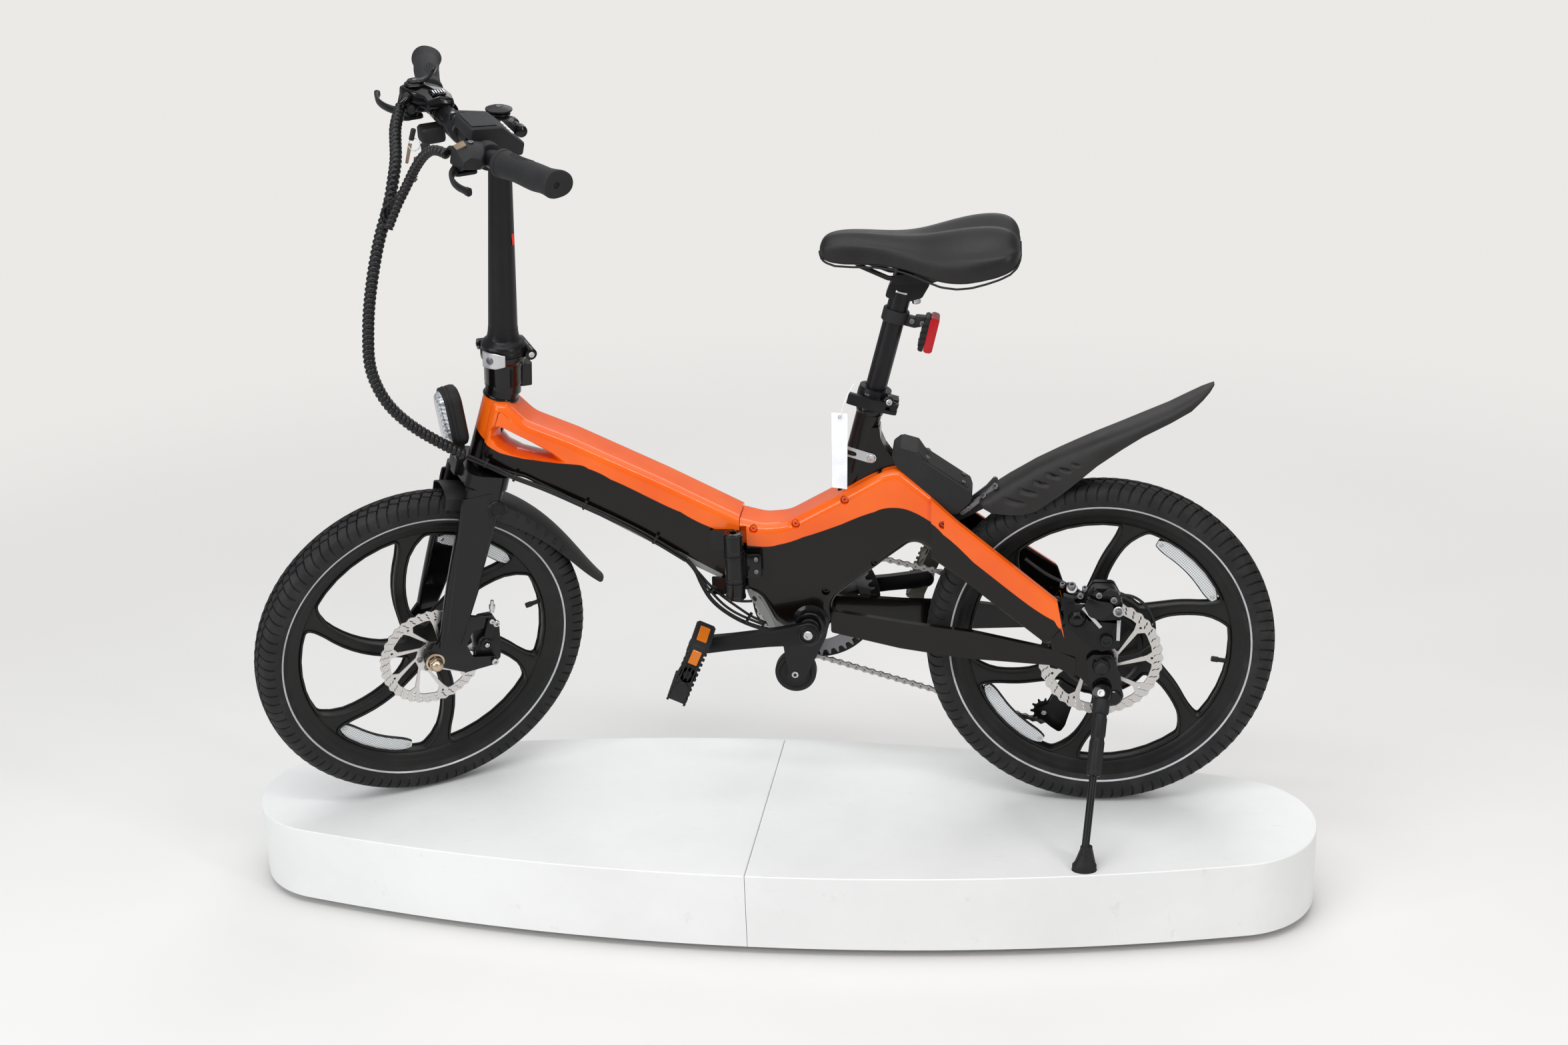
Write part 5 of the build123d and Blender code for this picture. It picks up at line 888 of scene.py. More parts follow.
def saddle_ring(half, crown, lobe_top, lobe_at, rim, rim_half, steps=30):
    """One cross section: a lobed top with a channel in the middle and sides that tuck in to the rim."""
    shoulder, spread, tuck = 0.62, half * 0.36 + 4, pi / 2 * 1.12

    def crest(y):
        bulge = math.exp(-((y - lobe_at) / spread) ** 2) - math.exp(-(lobe_at / spread) ** 2)
        return crown + (lobe_top - crown) * bulge

    fall, edge_y = (lobe_top - rim) * 0.30, half * 0.86
    edge_z = crest(edge_y) - fall
    out = []
    for step in range(steps + 1):
        t = -1 + 2 * step / steps
        if abs(t) < shoulder:
            u = abs(t) / shoulder
            y = edge_y * u
            z = crest(y) - fall * max(0, (u - 0.35) / 0.65) ** 2.2
        else:
            u = (abs(t) - shoulder) / (1 - shoulder)
            y = edge_y + half * 0.14 * sin(min(u * tuck * 1.35, pi / 2)) - (half - rim_half) * u ** 3
            z = edge_z + (rim - edge_z) * (1 - cos(u * tuck)) / (1 - cos(tuck))
        out.append((y if t >= 0 else -y, z))
    return out


def make_saddle():
    bm = bmesh.new()
    rings = []
    for x, half, crown, lobe, offset, rim, rim_half in SADDLE_STATIONS:
        rings.append([bm.verts.new(place(x, y, z)) for y, z in saddle_ring(half, crown, lobe, offset, rim,
            rim_half)])
    for low, high in zip(rings, rings[1:]):
        for a in range(len(low) - 1):
            bm.faces.new((low[a], low[a + 1], high[a + 1], high[a]))
    bm.faces.new(rings[0])
    near, far = [ring[0] for ring in rings], [ring[-1] for ring in rings]
    under = bm.faces.new(far + rings[-1][-2:0:-1] + near[::-1])
    bmesh.ops.triangulate(bm, faces=[under])
    rim_path = [vert.co.copy() for vert in (*near, *reversed(far), near[0])]
    saddle = piece("saddle_cover", bm, "vinyl", "seatpost", 0, hides=("saddle",))
    saddle.data.shade_smooth()
    sub = saddle.modifiers.new("smooth", "SUBSURF")
    sub.levels = sub.render_levels = 2
    piece("saddle_edge", sweep(bmesh.new(), resample(rim_path, 0.006), lambda run, angle: 1.6, 8), "matte",
        "seatpost", 60)


make_saddle()


def seatpost_head():
    """Forged head with its slanted open end, the eye below the rails and the two clamp plates."""
    bm = bmesh.new()
    outline = side_outline([(200, 783), (207, 801), (223, 808), (252, 812), (263, 806), (262, 798), (252, 781),
                            (236, 776), (228, 779), (221, 775)], -12.5)
    prism(bm, rounded(outline, 3), (0, 25, 0), 1.6, 3)
    plates = side_outline([(212, 806), (216, 818), (270, 818), (276, 808), (262, 804), (226, 806)], -27)
    prism(bm, rounded(plates, 2.5), (0, 54, 0), 1.2, 2)
    piece("seatpost_head", bm, "satin", "seatpost")
    piece("head_eye", spin(bmesh.new(), (231, -12.4, 792), LEFT, [(0.01, 0.1), (5.4, 0.1), (6.2, 0.5),
        (6.6, 0.2)], 24), "dark_steel", "seatpost")
    bolts("rail_clamp_bolts", "steel", "seatpost", [((243, 0, 777), (0.08, 0, -1), 6.2, 7), ((256, -16, 818),
        UP, 4.5, 2)])
    lathe("seatpost_end_face", "steel", "seatpost", seat_spot(153), seat_up, [(12.8, 0), (15.3, 0.3),
        (15.3, 2.6), (12.8, 3.2)], capped=False)


def tail_light():
    """Lamp on a strap clamp: two pivots, black back shell, red lens with four dark ribs."""
    lathe("tail_light_clamp", "matte", "seatpost", seat_spot(109), seat_up, [(15.1, 0), (18.0, 0), (18.8, 0.8),
        (18.8, 17), (18.0, 18), (15.1, 18)], capped=False, hides=("tail_light",))
    bm = bmesh.new()
    slab(bm, [(222, 756), (242, 750), (252, 748), (252, 738), (240, 736), (222, 741)], -6.5, 13, 3, 1.5)
    slab(bm, [(240, 753), (266, 750), (270, 741), (262, 722), (256, 711), (250, 712), (254, 728), (254, 738),
        (242, 739)], -9, 18, 4, 1.5)
    piece("tail_light_arm", bm, "matte", "seatpost")
    bolts("tail_light_pivots", "dark_steel", "seatpost", [((237, -6.5, 746), LEFT, 4.2, 2.2), ((252, -9, 743),
        LEFT, 4.2, 2.2)])
    back, lens = bmesh.new(), bmesh.new()
    slab(back, [(257, 753), (264, 752), (251, 703), (244, 706), (249, 728)], -16, 32, 2, 1.6)
    piece("tail_light_back", back, "matte", "seatpost")
    slab(lens, [(264.5, 754), (276.5, 750), (264, 701), (251.5, 703)], -17, 34, 3, 3, 4)
    piece("tail_light_lens", lens, "red_lens", "seatpost")
    ribs = bmesh.new()
    for index in range(4):
        z = 742 - index * 9
        x = 254.5 - index * 2.4
        slab(ribs, [(x - 2.5, z), (x + 5, z), (x + 5, z - 2), (x - 2.5, z - 2)], -17, 34, 0, 0.4, 1)
    piece("tail_light_ribs", ribs, "satin", "seatpost")


def seat_clamp():
    """Collar with its stepped rim, the quick lever's squared end and the hinge bolt at the back."""
    lathe("seat_collar_ring", "gloss", "rear_frame", seat_spot(-18), seat_up, [(18.9, 0), (23.0, 0.4),
        (24.2, 2), (24.2, 19), (23.4, 21), (22.2, 21.6), (21.6, 24), (20.4, 25.4), (18, 26), (16.5, 25.2),
        (15.5, 22)], capped=False)
    lathe("seat_collar_lip", "steel", "rear_frame", seat_spot(4.5), seat_up, [(15.4, 1.5), (17.6, 3.2),
        (18.6, 2.6), (18.4, 1.6)], capped=False)
    lathe("seat_tube_rim", "gloss", "rear_frame", seat_spot(-31), seat_up, [(18.4, 0), (19.6, 1.2), (20.2, 4),
        (20.2, 8), (19.4, 10.6), (18.4, 11)], capped=False)
    ear = bmesh.new()
    spot = Vector(seat_spot(0, 22, -12))
    spin(ear, spot - Vector((0, 14, 0)), (0.25, -1, 0), [(0.01, 3), (3, 3.4), (5.4, 3), (7.6, 1.2), (8, 0),
        (8, -26), (7, -28), (0.01, -28)], 32)
    piece("seat_collar_ears", ear, "gloss", "rear_frame")
    bolts("seat_collar_bolt", "steel", "rear_frame", [(spot - Vector((-0.9, 17.0, 0)), (0.25, -1, 0), 4.6,
        2.4)])


def lock_strap():
    """Slotted flat strap bolted to the gusset."""
    strap = [(128, 570), (176, 554.5), (181, 553), (184, 548), (183, 543), (178, 540), (172, 540.5), (124, 556)]
    slot = [(133, 563.5), (152, 557.2), (156, 554.6), (155, 550.4), (150, 550.6), (131, 557)]
    outer = rounded([(x, 0, z) for x, z in strap], 3)
    hole = rounded([(x, 0, z) for x, z in slot], 3)
    filled("lock_strap", "steel", "rear_frame", [[(p.x, p.z) for p in outer], [(p.x, p.z) for p in hole]], 2,
        -18.4)
    bolts("lock_strap_bolt", "steel", "rear_frame", [((176.5, -19.4, 547), LEFT, 5.6, 3.6)])
    lathe("lock_strap_washer", "steel", "rear_frame", (176.5, -19.2, 547), LEFT, [(7.2, -0.6), (7.2, 0.5),
        (6.6, 0.9), (0.01, 0.9)])


def swing_tag():
    """Blank card tag on a beaded string looped over the quick lever."""
    card = bmesh.new()
    rows = []
    for step in range(13):
        t = step / 12
        sway = 1.6 * sin(t * 2.6)
        low, high = Vector((122.5 + 2 * t, -56 - sway, 516 + 112 * t)), Vector((143.5 + 3.6 * t, -54 - sway,
            512.5 + 113 * t))
        rows.append([low, high, high + Vector((0, 0.9, 0)), low + Vector((0, 0.9, 0))])
    loft(card, rows)
    piece("swing_tag", card, "card", "rear_frame", 20)
    route = [(156, -30, 662), (149, -44, 655), (142, -54, 640), (137, -56.5, 623)]
    line = resample(curve_points(route), 0.0016)
    beads = bmesh.new()
    sweep(beads, line, lambda run, angle: 0.45 + 0.65 * abs(sin(run * 1000 * pi / 3.2)), 8)
    string = piece("tag_string", beads, "card", "rear_frame", 60)
    place(*route[0])
    run_length(line)
    lathe("tag_eyelet", "steel", "rear_frame", (136, -57.8, 622), LEFT, [(1.6, 0), (2.6, 0.4), (2.6, 0.8),
        (1.6, 0.8)], 20, False)


seatpost_head()
tail_light()
seat_clamp()
lock_strap()
swing_tag()


# ---------------------------------------------------------------- handlebar
BAR = (-387, 0, 1047)
BAR_END = (-351, 287, 1056)
GRIP_START = 160
POST = radians(86.6)
POST_FOOT = Vector((-352, 0, 708))
post_up, post_out = Vector((cos(POST), 0, sin(POST))), Vector((sin(POST), 0, -cos(POST)))


def bar_spot(y):
    """The bar's centre at this distance from the middle, on its swept end."""
    share = (abs(y) - 135) / (BAR_END[1] - 135)
    return Vector((BAR[0] + (BAR_END[0] - BAR[0]) * share, y, BAR[2] + (BAR_END[2] - BAR[2]) * share))


def grips():
    """Rubber grips: clamp flange, groove, ribbed middle with a raised palm patch, flared cut end."""
    bm = bmesh.new()
    for sign in (-1, 1):
        start = bar_spot(sign * GRIP_START)
        along = bar_spot(sign * BAR_END[1]) - start
        length = along.length
        along.normalize()
        one, two = basis(along)
        rows = [(13.2, 0), (18.2, 0.4), (19.2, 1.6), (19.2, 7), (18.6, 8), (17.4, 8.6), (17.4, 10),
            (18.3, 10.8), (17.9, 16)]
        rows += [(17.5 - 0.6 * sin(pi * t / 36), 18 + t * (length - 42) / 72) for t in range(73)]
        rows += [(17.9, length - 20), (18.6, length - 12), (19.6, length - 5), (20.1, length - 1.5),
            (19.8, length + 0.6), (18.8, length + 1.8), (15, length + 2.4), (5, length + 2.2),
            (4, length + 1.2), (3.6, length - 3), (0.01, length - 3)]
        rings = []
        for row, (radius, run) in enumerate(rows):
            ring = []
            squash = min(1, max(0, (run - length + 46) / 46))
            reach = 0.62 * max(0, 1 - ((run - 44) / 25) ** 2) ** 0.5
            for step in range(112):
                angle = 2 * pi * step / 112
                out = one * cos(angle) + two * sin(angle)
                lift = max(0, out.z * 0.92 + out.x * 0.38)
                inside = math.acos(min(1, lift)) < reach
                patch = (0.75 if step % 4 and row % 4 else -0.5) if inside else 0
                wing = 5.5 * max(0, out.x) ** 3 - 3.4 * max(0, -out.z) ** 3 - 1.6 * max(0, -out.x) ** 2
                r = radius + patch + squash * wing * (radius > 10)
                ring.append(start + along * run + out * r)
            rings.append(ring)
        loft(bm, rings)
    piece("grips_rubber", bm, "grip", "handlepost", 40, ("grips",))


def brake_body(sign, side):
    """Faceted lever housing with its clamp band, cable nose and cover screw."""
    bm = bmesh.new()
    spin(bm, (BAR[0], sign * 113, BAR[2]), (0, sign, 0),
               band(12.8, 18.4, 17, 1.2, 1), 40)
    rings = []
    for y, x0, x1, z0, z1, r in ((100, -426, -404, 1042, 1060, 3), (106, -434, -396, 1038, 1067, 4),
            (116, -438, -392, 1036, 1070, 4), (130, -437, -392, 1036, 1068, 4), (142, -435, -398, 1037, 1063,
            4), (149, -432, -404, 1040, 1058, 3)):
        rings.append(rounded([(x0, sign * y, z0 + 5), (x0 + 5, sign * y, z1 - 5), ((x0 + x1) / 2, sign * y, z1),
            (x1, sign * y, z1 - 5), (x1 + 2, sign * y, z0 + 5), (x1 - 6, sign * y, z0)], r, 3))
    loft(bm, rings)
    nose = Vector((-422, sign * 102, 1052))
    spin(bm, nose, (-0.45, -sign * 0.85, -0.1), [(0.01, -4), (8, -3), (7.6, 6), (6.4, 9), (6.2, 14), (5, 16),
        (3, 16.5), (0.01, 16)], 24)
    for z in (1043.2, 1028):
        plate = [(-436, sign * 112, z), (-406, sign * 112, z), (-404, sign * 131, z), (-436, sign * 131, z)]
        prism(bm, rounded(plate, 5), (0, 0, 4), 0.8, 2)
    piece(f"brake_body_{side}", bm, "matte", "handlepost", 28, ("brake_brackets",) if sign < 0 else ())
    piece(f"brake_facet_{side}", prism(bmesh.new(), rounded([(-431, sign * 117, 1064.5), (-417, sign * 116,
        1069.4), (-417, sign * 131, 1068), (-430, sign * 129, 1063)], 1.5), (-0.6, 0, 1.6), 0.5, 2),
        "bronze" if sign < 0 else "gloss", "handlepost")
    bolts(f"brake_screws_{side}", "dark_steel", "handlepost", [((-409, sign * 122, 1068.4), (0.1, 0, 1), 4, 2),
        ((-426, sign * 120, 1027.6), (0, 0, -1), 4.6, 1.4)])


def brake_blade(sign, side):
    """Two-finger lever: pivot fork, flattened curved blade and rolled tip."""
    bm = bmesh.new()
    route = [(-424, sign * 113, 1037.5), (-432, sign * 124, 1037.5), (-444, sign * 142, 1037.6),
        (-450, sign * 163, 1037.6), (-451, sign * 187, 1037.8), (-447, sign * 206, 1038), (-443, sign * 216,
        1038)]
    line = spline_mm(route)
    strap_into(bm, line, lambda t: 4.6 + 0.9 * sin(pi * t) + (1.0 if t > 0.94 else 0),
        lambda t: 7.2 - 4.6 * min(1, t * 2.2) + 2.0 * max(0, t - 0.86) * 7, UP, 16)
    spin(bm, (-426, sign * 120, 1033), UP, band(3.1, 9.2, 9.6), 28)
    prism(bm, rounded([(-432, sign * 108, 1034), (-414, sign * 109, 1034), (-412, sign * 122, 1034),
        (-432, sign * 126, 1034)], 4), (0, 0, 7), 1, 2)
    piece(f"{side}_lever_blade", bm, "satin", f"{side}_brake_lever", 40, (f"{side}_brake_lever",))


def shifter():
    """Domed thumb shifter with its clamp, indicator window, cable nose and the switch box under the bar."""
    bm = bmesh.new()
    spin(bm, (BAR[0], 62, BAR[2]), RIGHT, band(12.8, 18, 32, edge=1), 40)
    rings = []
    for y, x0, x1, z0, z1 in ((58, -412, -377, 1058, 1070), (61, -415, -374, 1055, 1074), (74, -416, -373, 1054,
            1077), (88, -424, -377, 1056, 1080), (100, -435, -384, 1060, 1083), (112, -438, -392, 1062, 1083.6),
            (121, -434, -398, 1064, 1081), (127, -426, -405, 1067, 1076)):
        rings.append(rounded([(x0, y, z0), (x0 + 2, y, z1 - 5), ((x0 + x1) / 2, y, z1), (x1 - 2, y, z1 - 6),
            (x1, y, z0)], 4, 4))
    loft(bm, rings)
    spin(bm, (-416, 106, 1081), UP, [(15, 0), (14.4, 1.6), (12, 3), (0.01, 3.4)], 40)
    spin(bm, (-434, 94, 1066), (-0.75, -0.5, -0.35), [(7, -6), (6.4, 4), (5, 6), (4.6, 12), (3.2, 13.5),
        (0.01, 14)], 24)
    piece("shifter_body", bm, "gloss", "handlepost", 40, ("bar_controls",))
    piece("gear_window", prism(bmesh.new(), rounded([(-404, 62, 1074.6), (-384, 62, 1073.4), (-384, 80, 1074.6),
        (-406, 80, 1076.4)], 2), (0, 0, 2.2), 0.6, 2), "gloss", "handlepost")
    for index in range(5):
        mark = bmesh.new()
        x = -401 + index * 3.6
        prism(mark, [(x, 66, 1077.2), (x + 1.4, 66, 1077.0), (x + 1.4, 76, 1077.6), (x, 76, 1077.8)],
            (0, 0, 0.5), 0)
        piece(f"gear_mark_{index}", mark, "card", "handlepost", 0)
    box = bmesh.new()
    rings = [oblong((-407, 76, z), (1, 0, 0), RIGHT, a, b, 5) for z, a, b in ((1006, 12, 10), (1008, 16, 14),
        (1012, 17, 15), (1026, 17, 15), (1029, 15, 13))]
    loft(box, rings)
    prism(box, rounded([(-396, 66, 1026), (-386, 66, 1026), (-386, 86, 1026), (-396, 86, 1026)], 2), (0, 0, 8),
        0.6, 1)
    piece("switch_box", box, "matte", "handlepost")
    paddle = bmesh.new()
    rings = []
    for run, lift, half, thick in ((0, 0, 9, 4), (8, 0.5, 8.6, 4), (16, 3, 8, 4.4), (23, 8, 8, 5),
            (29, 15, 9.4, 6), (32, 20, 9, 5), (33.4, 23.6, 6, 3)):
        centre = Vector((-416 + run * 0.83, 106 - run * 0.5, 1085 + lift))
        rings.append(oblong(centre, (0.5, 0.83, 0), Vector((-0.5 * 0.83, 0.25, 0.85)).normalized(), half,
            thick / 2, 1.4, 3))
    loft(paddle, rings)
    spin(paddle, (-416, 106, 1082.6), UP, [(4.1, 0), (10, 0), (10.4, 0.8), (10.4, 3.6), (9.6, 4.4), (4.1, 4.4)],
        32)
    piece("shifter_paddle", paddle, "gloss", "shifter_lever", 40, ("shifter_lever",))
    bolts("shifter_cap_screw", "dark_steel", "handlepost", [((-416, 106, 1086), UP, 3.6, 2)])


def display():
    """Wedge-shaped display with a glossy face, four buttons and its two strap mounts."""
    bm = bmesh.new()
    rings = []
    for y, grow in ((-97, -6), (-95.5, -2), (-92, 0), (-31, 0), (-27.5, -2), (-26, -6)):
        outline = [(-401 - grow * 0.4, 1078 + grow * 0.4), (-357, 1074 + grow * 0.4), (-327 + grow * 0.5, 1046),
            (-331 + grow * 0.4, 1029 - grow * 0.3), (-372, 1040 - grow * 0.3), (-403 - grow * 0.4, 1061)]
        rings.append(rounded(side_outline(outline, y), 4, 4))
    loft(bm, rings)
    spin(bm, (BAR[0], -69, BAR[2]), RIGHT, band(12.8, 17, 14), 40)
    piece("display_case", bm, "matte", "handlepost", hides=("display_unit",))

    def raised(bm, middle, slope, half_long, half_wide, corner, steps):
        slope = Vector(slope).normalized()
        out = Vector((-slope.z, 0, slope.x)) * math.copysign(1, slope.x)
        loft(bm, [oblong(Vector(middle) + out * h, slope, RIGHT, half_long - g, half_wide - g, corner)
                       for h, g in steps])

    glass, buttons = bmesh.new(), bmesh.new()
    raised(glass, (-379.5, -61.5, 1076.2), (-44, 0, 4), 18, 30, 3, ((-0.6, 0), (0.9, 0), (1.4, 0.6)))
    piece("display_glass", glass, "gloss", "handlepost", 30)
    for y in (-84, -71, -58, -45):
        raised(buttons, (-341, y, 1060.2), (-30, 0, 28), 2.4, 4.0, 1.4, ((-1, 0), (0.8, 0), (1.2, 0.5)))
    piece("display_buttons", buttons, "card", "handlepost", 30)
    strap = bmesh.new()
    for y in (-22, -6):
        spin(strap, (BAR[0], y, BAR[2]), RIGHT, band(12.8, 16.8, 7), 40)
        prism(strap, rounded([(BAR[0] - 14, y, 1061), (BAR[0] + 8, y, 1061), (BAR[0] + 8, y, 1070),
            (BAR[0] - 14, y, 1070)], 2), (0, 7, 0), 0.8, 2)
    piece("bar_straps", strap, "matte", "handlepost")
    bolts("bar_strap_screws", "steel", "handlepost", [((BAR[0] - 9, y + 3.5, 1069.6), UP, 2.8,
        1.6) for y in (-22, -6)])


def bar_clamp():
    """Post clamp with its ribbed top cap, side knob and pinch screw."""
    bm = bmesh.new()
    rings = []
    for y, r in ((-23, 14), (-21, 17.5), (-17, 19.2), (17, 19.2), (21, 17.5), (23, 14)):
        ring = []
        for a0, a1, cx, cz in ((pi / 2, 3 * pi / 2, BAR[0], BAR[2]), (-pi / 2, pi / 2, -333, 1037)):
            ring += [Vector((cx + r * cos(a0 + (a1 - a0) * s / 14), y, cz + r * sin(a0 + (a1 - a0) * s / 14)))
                for s in range(15)]
        rings.append(ring)
    loft(bm, rings)
    piece("bar_clamp_body", bm, "satin", "handlepost", 40, ("bar_clamp",))
    top = POST_FOOT + post_up * 330
    neck = [(21, -22), (21.4, -20), (21.4, 8), (20, 12), (13, 14), (12.6, 15.5), (15.4, 16), (15.8, 17),
        (15.4, 18), (12.8, 18.6), (12.8, 20), (15.6, 20.6), (16, 21.6), (15.6, 22.6), (13, 23.2), (13, 24.4),
        (17.6, 25.2), (18.6, 26.4), (18.4, 28), (12, 30.4), (4, 31.2), (0.01, 31.2)]
    lathe("post_cap", "satin", "handlepost", top, post_up, neck, 56, False)
    bolts("post_cap_screw", "dark_steel", "handlepost", [(top + post_up * 30.6, post_up, 4, 1.8)])
    lathe("clamp_knob", "gloss", "handlepost", (-308, -25, 1036), RIGHT, [(0.01, -1), (5, -0.4), (8, 1.4),
        (8.6, 4), (8.6, 12), (7.4, 14), (6, 15), (6, 34), (7.4, 35), (8.6, 37), (8.6, 45), (8, 48), (5, 50),
        (0.01, 50.4)])


def keys():
    """Two keys on a ring with a black fob and a brown tag, hanging beside the left wrap."""
    ring = bmesh.new()
    loop = [place(-430 + 8 * cos(a), -83 + 2 * sin(a), 1020 + 8 * sin(a)) for a in (pi * s / 16
        for s in range(33))]
    sweep(ring, loop, lambda run, angle: 0.7, 8, closed_ends=False)
    piece("key_ring", ring, "steel", "handlepost", 60, turn=STILL)
    piece("key_blade", prism(bmesh.new(), rounded([(-438, -84, 1022), (-433, -84, 1021), (-441, -84, 994),
        (-445, -84, 995)], 0.6), (0, 1.6, 0), 0.3, 1), "bronze", "handlepost", 30, turn=STILL)
    piece("key_barrel", spin(bmesh.new(), (-434, -82, 1026), (0.35, -0.1, 1), [(0.01, 0), (3.4, 0.4),
        (3.6, 1.2), (3.6, 15), (2.8, 16.4), (0.01, 16.8)], 20), "matte", "handlepost", 40, turn=STILL)
    piece("key_fob", prism(bmesh.new(), rounded([(-422, -82, 1022), (-409, -82, 1020), (-411, -82, 1001),
        (-421, -82, 999)], 2.4), (0, 3.2, 0), 0.8, 2), "matte", "handlepost", turn=STILL)
    tag = bmesh.new()
    teeth = []
    for index in range(9):
        teeth += [(-427.5 + index * -0.6, -83, 1003 - index * 3.6), (-425.2 + index * -0.6, -83,
            1001.2 - index * 3.6)]
    prism(tag, [*teeth, (-434, -83, 968), (-437.4, -83, 972), (-432.4, -83, 1003)], (0, 1.4, 0), 0.2, 1)
    piece("key_tag", tag, "tag", "handlepost", 30, turn=STILL)


def post_details():
    """The collar at the post's foot and the stem's glossy shell below it, where the post folds."""
    collar = [(21.2, 38), (21.8, 30), (23.4, 22), (27.4, 12), (32, 6), (33.2, 3), (33.2, 0.6), (31.5, 0.2),
        (20, 0.2)]
    lathe("post_foot", "satin", "handlepost", POST_FOOT, post_up, collar, 64, False)
    base_rings = [(31.6, -0.4), (33.0, -1), (33.2, -4), (32.4, -9), (29.6, -11), (29.0, -13), (29.2, -18),
        (28.4, -20), (28.2, -46), (27.4, -48)]
    lathe("stem_shell", "gloss", "steering", POST_FOOT, post_up, base_rings, 64, False)


for sign, side in SIDES:
    brake_body(sign, side)
    brake_blade(sign, side)
grips()
shifter()
display()
bar_clamp()
keys()
post_details()


# ---------------------------------------------------------------- head, fork and front guard
head_up = Vector((cos(HEAD), 0, sin(HEAD)))


def headlight():
    """Capsule lamp: back shell, ribbed seam, bezel and fluted lens, on its crown bracket."""
    tilt = radians(6)
    out = Vector((-cos(tilt), 0, -sin(tilt)))
    tall = Vector((-sin(tilt), 0, cos(tilt)))
    middle = Vector((-421, 0, 622))

    def ring(depth, length, width):
        return stadium(middle + out * depth, tall, RIGHT, length, width, 16)

    skin("headlight_shell", "matte", "steering", [ring(0, 70, 26), ring(0.6, 84, 36), ring(3.4, 93, 43),
        ring(8, 96, 46), ring(15, 96, 46), ring(15.6, 94.6, 44.6), ring(17, 94.6, 44.6), ring(17.6, 96.4, 46.4),
        ring(20.6, 96.4, 46.4), ring(21.2, 94.6, 44.6), ring(22.4, 94.6, 44.6), ring(23, 96, 46),
        ring(26, 94, 44.4), ring(26.4, 90, 41), ring(25.4, 86.6, 38.4)], hides=("headlight",))
    skin("headlight_lens", "clear", "steering", [ring(24, 86, 38), ring(27, 86, 38), ring(31, 82, 34),
        ring(33.6, 76, 28), ring(34.8, 66, 20)], 60)
    bm = bmesh.new()
    arm = side_outline([(-431, 580), (-424, 579), (-424, 552), (-431, 545), (-437.6, 527.4), (-444.6, 529.2),
        (-438, 552), (-439, 566)], -9)
    prism(bm, rounded(arm, 2), (0, 18, 0), 1.2, 2)
    piece("headlight_bracket", bm, "satin", "steering")
    bolts("headlight_screws", "steel", "steering", [((-440.6, 0, 536), -head_up.cross(Vector(RIGHT)), 4.6, 3),
        ((-431, -9, 566), LEFT, 4.4, 2.4)])


def head_details():
    """Head tube cups, the two pinch screws of the stem, the clasp plate and the folding knuckle."""
    top = Vector((-360, 0, 641))
    lathe("upper_cup", "gloss", "front_frame", top - head_up * 2, head_up, [(25.2, -3), (26.6, -2), (26.8, 0.6),
        (26, 2), (25, 2.3)], 64, False)
    low = Vector((-360 - 105 * cos(HEAD) / sin(HEAD), 0, 536))
    lathe("lower_cup", "gloss", "front_frame", low, head_up, [(25.2, 7), (27, 6), (27.4, 3), (27, 0.6),
        (25.2, 0)], 64, False)
    boss = bmesh.new()
    outline = [(-349, -12, 688), (-338, -8, 690), (-338, 8, 690), (-349, 12, 688)]
    rings = [[Vector(p) + Vector((0, 0, -z)) + Vector((z * 0.05, 0, 0)) for p in rounded(outline, 3)]
        for z in (0, 2, 22, 25)]
    loft(boss, rings)
    piece("stem_pinch_boss", boss, "gloss", "steering")
    bolts("stem_pinch_screws", "steel", "steering", [((-340.5, -7.2, 682), (0.55, -0.83, 0.05), 5, 4),
        ((-342, -8, 669), (0.55, -0.83, 0.05), 5, 4)])
    clasp = bmesh.new()
    base = POST_FOOT
    rows = []
    for step in range(9):
        a = radians(196 + step * 7.5)
        r = 33.6
        spot = base + Vector((r * cos(a), r * sin(a), 0))
        half = 10 if step < 6 else 10 - (step - 5) * 1.2
        out = Vector((cos(a), sin(a), 0))
        rows.append([spot + post_up * half, spot - post_up * (half + 4), spot - post_up * (half + 4)
            + out * 2.6, spot + post_up * half + out * 2.6])
    loft(clasp, rows)
    bmesh.ops.bevel(clasp, geom=list(clasp.edges), offset=0.0005, segments=1, affect="EDGES",
        clamp_overlap=True)
    piece("post_clasp", clasp, "steel", "handlepost", 30)
    a = radians(219)
    out = Vector((cos(a), sin(a), 0))
    bolts("post_clasp_screw", "dark_steel", "handlepost", [(base + out * 35.4 - post_up * 2, out, 5.6, 2.6)])
    knuckle = bmesh.new()
    for y0, y1 in ((-28, -12.6), (-11.8, 11.8), (12.6, 28)):
        spin(knuckle, base + post_out * 33 + Vector((0, y0, 0)), RIGHT,
                   [(0.01, 0), (7.4, 0), (8.6, 1), (8.6, y1 - y0 - 1), (7.4, y1 - y0), (0.01, y1 - y0)], 32)
    piece("post_knuckle", knuckle, "gloss", "steering", 40)
    bolts("post_pin_ends", "steel", "steering", [(base + post_out * 33 + Vector((0, -28, 0)), LEFT, 4.4, 1.6)])
    mark = bmesh.new()
    spot = base + post_up * 172
    prism(mark, [spot + Vector((10.6, -15.6, -8)), spot + Vector((14.6, -12.2, -8)),
        spot + Vector((14.4, -12.2, 8)), spot + Vector((10.4, -15.4, 8))], (0.4, -0.5, 0), 0)
    piece("post_mark", mark, "red_mark", "handlepost", 0)


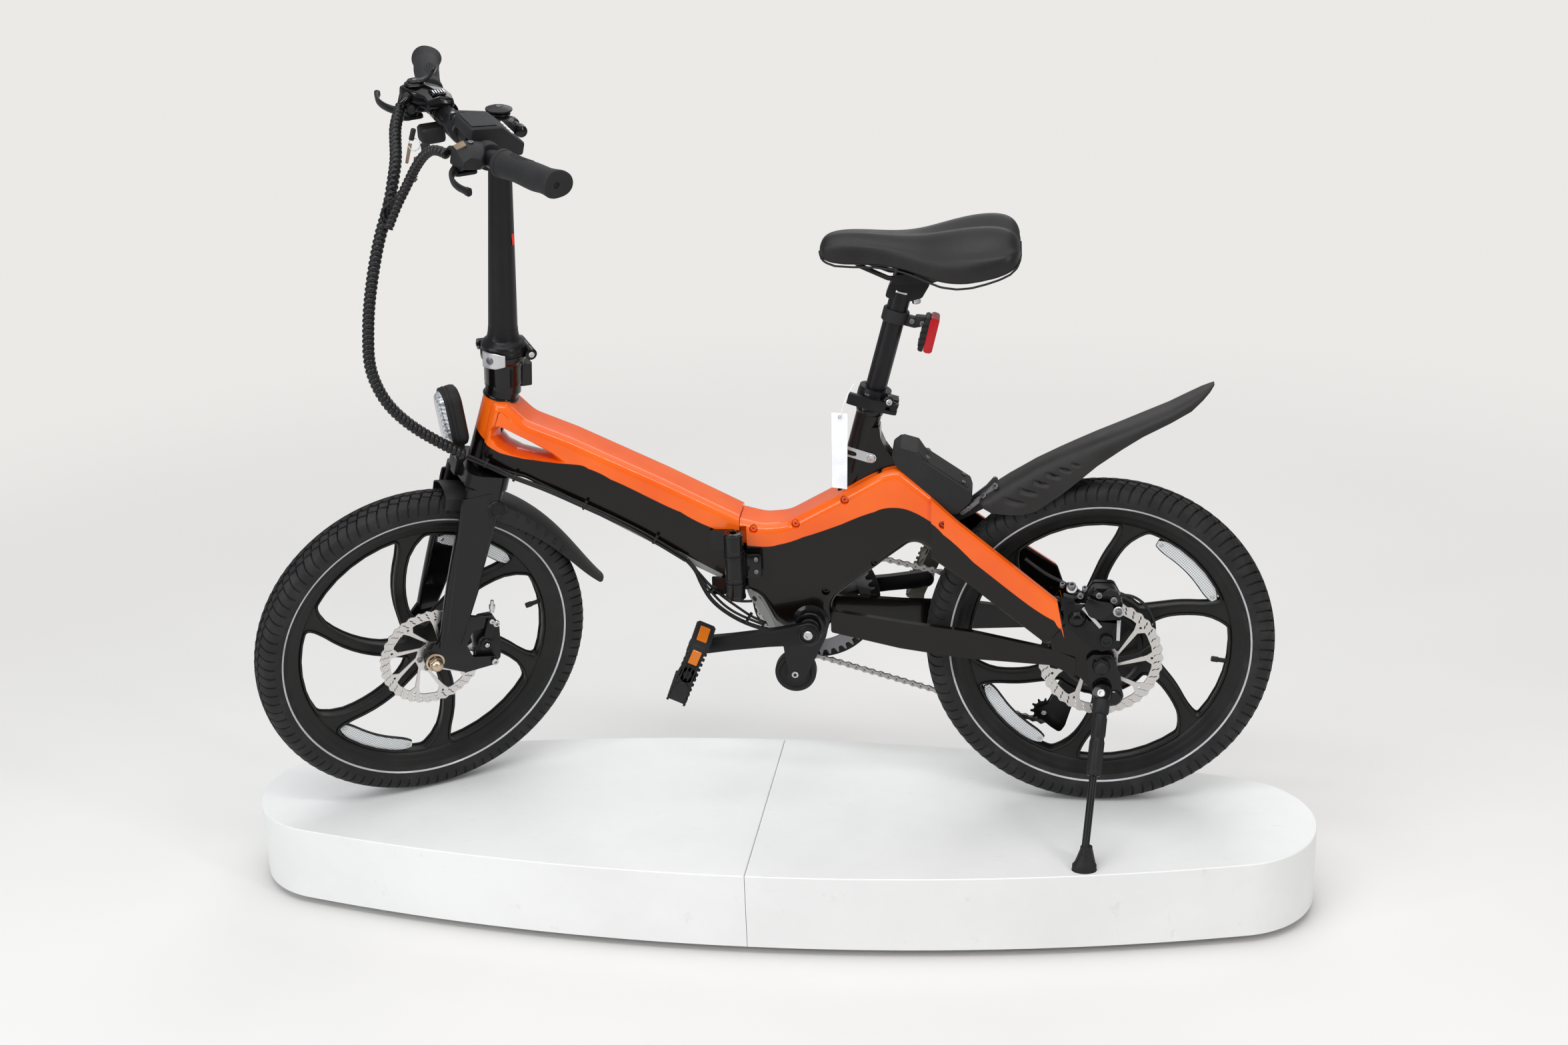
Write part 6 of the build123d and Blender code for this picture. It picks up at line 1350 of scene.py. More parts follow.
def blade_edges():
    """The fork blades' raised outer face with its bevelled rim, and the round ears."""
    bm = bmesh.new()
    for sign in (-1, 1):
        rows = []
        for z, front, rear, y in ((512, -447, -398, 55.6), (500, -451, -401, 55.6), (440, -462.6, -408, 57),
                (360, -480, -433, 62), (300, -494, -459, 66.4), (277, -501, -470, 68)):
            rows.append([(front + 3, sign * y, z), (rear - 6, sign * y, z), (rear - 3, sign * (y - 2.6), z),
                (rear - 6, sign * (y - 5), z), (front + 3, sign * (y - 5), z), (front + 1, sign * (y - 2.6),
                z)])
        loft(bm, rows)
    piece("blade_faces", bm, "gloss", "steering", 25)
    ears = bmesh.new()
    for sign in (-1, 1):
        spin(ears, (-398, sign * 50, 484), (0, sign, 0), [(0.01, 0), (10, 0), (14, 1), (14.6, 2), (14.6, 6),
            (13.4, 7.4), (10, 8), (8.8, 7), (0.01, 6.6)], 40)
    piece("guard_ears", ears, "satin", "steering")


def front_guard_slots():
    """A row of short slanted slots with raised rims along the front guard."""
    bm = bmesh.new()
    for index in range(9):
        angle = radians(66 - index * 4.6)
        x, z = swirl(FRONT_AXLE, 253 - index * 0.2, angle)
        along = Vector((cos(angle + 0.5), 0, sin(angle + 0.5)))
        for capped, rings in ((True, ((-0.4, 0), (0.5, 0))), (False, ((0.1, 2.2), (0.9, 1.4), (0.9, 0.4),
                (0.1, 0)))):
            loft(bm, [stadium((x, -31.4 - h, z), along, Vector(LEFT).cross(along), 9 + g, 3 + g, 6) for h,
                g in rings], capped)
    piece("front_guard_slots", bm, "guard", "steering")


def front_brake():
    """Front caliper: two-part body, adjuster, mounting screws, arm and barrel."""
    bm = bmesh.new()
    for low, high in ((-54, -46.4), (-43.6, -36)):
        body = side_outline([(-449, 230), (-412, 226), (-409, 244), (-409, 288), (-416, 303), (-438, 304),
            (-450, 290)], low)
        prism(bm, rounded(body, 4), (0, high - low, 0), 1.4, 2)
    spin(bm, (-434, -54, 266), LEFT, [(0.01, 0), (13, 0), (13, 8), (12, 9.4), (9.6, 10), (9.6, 13), (8.6, 14),
        (5.4, 14), (5, 12.8), (0.01, 12.6)], 36)
    arm = side_outline([(-438, 262), (-430, 262), (-417, 300), (-420, 309), (-428, 308), (-439, 272)], -66)
    prism(bm, rounded(arm, 3), (0, 4, 0), 0.8, 2)
    piece("front_caliper_body", bm, "satin", "steering", hides=("front_caliper",))
    bolts("front_caliper_screws", "steel", "steering", [((-434, -68, 266), LEFT, 3.6, 2), ((-416, -62, 297),
        LEFT, 5.2, 4.6), ((-423, -62, 231), LEFT, 5.2, 4.6), ((-423, -66, 304), LEFT, 4, 2.4)])
    lathe("front_cable_barrel", "steel", "steering", (-421, -63, 318), (0.1, 0, 1), [(0.01, 0), (3.6, 0.4),
        (3.6, 6), (4.6, 6.6), (4.6, 12), (3, 13), (2.6, 20), (0.01, 20.4)])


def axle_cap(name, look, axle, y, body, sign, radius):
    """Domed axle nut on a flanged washer."""
    x, z = axle
    bm = bmesh.new()
    spin(bm, (x, y, z), (0, sign, 0), [(radius + 3.4, 0), (radius + 3.6, 0.6), (radius + 3.2, 1.8),
        (radius + 0.5, 2.2)], 48)
    spin(bm, (x, y + sign * 2, z), (0, sign, 0), [(radius + 0.5, 0), (radius + 0.5, 8), (radius - 0.5, 9)], 48,
        hexed=(0, 1, 2))
    spin(bm, (x, y + sign * 10.6, z), (0, sign, 0), [(radius - 1.4, 0), (radius - 1.8, 3), (radius - 4, 6),
        (radius - 7.4, 7.6), (0.01, 8)], 48)
    piece(name, bm, look, body)


def reflector(name, axle, middle, body, spread=20, radius=178, y=-2):
    """Curved spoke reflector: black tray, prism lens and its two screws."""
    bm, lens = bmesh.new(), bmesh.new()
    for target, low, high, grow in ((bm, -3.6, 0.6, 0.6), (lens, -5.2, -3.4, -1.2)):
        rows = []
        for step in range(17):
            t = -1 + step / 8
            angle = radians(middle + spread * t)
            inner = radius - 11 - grow + 3.0 * abs(t) ** 6 * 2
            outer = radius + 11 + grow - 3.0 * abs(t) ** 6 * 2
            rows.append([(axle[0] + r * cos(angle), y + h, axle[1] + r * sin(angle)) for r, h in ((inner, low),
                (outer, low), (outer, high), (inner, high))])
        loft(target, rows)
    piece(f"{name}_tray", bm, "matte", body, 30)
    piece(f"{name}_lens", lens, "mesh", body, 30)
    ends = [((axle[0] + radius * cos(a), y - 5.2, axle[1] + radius * sin(a)), LEFT, 2.6, 1.2)
            for a in (radians(middle - spread * 0.9), radians(middle + spread * 0.9))]
    bolts(f"{name}_screws", "steel", body, ends)


def valve(name, axle, angle, body, radius=192):
    a = radians(angle)
    inward = Vector((-cos(a), 0, -sin(a)))
    spot = (axle[0] + radius * cos(a), 0, axle[1] + radius * sin(a))
    lathe(name, "matte", body, spot, inward, [(4, -6), (4, 6), (3.4, 7), (3.4, 16), (4.2, 16.6), (4.2, 25),
        (3.6, 26.4), (0.01, 26.8)], 24)


headlight()
head_details()
blade_edges()
front_guard_slots()
front_brake()
for end, side, look, axle, y, body, sign, radius in (
        ("front_axle_cap", "", "champagne", FRONT_AXLE, -61.2, "steering", -1, 11),
        ("front_axle_cap", "_right", "dark_steel", FRONT_AXLE, 61.2, "steering", 1, 11),
        ("rear_axle_nut", "", "matte", REAR_AXLE, -82.2, "rear_frame", -1, 12),
        ("rear_axle_nut", "_right", "matte", REAR_AXLE, 76.2, "rear_frame", 1, 12)):
    axle_cap(end + side, look, axle, y, body, sign, radius)
reflector("front_reflector_rear", FRONT_AXLE, 58, "front_wheel")
reflector("front_reflector_front", FRONT_AXLE, 238, "front_wheel")
reflector("rear_reflector", REAR_AXLE, 43, "rear_wheel")
reflector("rear_reflector_low", REAR_AXLE, 223, "rear_wheel")
valve("front_valve", FRONT_AXLE, 7, "front_wheel")
valve("rear_valve", REAR_AXLE, -9, "rear_wheel")


# ---------------------------------------------------------------- cranks, chain and gears
BB = (84, 300)
PITCH = 12.7
CHAIN_Y = 45.4
RING_R, COG_R, PULLEY_R = 44 * PITCH / (2 * pi), 16 * PITCH / (2 * pi), 18
GUIDE, TENSION = (478, 196), (426, 119)
CRANK_ENDS = {sign: swirl(BB, -sign * 165, radians(187)) for sign, _ in SIDES}
M["chain_steel"] = steel("chain_steel", (0.44, 0.43, 0.42), 0.34)


def chain_run():
    """Points every half pitch round the chainring, sprocket, guide and tension pulleys."""
    circles = [(*BB, RING_R), (*REAR_AXLE, COG_R), (*GUIDE, -PULLEY_R), (*TENSION, PULLEY_R)]
    headings = []
    for (x1, z1, q1), (x2, z2, q2) in zip(circles, circles[1:] + circles[:1]):
        headings.append(atan2(z2 - z1, x2 - x1) + math.acos((q1 - q2) / hypot(x2 - x1, z2 - z1)))
    line = []
    for index, (x, z, q) in enumerate(circles):
        came, goes = headings[index - 1], headings[index]
        sense = 1 if q > 0 else -1
        swing = (sense * (came - goes)) % (2 * pi)
        steps = max(4, int(swing * abs(q) / 1.5))
        for step in range(steps + 1):
            angle = came - sense * swing * step / steps
            line.append(Vector((x + q * cos(angle), 0, z + q * sin(angle))))
    line.append(line[0].copy())
    total = run_length(line)
    count = round(total / PITCH)
    return resample(line, total / (2 * count) + 1e-6)[:2 * count]


def make_chain_links():
    """Roller chain: waisted plates, wide and narrow in turn, with pin heads and rollers."""
    spots = chain_run()
    bm, pins = bmesh.new(), bmesh.new()
    for link in range(len(spots) // 2):
        a, b = spots[2 * link], spots[(2 * link + 2) % len(spots)]
        middle = (a + b) / 2
        along = (b - a).normalized()
        up = Vector((-along.z, 0, along.x))
        outer = link % 2 == 0
        half = (b - a).length / 2
        outline = []
        for end in (1, -1):
            for step in range(7):
                angle = -pi / 2 + pi * step / 6
                outline.append(middle + along * end * (half + 4.1 * cos(angle)) + up * end * 4.1 * sin(angle))
            outline.append(middle + up * end * 2.2)
        for y in (-3.0, 2.2) if outer else (-2.0, 1.2):
            loft(bm, [[p + Vector((0, CHAIN_Y + y + h, 0)) for p in outline] for h in (0, 0.8)])
        spin(pins, a + Vector((0, CHAIN_Y - 3.9, 0)), RIGHT, [(0.01, 0), (1.7, 0.2), (1.8, 7.6), (0.01, 7.8)],
            8)
        spin(bm, a + Vector((0, CHAIN_Y - 1.6, 0)), RIGHT, [(3.7, 0), (3.7, 3.2)], 10)
    piece("chain_links", bm, "chain_steel", "rear_frame", 30, ("chain",))
    piece("chain_pins", pins, "dark_steel", "rear_frame", 30)


def toothed_into(bm, centre, teeth, root, tip, y, thickness, hole):
    outline, inner = [], []
    for tooth in range(teeth):
        for part, r in ((0.0, root), (0.22, root), (0.42, tip), (0.58, tip), (0.78, root)):
            angle = 2 * pi * (tooth + part) / teeth
            outline.append((centre[0] + r * cos(angle), centre[1] + r * sin(angle)))
            inner.append((centre[0] + hole * cos(angle), centre[1] + hole * sin(angle)))
    rings = [[(x, y + h, z) for x, z in loop] for loop, h in ((inner, -thickness / 2),
        (outline, -thickness / 2), (outline, thickness / 2), (inner, thickness / 2), (inner, -thickness / 2))]
    loft(bm, rings, False)


def crank_arm(sign, side, end):
    """Forged arm: rounded edges, a slim waist, domed ends and a shallow panel on its face."""
    centre, tip = Vector((BB[0], 0, BB[1])), Vector((end[0], 0, end[1]))
    along = (tip - centre).normalized()
    up = Vector((-along.z, 0, along.x))
    length = (tip - centre).length
    outline = []
    for step in range(15):
        angle = pi / 2 + pi * step / 14
        outline.append(centre + along * 18 * cos(angle) + up * 18 * sin(angle))
    for run, half in ((22, 14.6), (60, 12.2), (110, 11.4), (length - 14, 12.2)):
        outline.append(centre + along * run - up * half)
    for step in range(13):
        angle = -pi / 2 + pi * step / 12
        outline.append(tip + along * 13 * cos(angle) + up * 13 * sin(angle))
    for run, half in ((length - 14, 12.2), (110, 11.4), (60, 12.2), (22, 14.6)):
        outline.append(centre + along * run + up * half)
    bm = bmesh.new()
    low = sign * 76
    prism(bm, [p + Vector((0, low, 0)) for p in outline], (0, sign * 12, 0), 2.6, 3)
    spin(bm, centre + Vector((0, sign * 87.6, 0)), (0, sign, 0), [(15, 0), (14.6, 1.6), (12.5, 2.8),
        (11.4, 2.8), (10.8, 1.2), (0.01, 1.0)], 40)
    spin(bm, tip + Vector((0, sign * 87.6, 0)), (0, sign, 0), [(11, 0), (10.4, 1.4), (8, 2), (7, 6), (6, 8),
        (6, 20)], 32)
    panel = [centre + along * run + up * way * half for way, runs in ((1, ((26, 8), (length - 22, 6.4))),
        (-1, ((length - 22, 6.4), (26, 8)))) for run, half in runs]
    rim = rounded([p + Vector((0, sign * 87.4, 0)) for p in panel], 5, 4)
    sweep(bm, [place(*p) for p in [*rim, rim[0]]], lambda run, angle: 0.9, 6, closed_ends=False)
    piece(f"{side}_crank_arm", bm, "satin", "crank")
    bolts(f"{side}_crank_bolt", "steel", "crank", [((BB[0], sign * 88.6, BB[1]), (0, sign, 0), 7, 3.4)])


def chainset():
    bm = bmesh.new()
    toothed_into(bm, BB, 44, RING_R - 5.5, RING_R + 2.4, CHAIN_Y, 3, RING_R - 22)
    for arm in range(5):
        angle = radians(20 + 72 * arm)
        along, up = Vector((cos(angle), 0, sin(angle))), Vector((-sin(angle), 0, cos(angle)))
        centre = Vector((BB[0], CHAIN_Y + 1.4, BB[1]))
        outline = [centre + along * r + up * w for r, w in ((14, -10), (40, -6), (RING_R - 16, -7),
            (RING_R - 14, 7), (40, 6), (14, 10))]
        prism(bm, rounded(outline, 3), (0, 4, 0), 0.8, 2)
    spin(bm, (BB[0], CHAIN_Y - 4, BB[1]), RIGHT, [(0.01, 0), (20, 0), (21, 1), (21, 12), (18, 14), (16, 30),
        (0.01, 30)], 48)
    piece("chainring", bm, "dark_steel", "crank", 30)
    piece("chain_guard", spin(bmesh.new(), (BB[0], CHAIN_Y + 4.6, BB[1]), RIGHT, [(RING_R - 16, 0),
        (RING_R + 7, 0), (RING_R + 8, 0.8), (RING_R + 8, 2.6), (RING_R + 7, 3.4), (RING_R - 14, 3.4),
        (RING_R - 16, 0)], 96), "matte", "crank")
    piece("spindle_sleeve", spin(bmesh.new(), (BB[0], -76, BB[1]), RIGHT, [(0.01, 0), (14, 0), (15, 1),
        (15, 12), (12, 14), (8.4, 15), (8.4, 138), (14, 140), (14, 152), (0.01, 152)], 40), "dark_steel",
        "crank", hides=("crankset",))
    bolts("chainring_bolts", "steel", "crank", [((BB[0] + 66 * cos(radians(20 + 72 * k)), CHAIN_Y + 5.2,
        BB[1] + 66 * sin(radians(20 + 72 * k))), RIGHT, 4.4, 1.8) for k in range(5)])


PEDAL_FLAT = radians(66)


def pedal(sign, side, end):
    """Cage pedal: toothed frame round a finned barrel, reflectors in both faces."""
    along = Vector((cos(PEDAL_FLAT), 0, sin(PEDAL_FLAT)))
    up = Vector((-sin(PEDAL_FLAT), 0, cos(PEDAL_FLAT)))
    middle = Vector((end[0], sign * (88 + 8 + 45), end[1]))
    across = Vector(RIGHT)
    bm = bmesh.new()

    def bar(a, b, c, d, e, f, bevel=1.6):
        corners = [middle + along * u + across * v + up * e for u, v in ((a, c), (b, c), (b, d), (a, d))]
        prism(bm, rounded(corners, 3), up * (f - e), bevel, 2)

    for u in (-47, 36):
        bar(u, u + 11, -43, 43, -12, 12)
    for v in (-44, 36):
        bar(-44, 44, v, v + 8, -11, 11)
    for v in (-19, 11):
        bar(-44, 44, v, v + 6, -8, 8, 1)
    spin(bm, middle - across * 44, RIGHT, [(6.2, 0), (12, 0), (13, 1), (13, 8), (10.6, 10), (10.6, 34),
        (12.4, 36), (12.4, 52), (10.6, 54), (10.6, 78), (13, 80), (13, 87), (12, 88), (6.2, 88)], 32)
    for edge in (-47, 47):
        for tooth in range(9):
            v = -38 + tooth * 9.5
            for face in (-1, 1):
                tip = middle + along * (edge - math.copysign(4, edge)) + across * v + up * face * 12
                loft(bm, [[tip + along * a + across * b for a, b in ((-3, -2.4), (3, -2.4), (3, 2.4),
                    (-3, 2.4))], [tip + up * face * 2.6 + along * a + across * b for a, b in ((-1.6, -1),
                    (1.6, -1), (1.6, 1), (-1.6, 1))]])
    outer = sign * 45
    for u, v in [(-47 + 8.5 * k, w) for k in range(12) for w in (-12, 12)]:
        knob = middle + along * u + across * (outer - sign * 4) + up * v
        spin(bm, knob, up * math.copysign(1, v), [(2.6, -1), (2.6, 1.4), (1.8, 2.4), (0.01, 2.5)], 8)
    for v in (-8.6, -2.9, 2.9, 8.6):
        corners = [middle + along * u + across * outer + up * w for u, w in ((-8, v - 1), (17, v - 1),
            (17, v + 1), (-8, v + 1))]
        prism(bm, corners, across * sign * 1.6, 0.4, 1)
    spin(bm, middle - along * 21 + across * (outer - sign * 0.4), (0, sign, 0), [(8.4, -3), (8.6, 1),
        (7.4, 2.4), (4, 3), (0.01, 3)], 28)
    piece(f"{side}_pedal_cage", bm, "matte" if sign < 0 else "olive", f"{side}_pedal", 30, (f"{side}_pedal",))
    lens = bmesh.new()
    end_face = middle + along * 30 + across * (outer + sign * 0.2)
    loft(lens, [oblong(end_face + across * sign * h, along, up, 11 - g, 6.6 - g, 1.2) for h, g in ((-0.8, 0),
        (1, 0), (1.6, 0.6))])
    for edge in (-47.4, 47.4):
        out = math.copysign(1, edge)
        face = middle + along * edge
        loft(lens, [oblong(face + along * out * h, across, up, 24 - g, 7.4 - g, 1.5) for h, g in ((-0.8, 0),
            (0.7, 0), (1.2, 0.6))])
    piece(f"{side}_pedal_reflectors", lens, "amber", f"{side}_pedal", 30)


def bottom_bracket_details():
    piece("bottom_bracket_cup", spin(bmesh.new(), (BB[0], -39, BB[1]), LEFT, [(27, 0), (27, 1.6), (24.6, 3),
        (22.4, 4), (22.4, 20), (21, 21.4), (17, 22), (15.6, 21)], 56), "gloss", "rear_frame")
    strut = bmesh.new()
    for low in (-22.4, 3.4):
        slab(strut, [(40, 292), (112, 292), (91, 254), (67, 207), (56, 194), (46, 206), (40, 251)], low, 3.2,
            [4, 4, 20, 6, 9, 6, 20], 0.9)
    piece("support_fork", strut, "gloss", "rear_frame", 30)
    bolts("support_axle_bolt", "steel", "rear_frame", [((56, -22.6, 207), LEFT, 5.2, 3)])
    wheel = bmesh.new()
    rows = [(4.2, -10.2), (12, -10.2), (12.6, -9), (22, -8.4), (24.4, -10.4), (28, -10.6), (30.4, -9), (31, -6),
        (31, 6), (30.4, 9), (28, 10.6), (24.4, 10.4), (22, 8.4), (12.6, 9), (12, 10.2), (4.2, 10.2)]
    spin(wheel, (56, -8, 207), RIGHT, rows, 64)
    piece("support_roller", wheel, "matte", "support_wheel", 30, ("support_wheel",))


def derailleur():
    """Cage plates, toothed pulleys, body with its knuckle and the spring's cover."""
    for name, spot, body in (("guide", GUIDE, "guide_pulley"), ("tension", TENSION, "tension_pulley")):
        bm = bmesh.new()
        toothed_into(bm, spot, 11, 15.4, 20.4, CHAIN_Y, 2.4, 9)
        spin(bm, (spot[0], CHAIN_Y - 3, spot[1]), RIGHT, [(3.1, 0), (9.4, 0), (9.4, 6), (3.1, 6)], 32)
        piece(f"{name}_pulley_teeth", bm, "matte", body, 30, (body,))
    cage = bmesh.new()
    for y in (CHAIN_Y - 6.6, CHAIN_Y + 4.8):
        outline = [(GUIDE[0] - 11, GUIDE[1] + 6), (GUIDE[0] + 2, GUIDE[1] + 12), (GUIDE[0] + 12, GUIDE[1] + 2),
            (GUIDE[0] + 2, GUIDE[1] - 26), (TENSION[0] + 32, TENSION[1] - 22), (TENSION[0] + 24,
            TENSION[1] - 34), (TENSION[0] + 10, TENSION[1] - 24), (TENSION[0] - 8, TENSION[1] - 8),
            (TENSION[0] - 10, TENSION[1] + 6), (TENSION[0] + 6, TENSION[1] + 14)]
        slab(cage, outline, y, 1.8, 5, 0.5)
    piece("pulley_cage", cage, "satin", "rear_frame", 30)
    bolts("pulley_screws", "steel", "rear_frame", [((TENSION[0], CHAIN_Y - 6.8, TENSION[1]), LEFT, 4, 2),
        ((GUIDE[0], CHAIN_Y - 6.8, GUIDE[1]), LEFT, 4, 2)])
    body = bmesh.new()
    slab(body, [(466, 200), (474, 214), (500, 234), (512, 226), (500, 200), (484, 186)], 56, 14, 6, 2.4, 3)
    spin(body, (499, 58, 224), RIGHT, [(0.01, 0), (9, 0), (10, 1), (10, 13), (8.6, 15), (5, 15.6),
        (0.01, 15.6)], 32)
    piece("derailleur_body", body, "satin", "rear_frame", hides=("derailleur",))
    cog = bmesh.new()
    toothed_into(cog, REAR_AXLE, 16, COG_R - 4.5, COG_R + 2.6, CHAIN_Y, 2.6, 18)
    spin(cog, (REAR_AXLE[0], 41, REAR_AXLE[1]), RIGHT, [(5.9, 0), (19, 0), (20, 1), (20, 9), (17, 10), (17, 14),
        (5.9, 15)], 40)
    piece("sprocket_teeth", cog, "dark_steel", "sprocket", 30, ("freewheel_sprocket",))


make_chain_links()
chainset()
for make in (crank_arm, pedal):
    for sign, side in SIDES:
        make(sign, side, CRANK_ENDS[sign])
bottom_bracket_details()
derailleur()


# ---------------------------------------------------------------- rear guard, controller, brake and side stand
def between(table, x):
    """Straight-line reading of a table of (x, value, ...) rows."""
    for low, high in zip(table, table[1:]):
        if x <= high[0]:
            share = (x - low[0]) / (high[0] - low[0])
            return [a + (b - a) * share for a, b in zip(low[1:], high[1:])]
    return list(table[-1][1:])


# x, roof height, skirt's lower edge, half width
GUARD_ROWS = [(330.5, 484, 479, 22), (336, 489, 473, 27), (348, 497, 467, 31), (374, 515, 465, 33),
    (394, 527, 466, 34), (412, 538, 472, 34), (446, 555, 496, 34), (472, 567, 518, 34), (497, 578, 540, 34),
    (531, 592, 564, 33), (559, 604, 582, 32), (598, 621, 602, 30), (626, 636, 618, 27), (642, 645, 632, 20),
    (652, 650, 642, 13), (658, 653, 650, 6)]
DENT_TILT = radians(-14)
DENTS = [(380, 483, 18.5), (400, 498, 15), (418, 511, 12.5), (435, 523, 11.5), (452, 532, 9.5), (467, 540, 7)]


def dent_depth(x, z):
    """How far the skirt is pressed in at this place: sharp along the top of each dent, fading below."""
    depth = 0
    for cx, cz, half in DENTS:
        u = (x - cx) * cos(DENT_TILT) + (z - cz) * sin(DENT_TILT)
        v = (z - cz) * cos(DENT_TILT) - (x - cx) * sin(DENT_TILT)
        tall = half * 0.3
        if abs(u) < half and abs(v) < tall:
            round_off = 1 - (u / half) ** 2
            depth = max(depth, 5 * round_off * min(1, (v / tall + 1) / 1.5) * min(1, (1 - v / tall) * 4))
    return depth


def rear_guard():
    bm = bmesh.new()
    across, rows = 92, []
    for step in range(206):
        x = 330.5 + 327.5 * step / 205
        roof, edge, half = between(GUARD_ROWS, x)
        outer, inner = [], []
        for k in range(across + 1):
            a = pi * k / across
            c, s = cos(a), sin(a)
            y = -half * math.copysign(abs(c) ** 0.62, c)
            z = edge + (roof - edge) * abs(s) ** 0.8
            press = dent_depth(x, z) if abs(c) > 0.5 else 0
            outer.append((x, y - math.copysign(press, y), z))
            inner.append((x, (y - math.copysign(press, y)) * (1 - 2.2 / half), z - 2.2 * s))
        rows.append(outer + inner[::-1])
    loft(bm, rows)
    slab(bm, [(262, 456), (262, 450), (300, 447), (343, 470), (343, 482), (337, 482), (296, 455)], -9, 18, 2,
        0.8, 1)
    piece("rear_guard_shell", bm, "guard", "rear_frame", 40, ("rear_mudguard",))
    stay = bmesh.new()
    for y in (-16, 12):
        slab(stay, [(300, 462), (306, 458), (345, 490), (358, 504), (352, 508), (340, 494)], y, 4, 2, 0.8, 1)
    piece("rear_guard_stay", stay, "dark_steel", "rear_frame", 30)
    bolts("rear_guard_screws", "dark_steel", "rear_frame", [((337, -17, 488), (-0.5, -0.5, 0.7), 4.4, 3),
        ((354, -19, 503), (-0.5, -0.5, 0.7), 4.4, 3), ((315, -16, 470), LEFT, 4, 2.5)])


def controller():
    """Faceted housing with a lid seam and its lid screws."""
    bm = bmesh.new()
    outline = rounded(side_outline([(206, 557), (219, 567), (243, 560), (252, 546), (317, 501), (321, 488),
        (296, 464), (286, 472), (212, 540)], -33), [3, 5, 5, 4, 5, 5, 4, 3, 3])
    prism(bm, outline, (0, 66, 0), 7, 4)
    lid = rounded(side_outline([(222, 565.5), (244, 559), (253, 546), (316, 503), (311, 497), (249, 538),
        (238, 552), (222, 558)], -24), 2)
    prism(bm, lid, (0, 48, 0), 1.4, 2)
    piece("controller_housing", bm, "box", "rear_frame", hides=("controller_box",))
    bolts("controller_screws", "dark_steel", "rear_frame", [((255 + 0.57 * 4, y, 547.4), (0.57, 0, 0.82), 3.4,
        1.6) for y in (-17, 17)] + [((308, y, 510), (0.57, 0, 0.82), 3.4, 1.6) for y in (-17, 17)])


def rear_brake():
    """Rear caliper: body halves, cover, actuator arm, adjusters, adaptor plate, bolts and silver rings; light
    strips along the adaptor plate's edges are painted highlights.
    """
    bm = bmesh.new()
    half = [(482, 322), (530, 318), (534, 348), (522, 372), (492, 372), (481, 352)]
    for low, high in ((-80, -60), (-54, -46)):
        slab(bm, half, low, high - low, 5, 1.8)
    slab(bm, [(450, 318), (452, 350), (478, 346), (500, 322), (529, 324), (531, 281), (505, 274), (483, 286)],
        -80, 4.5, 4, 1)
    slab(bm, [(446, 338), (463, 334), (467, 352), (450, 359)], -78, 16, 2, 1.4)
    piece("rear_caliper_body", bm, "satin", "rear_frame", hides=("rear_caliper",))
    cover = bmesh.new()
    slab(cover, [(480, 346), (484, 362), (499, 356), (519, 353), (522, 342), (513, 333), (502, 327),
        (487, 331)], -88, 8, 4, 2.2, 3)
    slab(cover, [(489, 364), (494, 373), (505, 368.5), (516, 373), (527, 369), (532, 359), (527, 349),
        (520, 350), (521, 358), (512, 364), (500, 362)], -87, 6, 2.4, 1.4)
    spin(cover, (470, -76, 325), LEFT, [(0.01, 0), (13, 0), (13.4, 2), (12.4, 6), (9, 9), (8.6, 7.6), (5, 7.4),
        (4.6, 9.8), (3, 10.4), (0.01, 10.4)], 40)
    spin(cover, (512, -80, 293), LEFT, [(0.01, 0), (9.4, 0), (9.6, 4), (8.4, 6.4), (5, 6.6), (4.4, 4.4),
        (0.01, 4.2)], 36)
    piece("rear_caliper_cover", cover, "gloss", "rear_frame", 40)
    silver_rings_and_highlights = bmesh.new()
    # The two light strips along the adaptor plate's edges are painted highlights; the two rings after them are
    # silver parts.
    for a, b in (((478, 343), (504, 312)), ((529, 324), (528, 292))):
        run = Vector((b[0] - a[0], 0, b[1] - a[1]))
        wide = Vector((-run.z, 0, run.x)).normalized() * 2.8
        ends = [Vector((a[0], -82.4, a[1])), Vector((b[0], -82.4, b[1]))]
        prism(silver_rings_and_highlights, [ends[0] - wide, ends[1] - wide, ends[1] + wide, ends[0] + wide], (0, 2.4, 0), 0.7, 2)
    spin(silver_rings_and_highlights, (528, -86, 340), LEFT, [(4.6, 0), (7.6, 0.4), (8, 1.4), (8, 3), (7, 4), (4.6, 4)], 32)
    spin(silver_rings_and_highlights, (462, -74, 368), (0, -0.5, 0.87), [(0.01, 0), (5, 0), (8, 1), (8.4, 2.4), (7.6, 4), (5, 4.6),
        (0.01, 4.6)], 32)
    piece("rear_caliper_rings_and_highlights", silver_rings_and_highlights, "steel", "rear_frame")
    bolts("rear_caliper_screws", "dark_steel", "rear_frame", [((500, -87, 365), LEFT, 4.6, 3.6),
        ((521, -87, 358), LEFT, 5, 4), ((528, -90, 340), LEFT, 5, 3.4), ((462, -77, 373), (0, -0.5, 0.87), 5.4,
        6), ((474, -80, 362), LEFT, 4.6, 5), ((480, -84, 372), (0, -0.5, 0.87), 4, 5), ((449, -66, 370),
        (0, -0.5, 0.87), 4, 6)])
    wire("motor_lead", "cable", "rear_frame", [(522, -66, 356), (540, -64, 357), (558, -60, 348),
        (574, -55, 329), (583, -50.5, 303), (580, -49, 276), (562, -49, 258), (536, -50, 252), (516, -54, 253)],
        2.1)
    wire("rear_brake_hose", "cable", "rear_frame", [(462, -68, 366), (456, -64, 372), (440, -60, 378),
        (420, -56.5, 388), (396, -49, 405)], 2.4)


